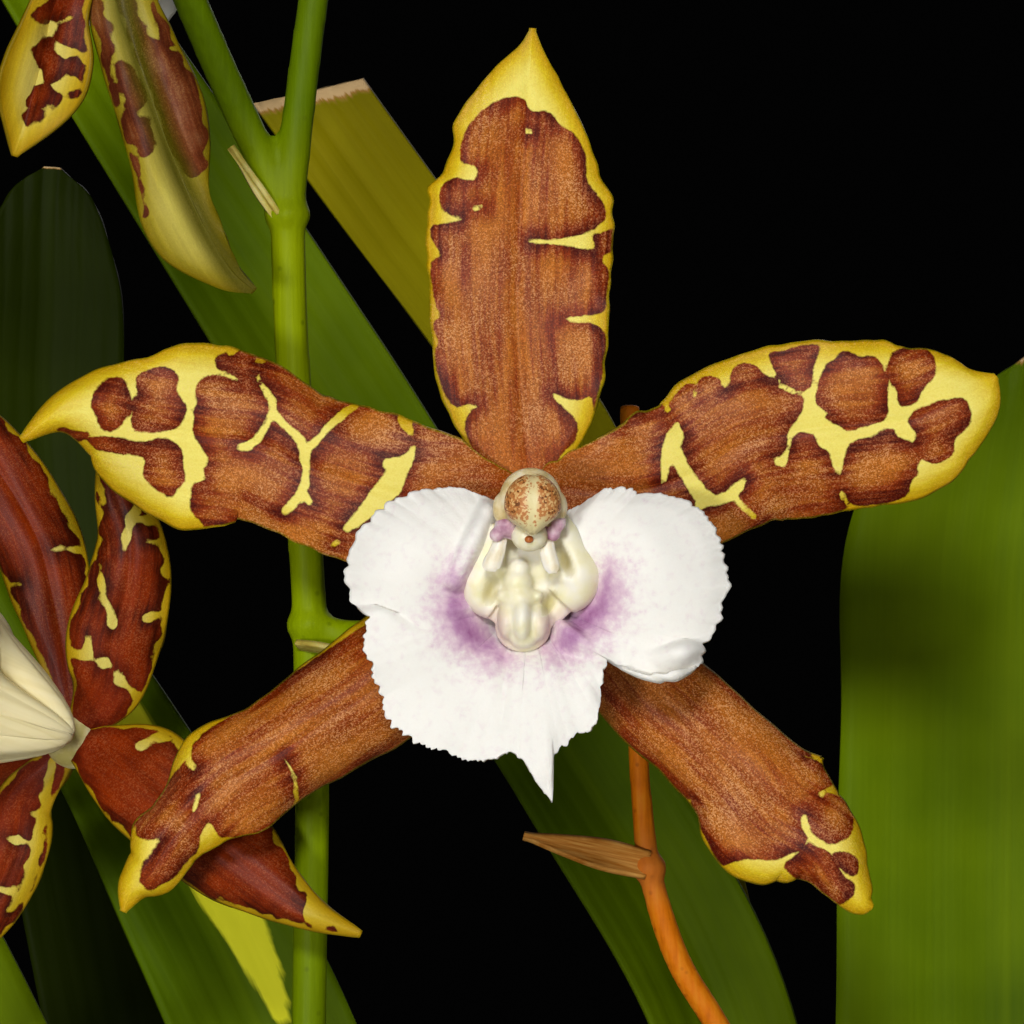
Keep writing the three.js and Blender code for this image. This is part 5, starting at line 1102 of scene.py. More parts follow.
# The left and the upper flower stand with their tepals as the photograph shows them, one by one.
# Rows are in millimetres from the main flower's zero.
DRAWN_CELLS = (104, 40)
PLAIN_CELLS = (64, 26)
HAND_SHAPED = {
    "left": [
        {"face": TO_VIEWER, "rows": [  # petal, upright
            [-37.7, 16.5, -19.2, 1.2, 0.2], [-35.5, 14.5, -15.9, 3.1, 0.6], [-34.7, 13, -11.7, 4, 1],
            [-33.5, 12, -7.5, 3.6, 1.2], [-33.2, 11.5, -3.3, 2.8, 1], [-34.5, 11.5, 0.8, 1.7, 0.6],
            [-35.6, 12, 4.6, 0.3, 0],
        ]},
        {"face": TO_VIEWER, "rows": [  # upper sepal, laid back towards the stem
            [-37.9, 16.4, -20.3, 1.5, 0.2], [-33.4, 12, -23.1, 5, 3.9, 1, 1], [-28.9, 9.5, -26.2, 4.3, 1.6],
            [-24.5, 7.8, -29.6, 4, 1.8], [-20.5, 7, -32.6, 2.2, 2.5, 1.2, 1.2],
            [-17.4, 6.6, -34.6, 1.2, 0.6], [-13.8, 6.6, -36, 0.3, 0],
        ]},
        {"face": [0.2, -1, 0], "rows": [  # sepal, up and left
            [-38.5, 18.5, -18.7, 1.3, 0], [-39.1, 19.5, -13.9, 2.1, 0.3], [-40.2, 20.5, -8.5, 3.3, 0.6],
            [-41.3, 21.3, -4.1, 3.8, 0.8], [-43.2, 22, -0.4, 3.8, 0.8], [-45.3, 22.8, 3, 3.4, 0.6],
            [-47.4, 23.5, 6.4, 2.4, 0.3], [-49.2, 24.2, 9.4, 0.3, 0],
        ]},
        {"face": TO_VIEWER, "rows": [  # petal, down and left
            [-39.5, 18.5, -21.8, 1.3, 0], [-42.5, 19.5, -25.4, 2.4, 0.4], [-43.4, 20.5, -29.2, 2.9, 0.6],
            [-45, 21.5, -33.1, 2.8, 0.6], [-46.8, 22.5, -36.5, 2, 0.4], [-48.5, 23.5, -39.6, 0.3, 0],
        ]},
        {"face": [0, -0.9, -0.4], "rows": [  # far sepal, down, left and away
            [-39, 19.2, -20.7, 1.4, 0], [-42, 24, -22.5, 3.2, 0.4], [-45.5, 28, -24.5, 4, 0.6],
            [-49.5, 31.5, -27, 4, 0.6], [-54, 34, -29.5, 3, 0.4], [-58, 36, -32, 0.4, 0],
        ]},
    ],
    "upper": [
        {"face": TO_VIEWER, "rib": (1.6, 1.1), "rows": [  # sepal, hanging, its back to the front
            [-33.4, 5.5, 47.1, 1.6, 0], [-33.4, 3.5, 41.2, 2.8, 0.8], [-32.3, 2.6, 37.1, 3.4, 3.1, 1.4, 1.4],
            [-30.7, 2.4, 32.2, 4, 3.2, 1.8, 1.8], [-29.3, 2.8, 28.2, 3.3, 3.5, 1.4, 1.4],
            [-27.8, 3.4, 24.8, 1.7, 4.5, 0.8, 0.8], [-26.3, 4.2, 21.8, 1.3, 4.2, 0.4, 0.8],
            [-24.4, 5.2, 18.9, 0.7, 2, 0.2, 0.3], [-22.6, 6, 17.3, 0.3, 0],
        ]},
        {"face": [0.2, -1, 0], "rib": (1.2, 0.8), "rows": [  # petal, hanging left and folded in the middle
            [-34.8, 5.3, 47.7, 1.4, 0], [-37.6, 4, 43.7, 2.4, 2, -0.6, -0.6],
            [-39.1, 3.5, 40.4, 2.9, 2.2, -1.2, -1], [-39.9, 4, 36.7, 3.9, 3.2, -1.8, -1.4],
            [-41, 5, 33.1, 3.4, 3, -1.6, -1.4], [-42.5, 6, 28.5, 0.3, 0],
        ]},
        {"face": [0.5, -0.4, 0.7], "rows": [  # petal, left and forward
            [-34.6, 4.9, 49.2, 1.5, 0], [-39, -1, 51.5, 4.6, 0.5], [-43.5, -7, 53, 6, 0.8],
            [-48, -12, 53.5, 5.6, 0.8], [-52, -16.5, 53, 3.6, 0.4], [-55.5, -20, 52, 0.4, 0],
        ]},
        {"face": [0.77, -0.63, 0], "rows": [  # sepal, upright
            [-33.7, 6.4, 50.2, 1.6, 0], [-34.5, 5, 57, 4.8, 0.5], [-35.3, 4.2, 64, 6.4, 0.9],
            [-36, 4.6, 71, 6.2, 0.9], [-36.4, 6, 77, 3.8, 0.5], [-36.6, 8, 82, 0.4, 0],
        ]},
        {"face": [0.75, -0.62, -0.2], "rows": [  # sepal, up, right and away
            [-32.8, 6.9, 49.9, 1.2, 0], [-27.9, 9.4, 54.6, 3.4, 0.5], [-22.9, 13, 60, 4.6, 0.7],
            [-20.6, 18.5, 66, 4.6, 0.7], [-18.2, 22, 71, 2.8, 0.4], [-16.8, 24.5, 75, 0.4, 0],
        ]},
    ],
}
# Yellow strokes on the side flowers, as the camera sees them: photograph pixels across and down, and
# the stroke's half width there. The number after a flower's name is its tepal's place in the list above.
# They are turned into places on the plant with the photograph's pixels for a millimetre at the main
# flower, its middle, and the camera's distance and place in millimetres.
PHOTO_SCALE = 12.2
CAMERA_REACH = 600
CAMERA_ASIDE = (1.3, 1.0)
PHOTO_MIDDLE = 512
SIDE_STROKES = {
    ("left", 0): [
        [(97, 484, 5), (106, 500, 3)], [(125, 549, 2), (131, 520, 6), (138, 506, 5), (149, 498, 5)],
        [(132, 520, 4), (150, 519, 4)], [(144, 500, 4), (156, 520, 5), (163, 536, 5), (168, 556, 6),
        (166, 575, 4), (169, 594, 6), (166, 612, 5), (164, 632, 4), (157, 650, 4), (148, 685, 4)],
        [(167, 540, 4), (148, 541, 2)], [(168, 613, 4), (145, 616, 2)], [(101, 566, 2), (105, 592, 3),
        (113, 622, 4)], [(68, 650, 3), (92, 658, 4), (110, 665, 3), (124, 681, 3), (137, 698, 4)],
        [(86, 633, 2), (92, 658, 4)], [(66, 640, 3), (67, 680, 3)],
    ],
    ("left", 1): [
        [(120, 719, 4), (152, 723, 4), (172, 735, 5), (190, 755, 5)], [(142, 749, 3), (155, 738, 4),
        (172, 741, 3)], [(100, 812, 3), (112, 824, 4), (122, 836, 3)], [(280, 832, 3), (295, 866, 5),
        (310, 895, 7), (330, 915, 9), (356, 936, 9)], [(308, 899, 6), (318, 929, 8)], [(220, 902, 2),
        (262, 915, 3), (310, 930, 6)],
    ],
    ("left", 2): [
        [(42, 462, 3), (54, 484, 6), (63, 506, 6), (72, 524, 3)], [(50, 551, 2), (86, 551, 3)],
        [(72, 528, 3), (84, 548, 4), (91, 574, 4)], [(0, 587, 2), (20, 585, 1)],
    ],
    ("left", 3): [
        [(54, 760, 3), (49, 790, 5), (40, 822, 5), (32, 842, 4), (12, 838, 3)], [(48, 800, 3),
        (36, 812, 3)], [(42, 838, 5), (32, 870, 6), (14, 905, 5)], [(28, 880, 4), (12, 890, 3),
        (0, 890, 3)],
    ],
}
# The upper flower's marks as brown strokes on yellow, in the same way
SIDE_BLOTCHES = {
    ("upper", 0): [
        [(88, -4, 9), (97, 28, 12), (104, 55, 9), (109, 76, 4)], [(121, 66, 5), (126, 75, 5)],
        [(130, 86, 7), (136, 100, 9)], [(115, 88, 3), (117, 98, 4)], [(130, 120, 9), (138, 134, 12),
        (144, 146, 6)], [(131, 158, 5), (136, 184, 8), (140, 212, 6)], [(124, -4, 8), (134, 25, 8),
        (142, 50, 10)], [(148, 52, 14), (166, 72, 18), (182, 104, 20), (190, 134, 21), (194, 158, 13)],
        [(160, -6, 9), (168, 40, 9)],
    ],
    ("upper", 1): [
        [(36, 16, 7), (62, 6, 13), (80, -2, 13)], [(74, 34, 13), (84, 42, 8), (84, 24, 7)], [(44, 52, 13),
        (56, 68, 12)], [(74, 66, 9), (84, 74, 7)], [(74, 95, 3), (77, 94, 3)], [(36, 98, 10), (52, 97, 9)],
        [(28, 118, 7), (38, 114, 6)],
    ],
}
SEEN_FROM_BEHIND = {("upper", 0)}

# The middle of a flower behind its column: fleshy, pale yellow-green, or brown like the petals' feet and
# darkened as painted shade
hub_skins = {}
for kind, low, middle, high in (
    ("pale flower middle", "b4a860", "ccc088", "d8d0a4"), ("brown petal foot in painted shade", "7c3c0c", "94501a", "a05c24"),
):
    skin, put = bare_material(kind)
    where = put("TexCoord").outputs["Object"]
    blotch = put("TexNoise", {"Vector": where, "Scale": 1000 / 2.4, "Detail": 4})
    tone = put("ValToRGB", [blotch], stops=[(0.38, low), (0.52, middle), (0.66, high)])
    bumps = put("Bump", {"Height": blotch, "Strength": 0.3, "Distance": 0.2 * MM})
    put("OutputMaterial", [put("BsdfPrincipled", {
        "Base Color": tone, "Roughness": 0.45, "Normal": bumps, "Specular IOR Level": 0.25,
    })])
    hub_skins[kind] = skin


def from_line(x, z, a, b):
    """Each spot's distance from a line between two points, whose third number is its half width."""
    (ax, az), (bx, bz) = a[:2], b[:2]
    run = (bx - ax) ** 2 + (bz - az) ** 2 + 1e-9
    u = np.clip(((x - ax) * (bx - ax) + (z - az) * (bz - az)) / run, 0, 1)
    wide = a[2] + (b[2] - a[2]) * u if len(a) > 2 else 0
    return np.hypot(x - ax - u * (bx - ax), z - az - u * (bz - az)) - wide


def near_line(x, z, line):
    """How far each spot is from a line through several points, less the line's half width."""
    return np.min([from_line(x, z, a, b) for a, b in zip(line, line[1:])], axis=0)


# The yellow margin's width, and the size of the waves along it and along a stroke, in millimetres
MARGIN_WIDTH = 0.3
MARGIN_WAVE = 3.4
STROKE_WAVE = 2.2


def seen_marks(strokes, brown):
    """Marks a tepal with strokes, brown or yellow, and a yellow margin; brown is negative."""
    def mark(points, places):
        far = PHOTO_SCALE * CAMERA_REACH / (CAMERA_REACH + points[:, 1])
        right = PHOTO_MIDDLE + (points[:, 0] + CAMERA_ASIDE[0]) * far
        down = PHOTO_MIDDLE - (points[:, 2] + CAMERA_ASIDE[1]) * far
        near = np.min([near_line(right, down, stroke) for stroke in strokes], axis=0) / PHOTO_SCALE
        uneven = waves(right / PHOTO_SCALE, down / PHOTO_SCALE, STROKE_WAVE, 11)
        near = near + 0.22 * uneven - (0.15 if brown else 0)
        lobes = 1.1 + waves(places[:, 1], np.sign(places[:, 0]), MARGIN_WAVE, 7)
        edge = MARGIN_WIDTH * lobes - places[:, 2]
        return np.maximum(near if brown else -near, edge)
    return mark


for flower, blades in HAND_SHAPED.items():
    node = f"bloom_{flower}_tepals"
    for number, shape in enumerate(blades):
        materials = [BACK, FRONT_RED] if (flower, number) in SEEN_FROM_BEHIND else [FRONT_RED, BACK]
        seed = 10 * number + (100 if flower == "upper" else 0)
        cells = DRAWN_CELLS
        if (flower, number) in SIDE_STROKES:
            mark = seen_marks(SIDE_STROKES[flower, number], brown=False)
        elif (flower, number) in SIDE_BLOTCHES:
            mark = seen_marks(SIDE_BLOTCHES[flower, number], brown=True)
        else:
            mark = lambda points, places, seed=seed: cell_marks(places, 8, 0.16, 0.35, seed + 5)
            cells = PLAIN_CELLS
        tepal(
            f"bloom_{flower}_tepal_{number + 1}", node, shape["rows"], (shape["face"], shape["face"]),
            materials, mark, cells, seed, rib=shape.get("rib", RIB),
        )
    hub = ball(OTHER_FLOWERS[flower]["at"], [HUB_RADIUS] * 3, 40)
    piece_from(hub, f"bloom_{flower}_hub", [hub_skins["pale flower middle"]], [node])

# The high and the crown flower, out of the photograph: each tepal grows along a bearing seen from the
# front, counted from the flower's right, and bends back by its own share.
BENDS = {"high": [0.35, 0.3, 0.4, 0.5, 0.45], "crown": [0.4, 0.45, 0.35, 0.5, 0.5]}
TEPAL_WIDTHS = [0.34, 0.76, 0.9, 1.0, 0.94, 0.66, 0.04]
TEPAL_PLAN = [
    {"bearing": 90, "length": 37, "half": 7.2, "foot": 1.4},
    {"bearing": 163, "length": 38, "half": 6.6, "foot": -0.2},
    {"bearing": 17, "length": 38, "half": 6.6, "foot": -0.2},
    {"bearing": 232, "length": 40, "half": 5.2, "foot": 1.4},
    {"bearing": -50, "length": 40, "half": 5.2, "foot": 1.4},
]
TEPAL_CUP = 0.9
TEPAL_START = 1.9


def on_plant(flower):
    """Takes points in a flower's own frame (right, back, up) to their place on the plant."""
    look = unit(flower["looks"])
    down = np.array(flower["down"], float)
    down = unit(down - look * down.dot(look))
    turn = np.stack([np.cross(look, down), -look, -down])
    return lambda points: points * flower["scale"] @ turn + np.array(flower["at"], float)


def set_on(bm, place):
    """Takes a bmesh that was shaped in its flower's own frame to the plant."""
    settle(bm, place(spots_of(bm)))
    return bm


for flower, bends in BENDS.items():
    node = f"bloom_{flower}_tepals"
    stand = on_plant(OTHER_FLOWERS[flower])
    for number, (plan, bend) in enumerate(zip(TEPAL_PLAN, bends)):
        angle = math.radians(plan["bearing"])
        outwards = np.array([math.cos(angle), 0, math.sin(angle)])
        rows = []
        for k, share in enumerate(TEPAL_WIDTHS):
            turn = bend * k / (len(TEPAL_WIDTHS) - 1)
            out = TEPAL_START + plan["length"] * math.sin(turn) / bend
            back = plan["foot"] + plan["length"] * (1 - math.cos(turn)) / bend
            rows.append([out * outwards[0], back, out * outwards[2], plan["half"] * share, TEPAL_CUP * share])
        face_tip = np.array(TO_VIEWER) * math.cos(bend) + outwards * math.sin(bend)
        seed = 200 + 10 * number + (60 if flower == "crown" else 0)
        tepal(
            f"bloom_{flower}_tepal_{number + 1}", node, rows, (TO_VIEWER, face_tip), [FRONT, BACK],
            lambda points, places, seed=seed: cell_marks(places, 7, 0.5, 1.0, seed + 5),
            PLAIN_CELLS, seed, place=stand,
        )
    middle = set_on(ball((0, 0.9, 0), (2.9, 1.0, 2.9), 40), stand)
    piece_from(middle, f"bloom_{flower}_hub", [hub_skins["pale flower middle"]], [node])

# The main flower's sepals and petals, row by row from its middle out. The outline has small notches
# and lobes, and each blotch follows its own outline, both measured at 12.2 photograph pixels to 1 mm.
MAIN_CELLS = (140, 52)
MAIN_TEPALS = {
    "sepal_dorsal": [
        [0, 1.2, -0.6, 2.6, 0], [0, 1.2, 2.4, 3.4, 0], [-0.3, 1.4, 5.7, 5.3, 5.5, -0.6, -0.6],
        [-0.6, 1.8, 10, 6.9, 7, -0.8, -0.8], [-0.9, 2.2, 15, 7.1, 7.6, -0.4, -0.4],
        [-0.8, 2.5, 19.5, 7.5, 7.7, 0.3, 0.3], [-0.7, 2.5, 23, 7.6, 7.8, 0.6, 0.6],
        [-0.5, 2.3, 26.8, 6.4, 6.6, 0.5, 0.5], [-0.2, 1.8, 30.8, 5.8, 4.9, 0.2, 0.2],
        [0.1, 1.2, 34.8, 3.2, 2.4, 0, 0], [0.3, 0.9, 37.2, 1, 0.9, 0, 0], [0.4, 0.8, 38.7, 0.2, 0],
    ],
    "petal_left": [
        [-1.2, 0.5, 0.2, 1.6, 1.9, 0.2, 0.2], [-2.9, -0.1, 0.2, 3.1, 2.9, -0.2, -0.2],
        [-5.7, -0.3, 0.1, 5, 5, 0, -0.3], [-9.8, -0.4, 0.2, 6.2, 6.2, 0.6, 0.2],
        [-14.6, -0.2, 1.5, 6.3, 6.3, 1, 0.9], [-18.7, 0.2, 3, 6, 6, 1.2, 1.3],
        [-22.3, 0.5, 4.7, 6.65, 6.65, 1.2, 1.4], [-26.4, 0.6, 5.3, 7.6, 7.6, 1.5, 1.1],
        [-31, 0.2, 6.1, 6.4, 6.4, 3, 1], [-35, -0.6, 7.2, 3.65, 3.65, 2.6, 1.2], [-38.4, -1, 7, 1.5, 1.2],
        [-41.5, -0.8, 4.9, 0.2, 0],
    ],
    "petal_right": [
        [1.3, 0.5, 0.9, 1.6, 0.2], [3.1, -0.1, 1, 3, 2.7, -0.2, -0.2], [5.7, -0.3, 0.7, 4.5, 4.5, -0.4, 0],
        [9.2, -0.4, 0.8, 5.9, 5.9, 0.1, 0.4], [13.4, -0.2, 2.1, 6.2, 6.2, 0.6, 1],
        [17.8, 0.2, 4.7, 6.8, 6.8, 0.8, 1.5], [22.1, 0.4, 5.7, 7.25, 7.25, 0.7, 1.8],
        [26.8, 0.5, 6.2, 6.9, 6.9, 0.5, 1.8], [31.1, 0.6, 6.6, 6.5, 6.5, 0.4, 1.4],
        [34.5, 0.8, 7.8, 4.9, 4.9, 0.4, 1], [37, 1.2, 8.9, 2.75, 2.75, 0.3, 0.5], [38.5, 1.6, 10.2, 0.2, 0],
    ],
    "sepal_left": [
        [-2.2, 1.2, -2.7, 1.4, 0.2], [-5.9, 1.5, -8.6, 3.9, 1.2], [-11, 1.5, -14.2, 5, 2.8],
        [-16.1, 1.3, -17.8, 4.7, 3.2], [-20.7, 1, -20.8, 4.3, 3], [-24.8, 0.8, -23.3, 4.9, 4.9, 1.6, 2.6],
        [-27.7, 0.8, -25.9, 3.1, 3, 1, 2.2], [-29.5, 1, -28, 2.7, 2.7, 1.2, 1.8],
        [-31, 1.3, -30.4, 2.4, 2.4, 1, 1.5], [-32.5, 1.8, -32, 1.3, 1.3, 0.6, 0.8],
        [-33.3, 2.2, -33.9, 0.2, 0],
    ],
    "sepal_right": [
        [2.2, 1.2, -2.7, 1.4, 0.2], [6, 1.5, -10, 4.2, 1.2], [10.2, 1.6, -15.6, 4.5, 2.2],
        [14.1, 1.5, -19.2, 4.5, 2.4], [17.4, 1.3, -22.5, 4.8, 4.8, 2.2, 2],
        [20.1, 1.1, -25.7, 6.1, 6.1, 1.8, 1.6], [22.9, 1, -27.5, 4.6, 4.6, 1.6, 1.2],
        [24.7, 1, -28.9, 3.2, 3.2, 1.4, 1], [26.1, 1.1, -31.2, 2.1, 2.1, 1, 0.8],
        [27.4, 1.3, -33, 1.2, 0.5], [28.3, 1.5, -33.5, 0.2, 0],
    ],
}
# Blotches and yellow strokes in the flower's front view, x and z in tenths of a millimetre; a stroke's
# third number is its half width
MARKS_PER_MM = 10
MARKS = {
    ("sepal_dorsal", "brown"): [
        [(-38, 4), (-44, 35), (-50, 51), (-52, 63), (-47, 72), (-42, 76), (-43, 78), (-59, 76),
         (-64, 78), (-70, 89), (-76, 107), (-77, 121), (-74, 131), (-78, 140), (-77, 147), (-73, 149),
         (-69, 151), (-74, 155), (-77, 163), (-80, 181), (-80, 191), (-78, 197), (-72, 201), (-76, 209),
         (-80, 219), (-79, 226), (-70, 228), (-55, 231), (-54, 233), (-64, 235), (-71, 240), (-72, 250),
         (-70, 258), (-64, 263), (-57, 265), (-50, 263), (-44, 264), (-41, 270), (-44, 275), (-54, 278),
         (-55, 286), (-53, 299), (-47, 311), (-38, 320), (-26, 328), (-11, 332), (-3, 329), (1, 323),
         (6, 320), (15, 320), (21, 317), (26, 309), (35, 304), (42, 296), (47, 286), (48, 276),
         (48, 263), (53, 256), (60, 247), (64, 237), (63, 231), (57, 226), (46, 219), (35, 217),
         (25, 215), (14, 214), (2, 215), (2, 212), (15, 211), (28, 210), (41, 208), (50, 206),
         (54, 209), (52, 217), (59, 220), (71, 223), (71, 214), (69, 204), (62, 201), (62, 195),
         (66, 189), (66, 176), (65, 160), (61, 154), (52, 151), (41, 150), (33, 149), (34, 146),
         (43, 145), (51, 145), (61, 141), (65, 132), (64, 117), (61, 101), (59, 89), (51, 84), (41, 82),
         (30, 84), (22, 87), (22, 84), (30, 76), (38, 68), (42, 60), (41, 51), (35, 44), (25, 32),
         (23, 4)],
        [(54, 77), (53, 84), (56, 89), (60, 89), (59, 80), (56, 72)],
    ],
    ("sepal_dorsal", "yellow"): [
        [(-43, 240, 2), (-39, 241, 2.3)],
        [(0, 304, 2.3), (3, 303, 1.5)],
    ],
    ("petal_left", "brown"): [
        [(-258, 116), (-253, 119), (-236, 124), (-190, 124), (-139, 93), (-62, 73), (0, 37), (0, -71),
         (-164, -71), (-216, -35), (-257, -31), (-267, -20), (-277, -8), (-277, 1), (-276, 11),
         (-271, 16), (-265, 16), (-267, 27), (-263, 29), (-263, 36), (-269, 44), (-275, 54), (-274, 62),
         (-275, 73), (-272, 79), (-273, 84), (-272, 94), (-264, 101), (-254, 101), (-244, 98),
         (-238, 96), (-244, 101), (-251, 105), (-256, 107)],
        [(-358, 78), (-356, 87), (-350, 94), (-344, 98), (-337, 99), (-331, 97), (-327, 89), (-325, 80),
         (-327, 72), (-331, 66), (-335, 60), (-342, 57), (-349, 59), (-353, 65), (-356, 72)],
        [(-322, 96), (-319, 102), (-312, 106), (-300, 109), (-291, 106), (-287, 100), (-288, 89),
         (-282, 80), (-280, 72), (-285, 62), (-298, 56), (-313, 55), (-324, 57), (-326, 64), (-325, 72),
         (-324, 82), (-321, 87)],
        [(-386, 59), (-380, 61), (-369, 59), (-359, 57), (-364, 51), (-372, 49), (-380, 51)],
        [(-360, 54), (-344, 54), (-318, 49), (-308, 50), (-298, 51), (-289, 47), (-283, 39), (-283, 29),
         (-281, 18), (-285, 11), (-292, 3), (-300, 7), (-310, 14), (-315, 23), (-314, 33), (-318, 37),
         (-336, 40), (-351, 43), (-359, 49)],
    ],
    ("petal_left", "yellow"): [
        [(-223, 100, 1.8), (-218, 92, 2.3), (-210, 80, 2.8), (-210, 71, 3.3), (-215, 60, 2.8),
         (-222, 50, 3.1), (-230, 43, 3.6), (-236, 43, 2.3)],
        [(-210, 71, 3.1), (-198, 60, 2.6), (-186, 49, 3.6), (-182, 39, 4.6), (-182, 27, 3.1),
         (-182, 14, 3.3), (-185, 5, 4.1), (-193, -4, 3.8), (-198, -8, 3.3)],
        [(-185, 5, 3.6), (-178, -2, 2.3)],
        [(-182, 41, 4.1), (-172, 49, 2.6), (-162, 60, 3.1), (-149, 71, 3.6), (-141, 76, 2.6)],
        [(-100, 66, 6.1), (-98, 59, 4.1), (-96, 54, 2)],
        [(-94, 42, 1.5), (-97, 34, 4.1), (-107, 24, 8.7), (-113, 11, 9.7), (-122, 0, 8.7),
         (-136, -13, 5.6), (-148, -23, 3.3)],
        [(-114, 29, 5.1), (-108, 32, 2.6)],
        [(-155, -33, 2.3), (-160, -36, 1.8)],
        [(-267, -25, 3.1), (-246, -23, 2.3)],
        [(-222, 114, 2), (-216, 112, 1.3)],
        [(-236, 129, 2.6), (-244, 121, 3.1)],
    ],
    ("petal_right", "brown"): [
        [(4, 24), (39, 57), (59, 59), (88, 74), (110, 78), (112, 71), (116, 73), (115, 78), (123, 88),
         (133, 95), (136, 90), (135, 84), (138, 84), (139, 94), (143, 100), (149, 101), (158, 98),
         (159, 91), (163, 92), (166, 96), (166, 102), (170, 109), (178, 112), (188, 109), (193, 104),
         (198, 100), (204, 99), (206, 94), (205, 91), (213, 88), (225, 85), (227, 81), (224, 71),
         (218, 64), (214, 57), (212, 44), (207, 37), (201, 34), (202, 29), (210, 28), (213, 34),
         (215, 44), (218, 52), (225, 55), (235, 52), (239, 45), (247, 39), (250, 30), (254, 22),
         (257, 24), (260, 34), (262, 44), (270, 49), (282, 52), (290, 57), (300, 58), (303, 52),
         (312, 48), (316, 47), (318, 54), (313, 60), (312, 66), (316, 73), (327, 78), (342, 82),
         (354, 83), (362, 78), (363, 66), (358, 57), (350, 50), (349, 39), (342, 33), (332, 30),
         (323, 34), (319, 27), (320, 22), (314, 16), (313, 9), (310, 4), (300, -1), (282, -4),
         (270, -4), (264, 0), (260, 8), (256, 9), (257, 3), (263, -3), (262, -7), (252, -11),
         (237, -16), (213, -28), (188, -38), (153, -53), (4, -53)],
        [(241, 104), (246, 112), (254, 116), (256, 121), (262, 122), (272, 117), (283, 117), (289, 112),
         (292, 105), (295, 102), (295, 89), (295, 71), (287, 63), (277, 59), (262, 55), (255, 60),
         (244, 68), (246, 71), (237, 78), (236, 85), (239, 96)],
        [(294, 104), (296, 115), (299, 121), (307, 125), (322, 126), (331, 120), (335, 107), (331, 97),
         (324, 90), (319, 81), (310, 76), (303, 80), (300, 91), (295, 97)],
        [(199, 121), (210, 122), (220, 126), (233, 128), (239, 127), (239, 119), (235, 106), (233, 94),
         (226, 88), (218, 90), (208, 96), (204, 102), (199, 112)],
    ],
    ("petal_right", "yellow"): [
        [(122, 61, 1.7), (120, 51, 7), (116, 39, 6), (113, 27, 3.5), (111, 16, 1.5)],
        [(119, 39, 6.5), (126, 27, 5), (134, 14, 5.5), (141, 4, 6), (143, -3, 4), (138, -6, 2.2)],
        [(138, 7, 4.5), (153, -1, 4.2), (165, 3, 4), (173, 11, 4), (177, 16, 2.2)],
        [(169, 2, 3), (177, -6, 2.5), (185, -13, 2)],
    ],
    ("sepal_left", "brown"): [
        [(-96, -81), (-260, -189), (-268, -196), (-274, -202), (-275, -209), (-274, -215), (-271, -220),
         (-273, -223), (-279, -219), (-282, -218), (-324, -268), (-321, -270), (-319, -277),
         (-310, -280), (-301, -277), (-305, -284), (-310, -291), (-315, -300), (-318, -310),
         (-317, -314), (-310, -319), (-301, -314), (-292, -310), (-285, -301), (-278, -293),
         (-273, -288), (-270, -281), (-268, -272), (-262, -264), (-257, -270), (-253, -276),
         (-244, -276), (-233, -280), (-219, -275), (-206, -266), (-199, -259), (-194, -254),
         (-187, -247), (-73, -186), (-73, -81)],
    ],
    ("sepal_left", "yellow"): [
        [(-199, -213, 0.7), (-196, -220, 1.1), (-193, -227, 1.6), (-192, -238, 1.8), (-191, -251, 2)],
        [(-270, -242, 0.9), (-273, -250, 1.4), (-274, -254, 1.1)],
    ],
    ("sepal_right", "brown"): [
        [(38, -127), (38, -183), (90, -211), (130, -248), (133, -246), (137, -247), (135, -253),
         (141, -267), (149, -282), (154, -294), (158, -299), (165, -300), (176, -295), (189, -295),
         (200, -296), (208, -294), (217, -290), (223, -288), (229, -282), (230, -276), (226, -267),
         (225, -261), (228, -259), (231, -267), (235, -274), (245, -281), (254, -282), (263, -276),
         (267, -267), (268, -256), (264, -248), (256, -245), (245, -242), (241, -245), (238, -243),
         (243, -239), (249, -236), (253, -232), (251, -226), (245, -220), (237, -215), (230, -214),
         (227, -213), (232, -207), (159, -114)],
        [(210, -301), (223, -289), (230, -281), (236, -285), (243, -287), (250, -291), (254, -300),
         (261, -309), (267, -314), (268, -321), (264, -328), (256, -333), (250, -332), (241, -327),
         (236, -321)],
        [(250, -290), (258, -289), (267, -294), (270, -300), (269, -307), (264, -308), (257, -303),
         (252, -297)],
    ],
    ("sepal_right", "yellow"): [
        [(78, -198, 1.5), (81, -200, 1.1)],
    ],
}
# Small lobes (above 0) and notches (below 0) of a margin: share of the length, side, height, spread
MARGIN = {
    "sepal_dorsal": [(0.60, -1, 0.10, 0.02), (0.60, 1, 0.07, 0.02), (0.68, -1, -0.07, 0.03)],
    "petal_left": [(0.20, -1, 0.03, 0.03), (0.50, 1, -0.05, 0.05), (0.66, -1, 0.05, 0.04)],
    "petal_right": [(0.07, -1, -0.16, 0.02), (0.30, -1, 0.05, 0.02), (0.42, -1, 0.06, 0.02)],
    "sepal_left": [(0.72, 1, 0.16, 0.03), (0.80, 1, -0.12, 0.03), (0.62, -1, 0.12, 0.04)],
    "sepal_right": [(0.72, 1, 0.12, 0.03), (0.60, -1, -0.06, 0.03)],
}


def smoothed(outline):
    """A closed outline with its corners run into curves, in millimetres."""
    p = np.array(outline) / MARKS_PER_MM
    before, after, later = np.roll(p, 1, 0), np.roll(p, -1, 0), np.roll(p, -2, 0)
    m1, m2 = (after - before) / 2, (later - p) / 2
    bend, twist = 3 * (after - p) - 2 * m1 - m2, m1 + m2 - 2 * (after - p)
    fine = [p + m1 * u + bend * u ** 2 + twist * u ** 3 for u in (0, 1 / 3, 2 / 3)]
    return np.stack(fine, axis=1).reshape(-1, 2)


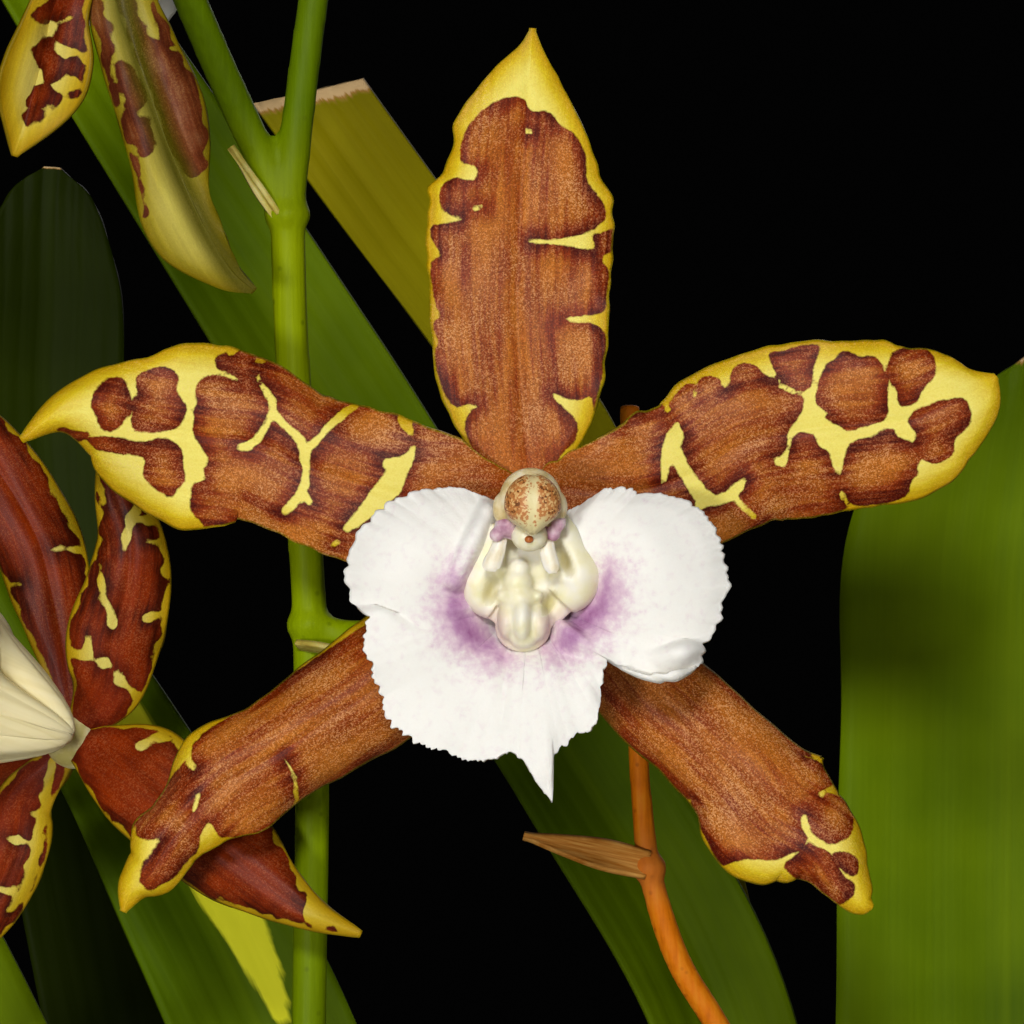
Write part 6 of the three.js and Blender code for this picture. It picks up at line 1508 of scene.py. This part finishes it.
def drawn_marks(name):
    """Marks a main tepal with its blotches and its yellow strokes; brown is negative."""
    def mark(points, places):
        x, z = points[:, 0], points[:, 2]
        brown = np.full(len(x), 99.0)
        for outline in MARKS[name, "brown"]:
            line = smoothed(outline)
            near, inside = np.full(len(x), 99.0), np.zeros(len(x), bool)
            for a, b in zip(line, np.roll(line, -1, 0)):
                near = np.minimum(near, from_line(x, z, a, b))
                spans = (a[1] > z) != (b[1] > z)
                inside ^= spans & (x < (b[0] - a[0]) * (z - a[1]) / (b[1] - a[1] + 1e-12) + a[0])
            brown = np.minimum(brown, np.where(inside, -near, near))
        for stroke in MARKS[name, "yellow"]:
            brown = np.maximum(brown, -near_line(x, z, np.array(stroke) / MARKS_PER_MM))
        return brown
    return mark


def margin_of(name, seed):
    """The lobes, notches and fine unevenness of one main tepal's margin."""
    def detail(t, s):
        share = 1 + 0.012 * waves(t * 38, np.sign(s) * 9, 2.1, seed)
        for at, side, height, spread in MARGIN[name]:
            share = share + np.where(s * side > 0, height * np.exp(-((t - at) / spread) ** 2), 0)
        return share
    return detail


for number, (name, rows) in enumerate(MAIN_TEPALS.items()):
    tepal(
        name + "_blade", name, rows, (TO_VIEWER, TO_VIEWER), [FRONT, BACK], drawn_marks(name), MAIN_CELLS,
        310 + 2 * number, detail=margin_of(name, 300 + number),
    )

# Lip: the broad white lowest petal, one soft sheet that opens round the crest under the column. Its
# margin is finely toothed and rolls forward at the lower right, and purple stains it round the crest.
LIP_CENTRE = (0.2, -8.2)
LIP_THICK = 0.7
LIP_CELLS = (580, 38)
# The bearings of its point and of the side across from it, and how far its broad edge beside the point
# reaches, in millimetres
LIP_POINT = -84
LIP_TOP = 96
LIP_APRON = 12.2
# The lip's reach in photograph pixels at each bearing in degrees, counted from its right
LIP_REACH_PX = [
    (-84, 201), (-83, 178), (-82, 156), (-78, 146), (-72, 140), (-65, 141), (-60, 135), (-57, 124),
    (-50, 109), (-44, 100), (-37.5, 96), (-36, 118), (-34, 137), (-31, 154), (-27, 166), (-21.4, 180),
    (-14.4, 177), (-8.6, 186), (-2.1, 190), (4, 196.5), (13.2, 197), (20.6, 195), (27.8, 191),
    (33.7, 180), (40.5, 163), (44, 152), (52, 142), (56.5, 131), (59.5, 116), (62, 107), (67.6, 95),
    (80, 71), (90, 64), (100, 71), (108.8, 100), (116, 117), (123, 133), (130.8, 144), (135.8, 155),
    (147, 172), (160, 184), (171, 186), (178, 180), (182.3, 171), (185.6, 160), (194, 170),
    (201.5, 169), (211, 174), (217, 180), (222, 184), (228, 181), (236, 175), (240, 168), (244, 170),
    (251, 168), (257, 159), (261.6, 150.6), (265.5, 151), (269, 164), (273, 185),
]
# Purple bands beside the crest: x, z and half width of the spots that each runs through
STAINS = [
    [(-5.6, -6.3, 0.0), (-6.2, -8.0, 0.4), (-5.9, -9.3, 0.7), (-5.0, -10.8, 0.8), (-4.0, -11.8, 0.5),
     (-2.4, -12.8, 0.0)],
    [(6.6, -6.0, 0.0), (6.6, -7.6, 0.3), (6.1, -8.8, 0.6), (4.9, -10.0, 0.8), (3.6, -11.1, 0.6),
     (2.5, -12.4, 0.1)],
]
# Folds of the sheet: the spots each runs through (x and z in the flower's front view), height, spread
LIP_FOLDS = [
    ([(-3.2, -0.7), (-4.7, -3.8), (-6.0, -6.6)], 1.5, 0.55),
    ([(1.5, -14.2), (1.5, -21.5)], 0.3, 1.2),
    ([(-1.8, -13.6), (-2.0, -18.0)], -0.3, 0.6),
    ([(6.4, -13.0), (3.2, -12.6)], -0.7, 0.9),
]
# The margin's roll: the bearings where it starts and ends, its radius and how far it turns
ROLL_BEARINGS = (-37, -20)
ROLL_RADIUS = 0.8
ROLL_TURN = 195
# The bulge over the roll's right end: x, z, width, reach down and reach up, height
EAR = (12.5, -12.2, 1.9, 1.2, 0.45, 1.9)


def bump(bearing, middle, spread):
    """A swelling, 1 at its middle bearing and fading to both sides."""
    off = (bearing - middle + 180) % 360 - 180
    return np.exp(-(off / spread) ** 2)


def lip_forward(bearing, share, crinkle):
    """How far forward of the flower's zero the lip stands at a bearing and a share of its reach."""
    cup = 4.6 * (1 - np.exp(-(share / 0.3) ** 2)) - 1.4 * np.exp(-(share / 0.34) ** 4)
    sides = bump(bearing, 15, 42) + bump(bearing, 160, 36)
    lobes = (0.6 + 1.4 * crinkle) * sides * np.sin(math.pi * share ** 1.3)
    apron = 1.8 * bump(bearing, -90, 62) * share
    corner = bearing % 360 - 185 - 55 * np.clip(0.9 - share, 0, 1)
    flap = 1.5 * crinkle * np.exp(-(corner / np.where(corner < 0, 2.5, 24)) ** 2) * share ** 4
    neck = -1.6 * crinkle * bump(bearing, 90, 26) * share
    return 1.5 + cup + lobes + apron + flap + neck


def lip_sheet(cells, crinkle):
    """The lip's sheet, round it and from its foot out, with each spot's place and stain for its
    material; crinkle is the share of its rolls, folds and teeth that it has."""
    bm, t, s = grid(*cells)
    share = 1 - 0.97 * ((s + 1) / 2) ** 1.2
    bearing = LIP_POINT + 360 * t
    wrapped = (bearing - LIP_POINT) % 360 + LIP_POINT
    angles, reaches = zip(*LIP_REACH_PX, (LIP_POINT + 360, LIP_REACH_PX[0][1]))
    reach = np.interp(wrapped, angles, reaches) / PHOTO_SCALE
    turn = np.radians(bearing)
    cos, sin = np.cos(turn), np.sin(turn)
    teeth = 0.010 * waves(cos * 16, sin * 16, 1.2, 401) + 0.009 * waves(cos * 16, sin * 16, 0.6, 405)
    reach = reach * (1 + crinkle * teeth * share ** 12)
    starts, ends = ROLL_BEARINGS
    rolls = crinkle * np.clip((wrapped - starts) / 2, 0, 1) * np.clip((ends - wrapped) / 6, 0, 1)
    flat = 1 - ROLL_RADIUS / reach
    lap = np.radians(ROLL_TURN) * np.clip((share - flat) / (1 - flat), 0, 1)
    rolled = np.minimum(share, flat) * reach + ROLL_RADIUS * np.sin(lap)
    out = share * reach * (1 - rolls) + rolled * rolls
    x, z = LIP_CENTRE[0] + out * cos, LIP_CENTRE[1] + out * sin
    across_from_top = np.abs(bearing - LIP_TOP - 180 * np.sign(bearing - LIP_TOP))
    broad = np.where(across_from_top < 10, np.minimum(reach, LIP_APRON), reach)
    forward = lip_forward(bearing, np.minimum(share * reach / broad, 1.1), crinkle)
    forward = forward + rolls * ROLL_RADIUS * (1 - np.cos(lap))
    forward = forward + crinkle * 0.22 * share ** 6 * waves(cos * 16, sin * 16, 5.0, 402)
    forward = forward + crinkle * 0.03 * share ** 1.5 * waves(cos * 16, sin * 16, 1.5, 403)
    forward = forward + crinkle * 0.16 * waves(x, z, 6.5, 404) * np.sin(math.pi * share)
    for line, height, spread in LIP_FOLDS:
        forward = forward + crinkle * height * np.exp(-(near_line(x, z, line) / spread) ** 2)
    ear_x, ear_z, wide, below, above, height = EAR
    lean = z - ear_z - 0.25 * (x - ear_x)
    tall = np.where(lean < 0, below, above)
    forward = forward + crinkle * height * np.exp(-((x - ear_x) / wide) ** 2 - (lean / tall) ** 2)
    edge = np.min([near_line(x, z, band) for band in STAINS], axis=0)
    stain = np.maximum(np.clip(0.5 - edge / 2.6, 0, 1), 0.33 * np.exp(-(np.maximum(edge, 0) / 2.1) ** 2))
    spots = np.stack([x, -forward, z], axis=1)
    return bm, spots, stain, np.stack([x, z, (1 - share) * reach], axis=1)


# Lip tissue, soft and matt, warm white with a fine pearl grain and stained purple where "stain" says,
# in small broken spots at the stain's edge. Light passes through it a little.
lip_skin, put = bare_material("white lip")
where = put("TexCoord").outputs["Object"]
stain = put("Attribute", attribute_name="stain").outputs["Fac"]
break_up = put("TexNoise", {"Vector": where, "Scale": 1000 / 0.8, "Detail": 5, "Roughness": 0.7})
broken = put("Math", [break_up, 0.8, stain], operation="MULTIPLY_ADD")
stain_share = put("MapRange", [broken, 0.42, 1.3])
body = put("ValToRGB", [stain_share], stops=[
    (0, "ece9e1"), (0.12, "e8e1dc"), (0.35, "d6bac8"), (0.62, "b98db0"), (1, "93588a"),
])
pearl = put("TexNoise", {"Vector": where, "Scale": 1000 / 0.2, "Detail": 2})
grained = put("MixRGB", [0.1, body, pearl], blend_type="OVERLAY")
bumps = put("Bump", {"Height": pearl, "Strength": 0.35, "Distance": 0.05 * MM})
put("OutputMaterial", [put("BsdfPrincipled", {
    "Base Color": grained, "Roughness": 0.6, "Normal": bumps, "Specular IOR Level": 0.2,
    "Subsurface Weight": 0.2, "Subsurface Radius": (1.2, 1, 0.9), "Subsurface Scale": 0.5 * MM,
})])

# A lip's back: unstained, white on most flowers and creamy on the left one, with faint veins that run
# out from its foot
lip_backs = {}
for kind, vein_tone, middle, body in (
    ("white back of a lip", "dcd8cc", "e8e5dc", "ece9e1"),
    ("cream back of a lip", "dccd98", "e6d8a6", "e9dcae"),
):
    skin, put = bare_material(kind)
    where = put("Attribute", attribute_name="blade").outputs["Vector"]
    parts = put("SeparateXYZ", [where])
    around = put("Math", [parts.outputs["X"], parts.outputs["Y"]], operation="ARCTAN2")
    veins_at = put("CombineXYZ", [around])
    vein = put("TexNoise", {"Vector": veins_at, "Scale": 14, "Detail": 2})
    tone = put("ValToRGB", [vein], stops=[(0.36, vein_tone), (0.46, middle), (0.6, body)])
    put("OutputMaterial", [put("BsdfPrincipled", {
        "Base Color": tone, "Roughness": 0.6, "Specular IOR Level": 0.2,
        "Subsurface Weight": 0.2, "Subsurface Radius": (1.2, 1, 0.7), "Subsurface Scale": 0.5 * MM,
    })])
    lip_backs[kind] = skin

# Crest tissue, thick and waxy: creamy white, pinkish along its lower rim, and yellower in its hollows, where
# their darker olive tone is painted shade
crest_skin, put = bare_material("waxy crest")
where = put("TexCoord").outputs["Object"]
stain = put("Attribute", attribute_name="stain").outputs["Fac"]
cloud = put("TexNoise", {"Vector": where, "Scale": 1000 / 1.8, "Detail": 3})
tone = put("ValToRGB", [cloud], stops=[(0.35, "e6dfb4"), (0.52, "ebe5c8"), (0.68, "ece7d6")])
rim = put("MapRange", [stain, 0, 1, 0, 0.75])
rimmed = put("MixRGB", [rim, tone, "dfc8bc"])
# Painted shade: where stain is below 0, the crest's hollows are darkened to olive-yellow
hollow_shade = put("MapRange", [stain, 0, -1, 0, 0.8])
colour = put("MixRGB", [hollow_shade, rimmed, "ab9a48"])
bumps = put("Bump", {"Height": cloud, "Strength": 0.2, "Distance": 0.2 * MM})
put("OutputMaterial", [put("BsdfPrincipled", {
    "Base Color": colour, "Roughness": 0.4, "Normal": bumps, "Specular IOR Level": 0.35,
    "Subsurface Weight": 0.35, "Subsurface Radius": (1.2, 1, 0.6), "Subsurface Scale": 0.6 * MM,
})])
# The crest's knobs and ridges: middle, then half sizes
CREST = [
    ((-0.75, -6.6, -5.5), (1.0, 1.2, 0.85)), ((-0.85, -6.7, -6.7), (1.25, 1.5, 1.2)),
    ((-0.75, -6.8, -8.0), (1.5, 1.5, 1.2)), ((-0.5, -6.8, -9.6), (0.95, 2.2, 2.1)),
    ((-1.75, -6.5, -9.8), (0.75, 1.8, 1.5)), ((0.95, -6.5, -9.9), (0.8, 1.8, 1.5)),
    ((-0.35, -6.3, -11.2), (1.2, 1.5, 0.9)), ((-2.2, -6.8, -7.8), (0.5, 0.9, 0.5)),
    ((0.8, -6.9, -7.8), (0.5, 0.9, 0.45)), ((-0.1, -5.3, -7.4), (4.2, 1.0, 3.4)),
    ((0.1, -5.9, -4.4), (3.4, 1.0, 2.8)), ((-0.4, -5.5, -10.4), (2.3, 1.0, 2.0)),
]
# The swollen cheeks on each side of it: the spots that they run through, then their radii
CHEEKS = [
    ([(-2.6, -7.2, -2.0), (-3.2, -6.2, -4.8), (-3.7, -5.7, -7.7), (-2.6, -5.6, -8.5)], (0.5, 1.2, 1.7, 1.4)),
    ([(2.5, -7.6, -1.2), (3.1, -6.4, -3.5), (3.75, -5.7, -6.7), (2.6, -5.6, -8.1)], (0.6, 1.5, 2.3, 1.7)),
]
# Hollows in them: x, z, half width, half height, lean and depth
HOLLOWS = [
    (3.0, -4.9, 0.45, 1.2, -0.35, 1.0), (-3.0, -7.4, 0.6, 1.2, 0.2, 0.8), (1.7, -8.4, 0.5, 1.0, 0.4, 0.8),
]
CREST_VOXEL = 0.17
# A side flower's lip is plainer: its faces round and out, the share of its folds, and how far its crest
# stands off the sheet. The left one is seen from its side: it is deeper, and its lobes curl forward round
# a radius of 5 mm from 4 mm beside its middle on.
CURL_STARTS = 4
SIDE_LIP_CELLS = (150, 18)
SIDE_LIP_CRINKLE = 0.3
SIDE_CREST_LIFT = 1.6
SIDE_CREST_VOXEL = 0.28
LEFT_LIP = {"cells": (200, 26), "depth": 1.3, "curl": 5.0}


def crest_of(place, depth, lift):
    """The crest's knobs and cheeks, still apart, lifted off the sheet and set on the plant by place."""
    parts = [ball(*part) for part in CREST]
    for line, radii in CHEEKS:
        swell = lambda t, run, radii=radii: np.interp(t, np.linspace(0, 1, len(radii)), radii)
        parts.append(rod(line, swell, 24, 20))
    return set_on(joined(parts), lambda spots: place(spots * (1, depth, 1) - (0, lift, 0)))


def lip_pieces(name, place, cells, voxel, depth=1, crinkle=1, lift=0, curl=0):
    """A lip and its crest, set on the plant by place; curl is the radius its side lobes curl round."""
    bm, spots, stain, places = lip_sheet(cells, crinkle)
    if curl:
        aside = np.abs(spots[:, 0])
        lap = np.clip((aside - CURL_STARTS) / curl, 0, 2.4)
        spots[:, 0] = np.sign(spots[:, 0]) * (np.minimum(aside, CURL_STARTS) + curl * np.sin(lap))
        spots[:, 1] -= curl * (1 - np.cos(lap))
    settle(bm, place(spots * (1, depth, 1)))
    note(bm, stain=stain, blade=places)
    weigh(bm, np.clip(places[:, 2] / 1.5, 0.1, 1))
    bmesh.ops.remove_doubles(bm, verts=bm.verts, dist=2e-6)
    short = [e for e in bm.edges if e.is_boundary and e.calc_length() < 0.3 * MM]
    bmesh.ops.holes_fill(bm, edges=short, sides=0)
    back = lip_backs["cream back of a lip" if name == "bloom_left_lip" else "white back of a lip"]
    sheet = piece_from(bm, name + "_sheet", [back, lip_skin], [name])
    thickened(sheet, LIP_THICK, THIN_EDGE, back=1)
    crest = piece_from(crest_of(place, depth, lift), name + "_crest", [crest_skin], [name])
    grown_together(crest, voxel, 8 if voxel < 0.2 else 4)
    return crest


main_crest = lip_pieces("lip", on_main, LIP_CELLS, CREST_VOXEL)
# Its hollows are pressed in, and the crest's skin is told where to paint shade in its hollows and where its
# rim is
bm = bmesh.new()
bm.from_mesh(main_crest.data)
p = spots_of(bm) - np.array(MAIN_FLOWER)
hollow_shade = np.zeros(len(p))
for x, z, wide, high, lean, deep in HOLLOWS:
    off_z = p[:, 2] - z
    off_x = p[:, 0] - x - lean * off_z
    dent = np.exp(-(off_x / wide) ** 2 - (off_z / high) ** 2)
    p[:, 1] += deep * dent
    hollow_shade = np.maximum(hollow_shade, dent * deep)
rim = np.clip((-8.2 - p[:, 2]) / 1.6, 0, 1) * np.clip((np.abs(p[:, 0] + 0.4) - 0.8) / 0.8, 0, 1)
settle(bm, on_main(p))
note(bm, stain=np.where(hollow_shade > 0.25, -hollow_shade, rim))
bm.to_mesh(main_crest.data)
bm.free()
for flower, plan in OTHER_FLOWERS.items():
    lip_pieces(
        f"bloom_{flower}_lip", on_plant(plan), voxel=SIDE_CREST_VOXEL, crinkle=SIDE_LIP_CRINKLE,
        lift=SIDE_CREST_LIFT, **(LEFT_LIP if flower == "left" else {"cells": SIDE_LIP_CELLS}),
    )

# Column and cap: the flower's stout waxy middle over the crest. A pale hood stands behind the cap, a
# lilac wing and a thin pale flap hang on each side, and under it is a beak with an orange-brown gland.
COLUMN_RADIUS = 1.75
COLUMN_VOXEL = 0.16
# Balls that its parts are grown from: middle, then half sizes
HOOD = [
    ((0.2, -10.4, 0.1), (2.55, 1.3, 2.5)), ((-2.1, -10.0, -0.7), (0.8, 0.7, 1.3)),
    ((2.4, -10.0, -0.6), (0.8, 0.7, 1.3)),
]
WINGS = [
    ((-2.55, -9.7, -2.85), (0.6, 0.7, 0.6)), ((-1.8, -9.9, -2.15), (0.95, 0.9, 0.85)),
    ((-1.2, -9.5, -2.8), (0.7, 0.7, 0.5)), ((2.45, -9.9, -1.85), (0.65, 0.7, 0.7)),
    ((2.05, -9.7, -2.75), (0.6, 0.6, 0.65)), ((1.3, -9.5, -2.6), (0.5, 0.6, 0.5)),
]
BEAK = ((0.1, -10.0, -2.9), (1.5, 1.3, 1.3))
GLAND = ((0.07, -11.3, -3.2), (0.36, 0.3, 0.3))
FLAPS = {
    "left": [
        [-2.1, -9.2, -2.8, 0.45, 0], [-2.5, -9.5, -4.2, 0.6, 0.15], [-2.95, -9.7, -5.3, 0.72, 0.15],
        [-3.0, -9.7, -5.8, 0.35, 0],
    ],
    "right": [
        [1.45, -9.2, -2.8, 0.5, 0], [1.6, -9.5, -4.3, 0.6, 0.15], [1.9, -9.7, -5.4, 0.6, 0.15],
        [2.0, -9.7, -5.95, 0.3, 0],
    ],
}
FLAP_THICK = 0.5
CAP = (0.36, -12.2, -0.4)
SIDE_CAP = (0.2, -11.0, -0.2)
CAP_SIZE = (2.3, 1.8, 2.47)

# Waxy tissues of the column: cream, translucent beige, lilac for the wings, orange-brown for the gland
column_skins = {}
for kind, low, middle, high, share in (
    ("waxy cream column", "e0d6a4", "ebe3c0", "eee8d2", 0.3),
    ("translucent beige flap", "dccfae", "e8dfc8", "ece6da", 0.45),
    ("lilac column wing", "a06c84", "c49cac", "e2d0d0", 0.35),
    ("orange-brown gland", "8a4414", "b8682c", "d08a4c", 0.1),
    ("beige column hood", "c8b078", "dcc898", "e8dab8", 0.4),
):
    skin, put = bare_material(kind)
    where = put("TexCoord").outputs["Object"]
    cloud = put("TexNoise", {"Vector": where, "Scale": 1000 / 1.1, "Detail": 3})
    tone = put("ValToRGB", [cloud], stops=[(0.35, low), (0.5, middle), (0.68, high)])
    put("OutputMaterial", [put("BsdfPrincipled", {
        "Base Color": tone, "Roughness": 0.4, "Specular IOR Level": 0.35,
        "Subsurface Weight": share, "Subsurface Radius": (1.2, 1, 0.7), "Subsurface Scale": 0.7 * MM,
    })])
    column_skins[kind] = skin


def column_body(back, front=-10.0):
    """The column, a round-ended rod along the flower's depth from back to front."""
    def round_ends(t, run):
        in_from_end = np.minimum(run, back - front - run)
        short = np.clip(COLUMN_RADIUS - in_from_end, 0, COLUMN_RADIUS)
        return np.maximum(0.25, np.sqrt(np.clip(COLUMN_RADIUS ** 2 - short ** 2, 0, None)))
    return rod([(0.1, y, 0.1) for y in np.linspace(back, front, 6)], round_ends, 60, 28)


for name, kind, bm in (
    ("column_body", "waxy cream column", joined([column_body(1.45), ball(*BEAK)])),
    ("column_wings", "lilac column wing", joined([ball(*wing) for wing in WINGS])),
    ("column_hood", "beige column hood", joined([ball(*part) for part in HOOD])),
    ("column_gland", "orange-brown gland", ball(*GLAND)),
):
    column_piece = piece_from(set_on(bm, on_main), name, [column_skins[kind]], ["column"])
    if kind != "orange-brown gland":
        grown_together(column_piece, COLUMN_VOXEL)
for side, rows in FLAPS.items():
    bm, points, _, places, _, _ = blade(rows, (TO_VIEWER, TO_VIEWER), 24, 12, 2)
    settle(bm, on_main(points))
    weigh(bm, np.clip(places[:, 2] / 0.4, 0.3, 1))
    flap = piece_from(bm, "column_flap_" + side, [column_skins["translucent beige flap"]], ["column"])
    thickened(flap, FLAP_THICK, 0.3)

# Anther cap: cream with fine orange-brown freckles, dense on its two cheeks where "rust" says
cap_skin, put = bare_material("freckled anther cap")
where = put("TexCoord").outputs["Object"]
rust = put("Attribute", attribute_name="rust").outputs["Fac"]
freckle = put("TexVoronoi", {"Vector": where, "Scale": 1000 / 0.17})
chance = put("SeparateXYZ", [freckle.outputs["Color"]]).outputs["X"]
cloud = put("TexNoise", {"Vector": where, "Scale": 1000 / 0.8, "Detail": 3})
dense = put("Math", [cloud, 0.7, rust], operation="MULTIPLY_ADD")
warmth = put("MapRange", [dense, 0.45, 1.2])
ground = put("MixRGB", [warmth, "dccd96", "d8a666"])
thrown = put("Math", [dense, chance], operation="SUBTRACT")
rusty = put("MapRange", [thrown, 0.28, 0.42, 0, 0.85])
freckled = put("MixRGB", [rusty, ground, "b46a30"])
darkest = put("MapRange", [thrown, 0.86, 0.98, 0, 0.85])
colour = put("MixRGB", [darkest, freckled, "5c300c"])
bumps = put("Bump", {"Height": chance, "Strength": 0.3, "Distance": 0.05 * MM})
put("OutputMaterial", [put("BsdfPrincipled", {
    "Base Color": colour, "Roughness": 0.45, "Normal": bumps, "Specular IOR Level": 0.35,
})])


def cap(place, name, node, at, segments):
    """The anther cap: an egg, narrower below, with a shallow furrow between its freckled cheeks."""
    bm = ball((0, 0, 0), (1, 1, 1), segments)
    p = spots_of(bm)
    furrow = 0.05 * np.exp(-(p[:, 0] / 0.16) ** 2) * (p[:, 1] < 0)
    narrow = 0.9 * np.clip(-0.15 - p[:, 2], 0, None) ** 1.6
    cheek = np.clip((np.abs(p[:, 0]) - 0.08) / 0.22, 0, 1) * np.clip((p[:, 2] + 0.62) / 0.3, 0, 1)
    top = 0.35 * np.clip((p[:, 2] - 0.35) / 0.3, 0, 1)
    shaped = p * (1 - furrow)[:, None]
    shaped[:, 0] *= 1 - narrow
    settle(bm, place(shaped * np.array(CAP_SIZE) + np.array(at)))
    note(bm, rust=np.maximum(cheek, top) * 0.72)
    piece_from(bm, name, [cap_skin], [node])


cap(on_main, "anther_cap_skin", "anther_cap", CAP, 96)
for flower, plan in OTHER_FLOWERS.items():
    stand = on_plant(plan)
    node = f"bloom_{flower}_column"
    body = set_on(column_body(-3.3 if flower in SHAPED_BY_HAND else -0.5), stand)
    piece_from(body, f"bloom_{flower}_column_body", [column_skins["waxy cream column"]], [node])
    cap(stand, f"bloom_{flower}_cap", node, SIDE_CAP, 40)

# Hub: the brown foot of the main flower, a small flat cushion behind the column, where its sepals and
# petals join; its darker brown is partly painted shade.
hub = ball((0.2, 2.0, 0.3), (3.6, 0.9, 3.2), 40)
piece_from(set_on(hub, on_main), "main_hub", [hub_skins["brown petal foot in painted shade"]], ["column"])

# The stage: a plain pale floor and soft studio lamps; the camera stands level with the main flower,
# 600 mm in front of it, and frames it as the photograph does.
FLOOR_RADIUS = 0.9
CAMERA_AT = (-0.0163, -0.645, 0.334)
CAMERA_LENS = 257.3
AIM = Vector((-0.015, -0.045, 0.333))

floor_bm = bmesh.new()
bmesh.ops.create_circle(floor_bm, cap_ends=True, segments=96, radius=FLOOR_RADIUS)
floor_mesh = bpy.data.meshes.new("studio_floor")
floor_bm.to_mesh(floor_mesh)
floor_bm.free()
floor = bpy.data.objects.new("studio_floor", floor_mesh)
bpy.context.scene.collection.objects.link(floor)
floor_paint, put = bare_material("pale matt floor")
where = put("TexCoord").outputs["Object"]
cloud = put("TexNoise", {"Vector": where, "Scale": 1000 / 60, "Detail": 3})
tone = put("ValToRGB", [cloud], stops=[(0.3, "c9c5be"), (0.7, "d2cec7")])
put("OutputMaterial", [put("BsdfPrincipled", {
    "Base Color": tone, "Roughness": 0.8,
})])
floor_mesh.materials.append(floor_paint)

for name, place, size, power in (
    ("upper_lamp", (-0.10, -1.00, 0.66), 0.16, 6.0),
    ("left_lamp", (-0.40, -1.05, 0.24), 0.16, 4.6),
    ("fill_lamp", (0.60, -0.90, 0.45), 0.5, 0.9),
    ("rear_lamp", (0.40, 1.20, 0.90), 0.8, 2.0),
):
    lamp = bpy.data.lights.new(name, "AREA")
    lamp.shape, lamp.size, lamp.energy = "DISK", size, power
    holder = bpy.data.objects.new(name, lamp)
    holder.location = place
    holder.rotation_euler = (AIM - Vector(place)).to_track_quat("-Z", "Y").to_euler()
    holder.visible_camera = False
    bpy.context.scene.collection.objects.link(holder)

world = bpy.data.worlds.new("dim studio")
bpy.context.scene.world = world
world.use_nodes = True
world.node_tree.nodes["Background"].inputs["Color"].default_value = (0.0008, 0.0008, 0.0008, 1)

lens = bpy.data.cameras.new("camera")
lens.lens, lens.sensor_width, lens.clip_start = CAMERA_LENS, 36, 0.01
camera = bpy.data.objects.new("camera", lens)
camera.location = CAMERA_AT
camera.rotation_euler = (math.radians(90), 0, 0)
bpy.context.scene.collection.objects.link(camera)
bpy.context.scene.camera = camera
bpy.context.scene.view_settings.view_transform = "Standard"

bpy.context.view_layer.update()
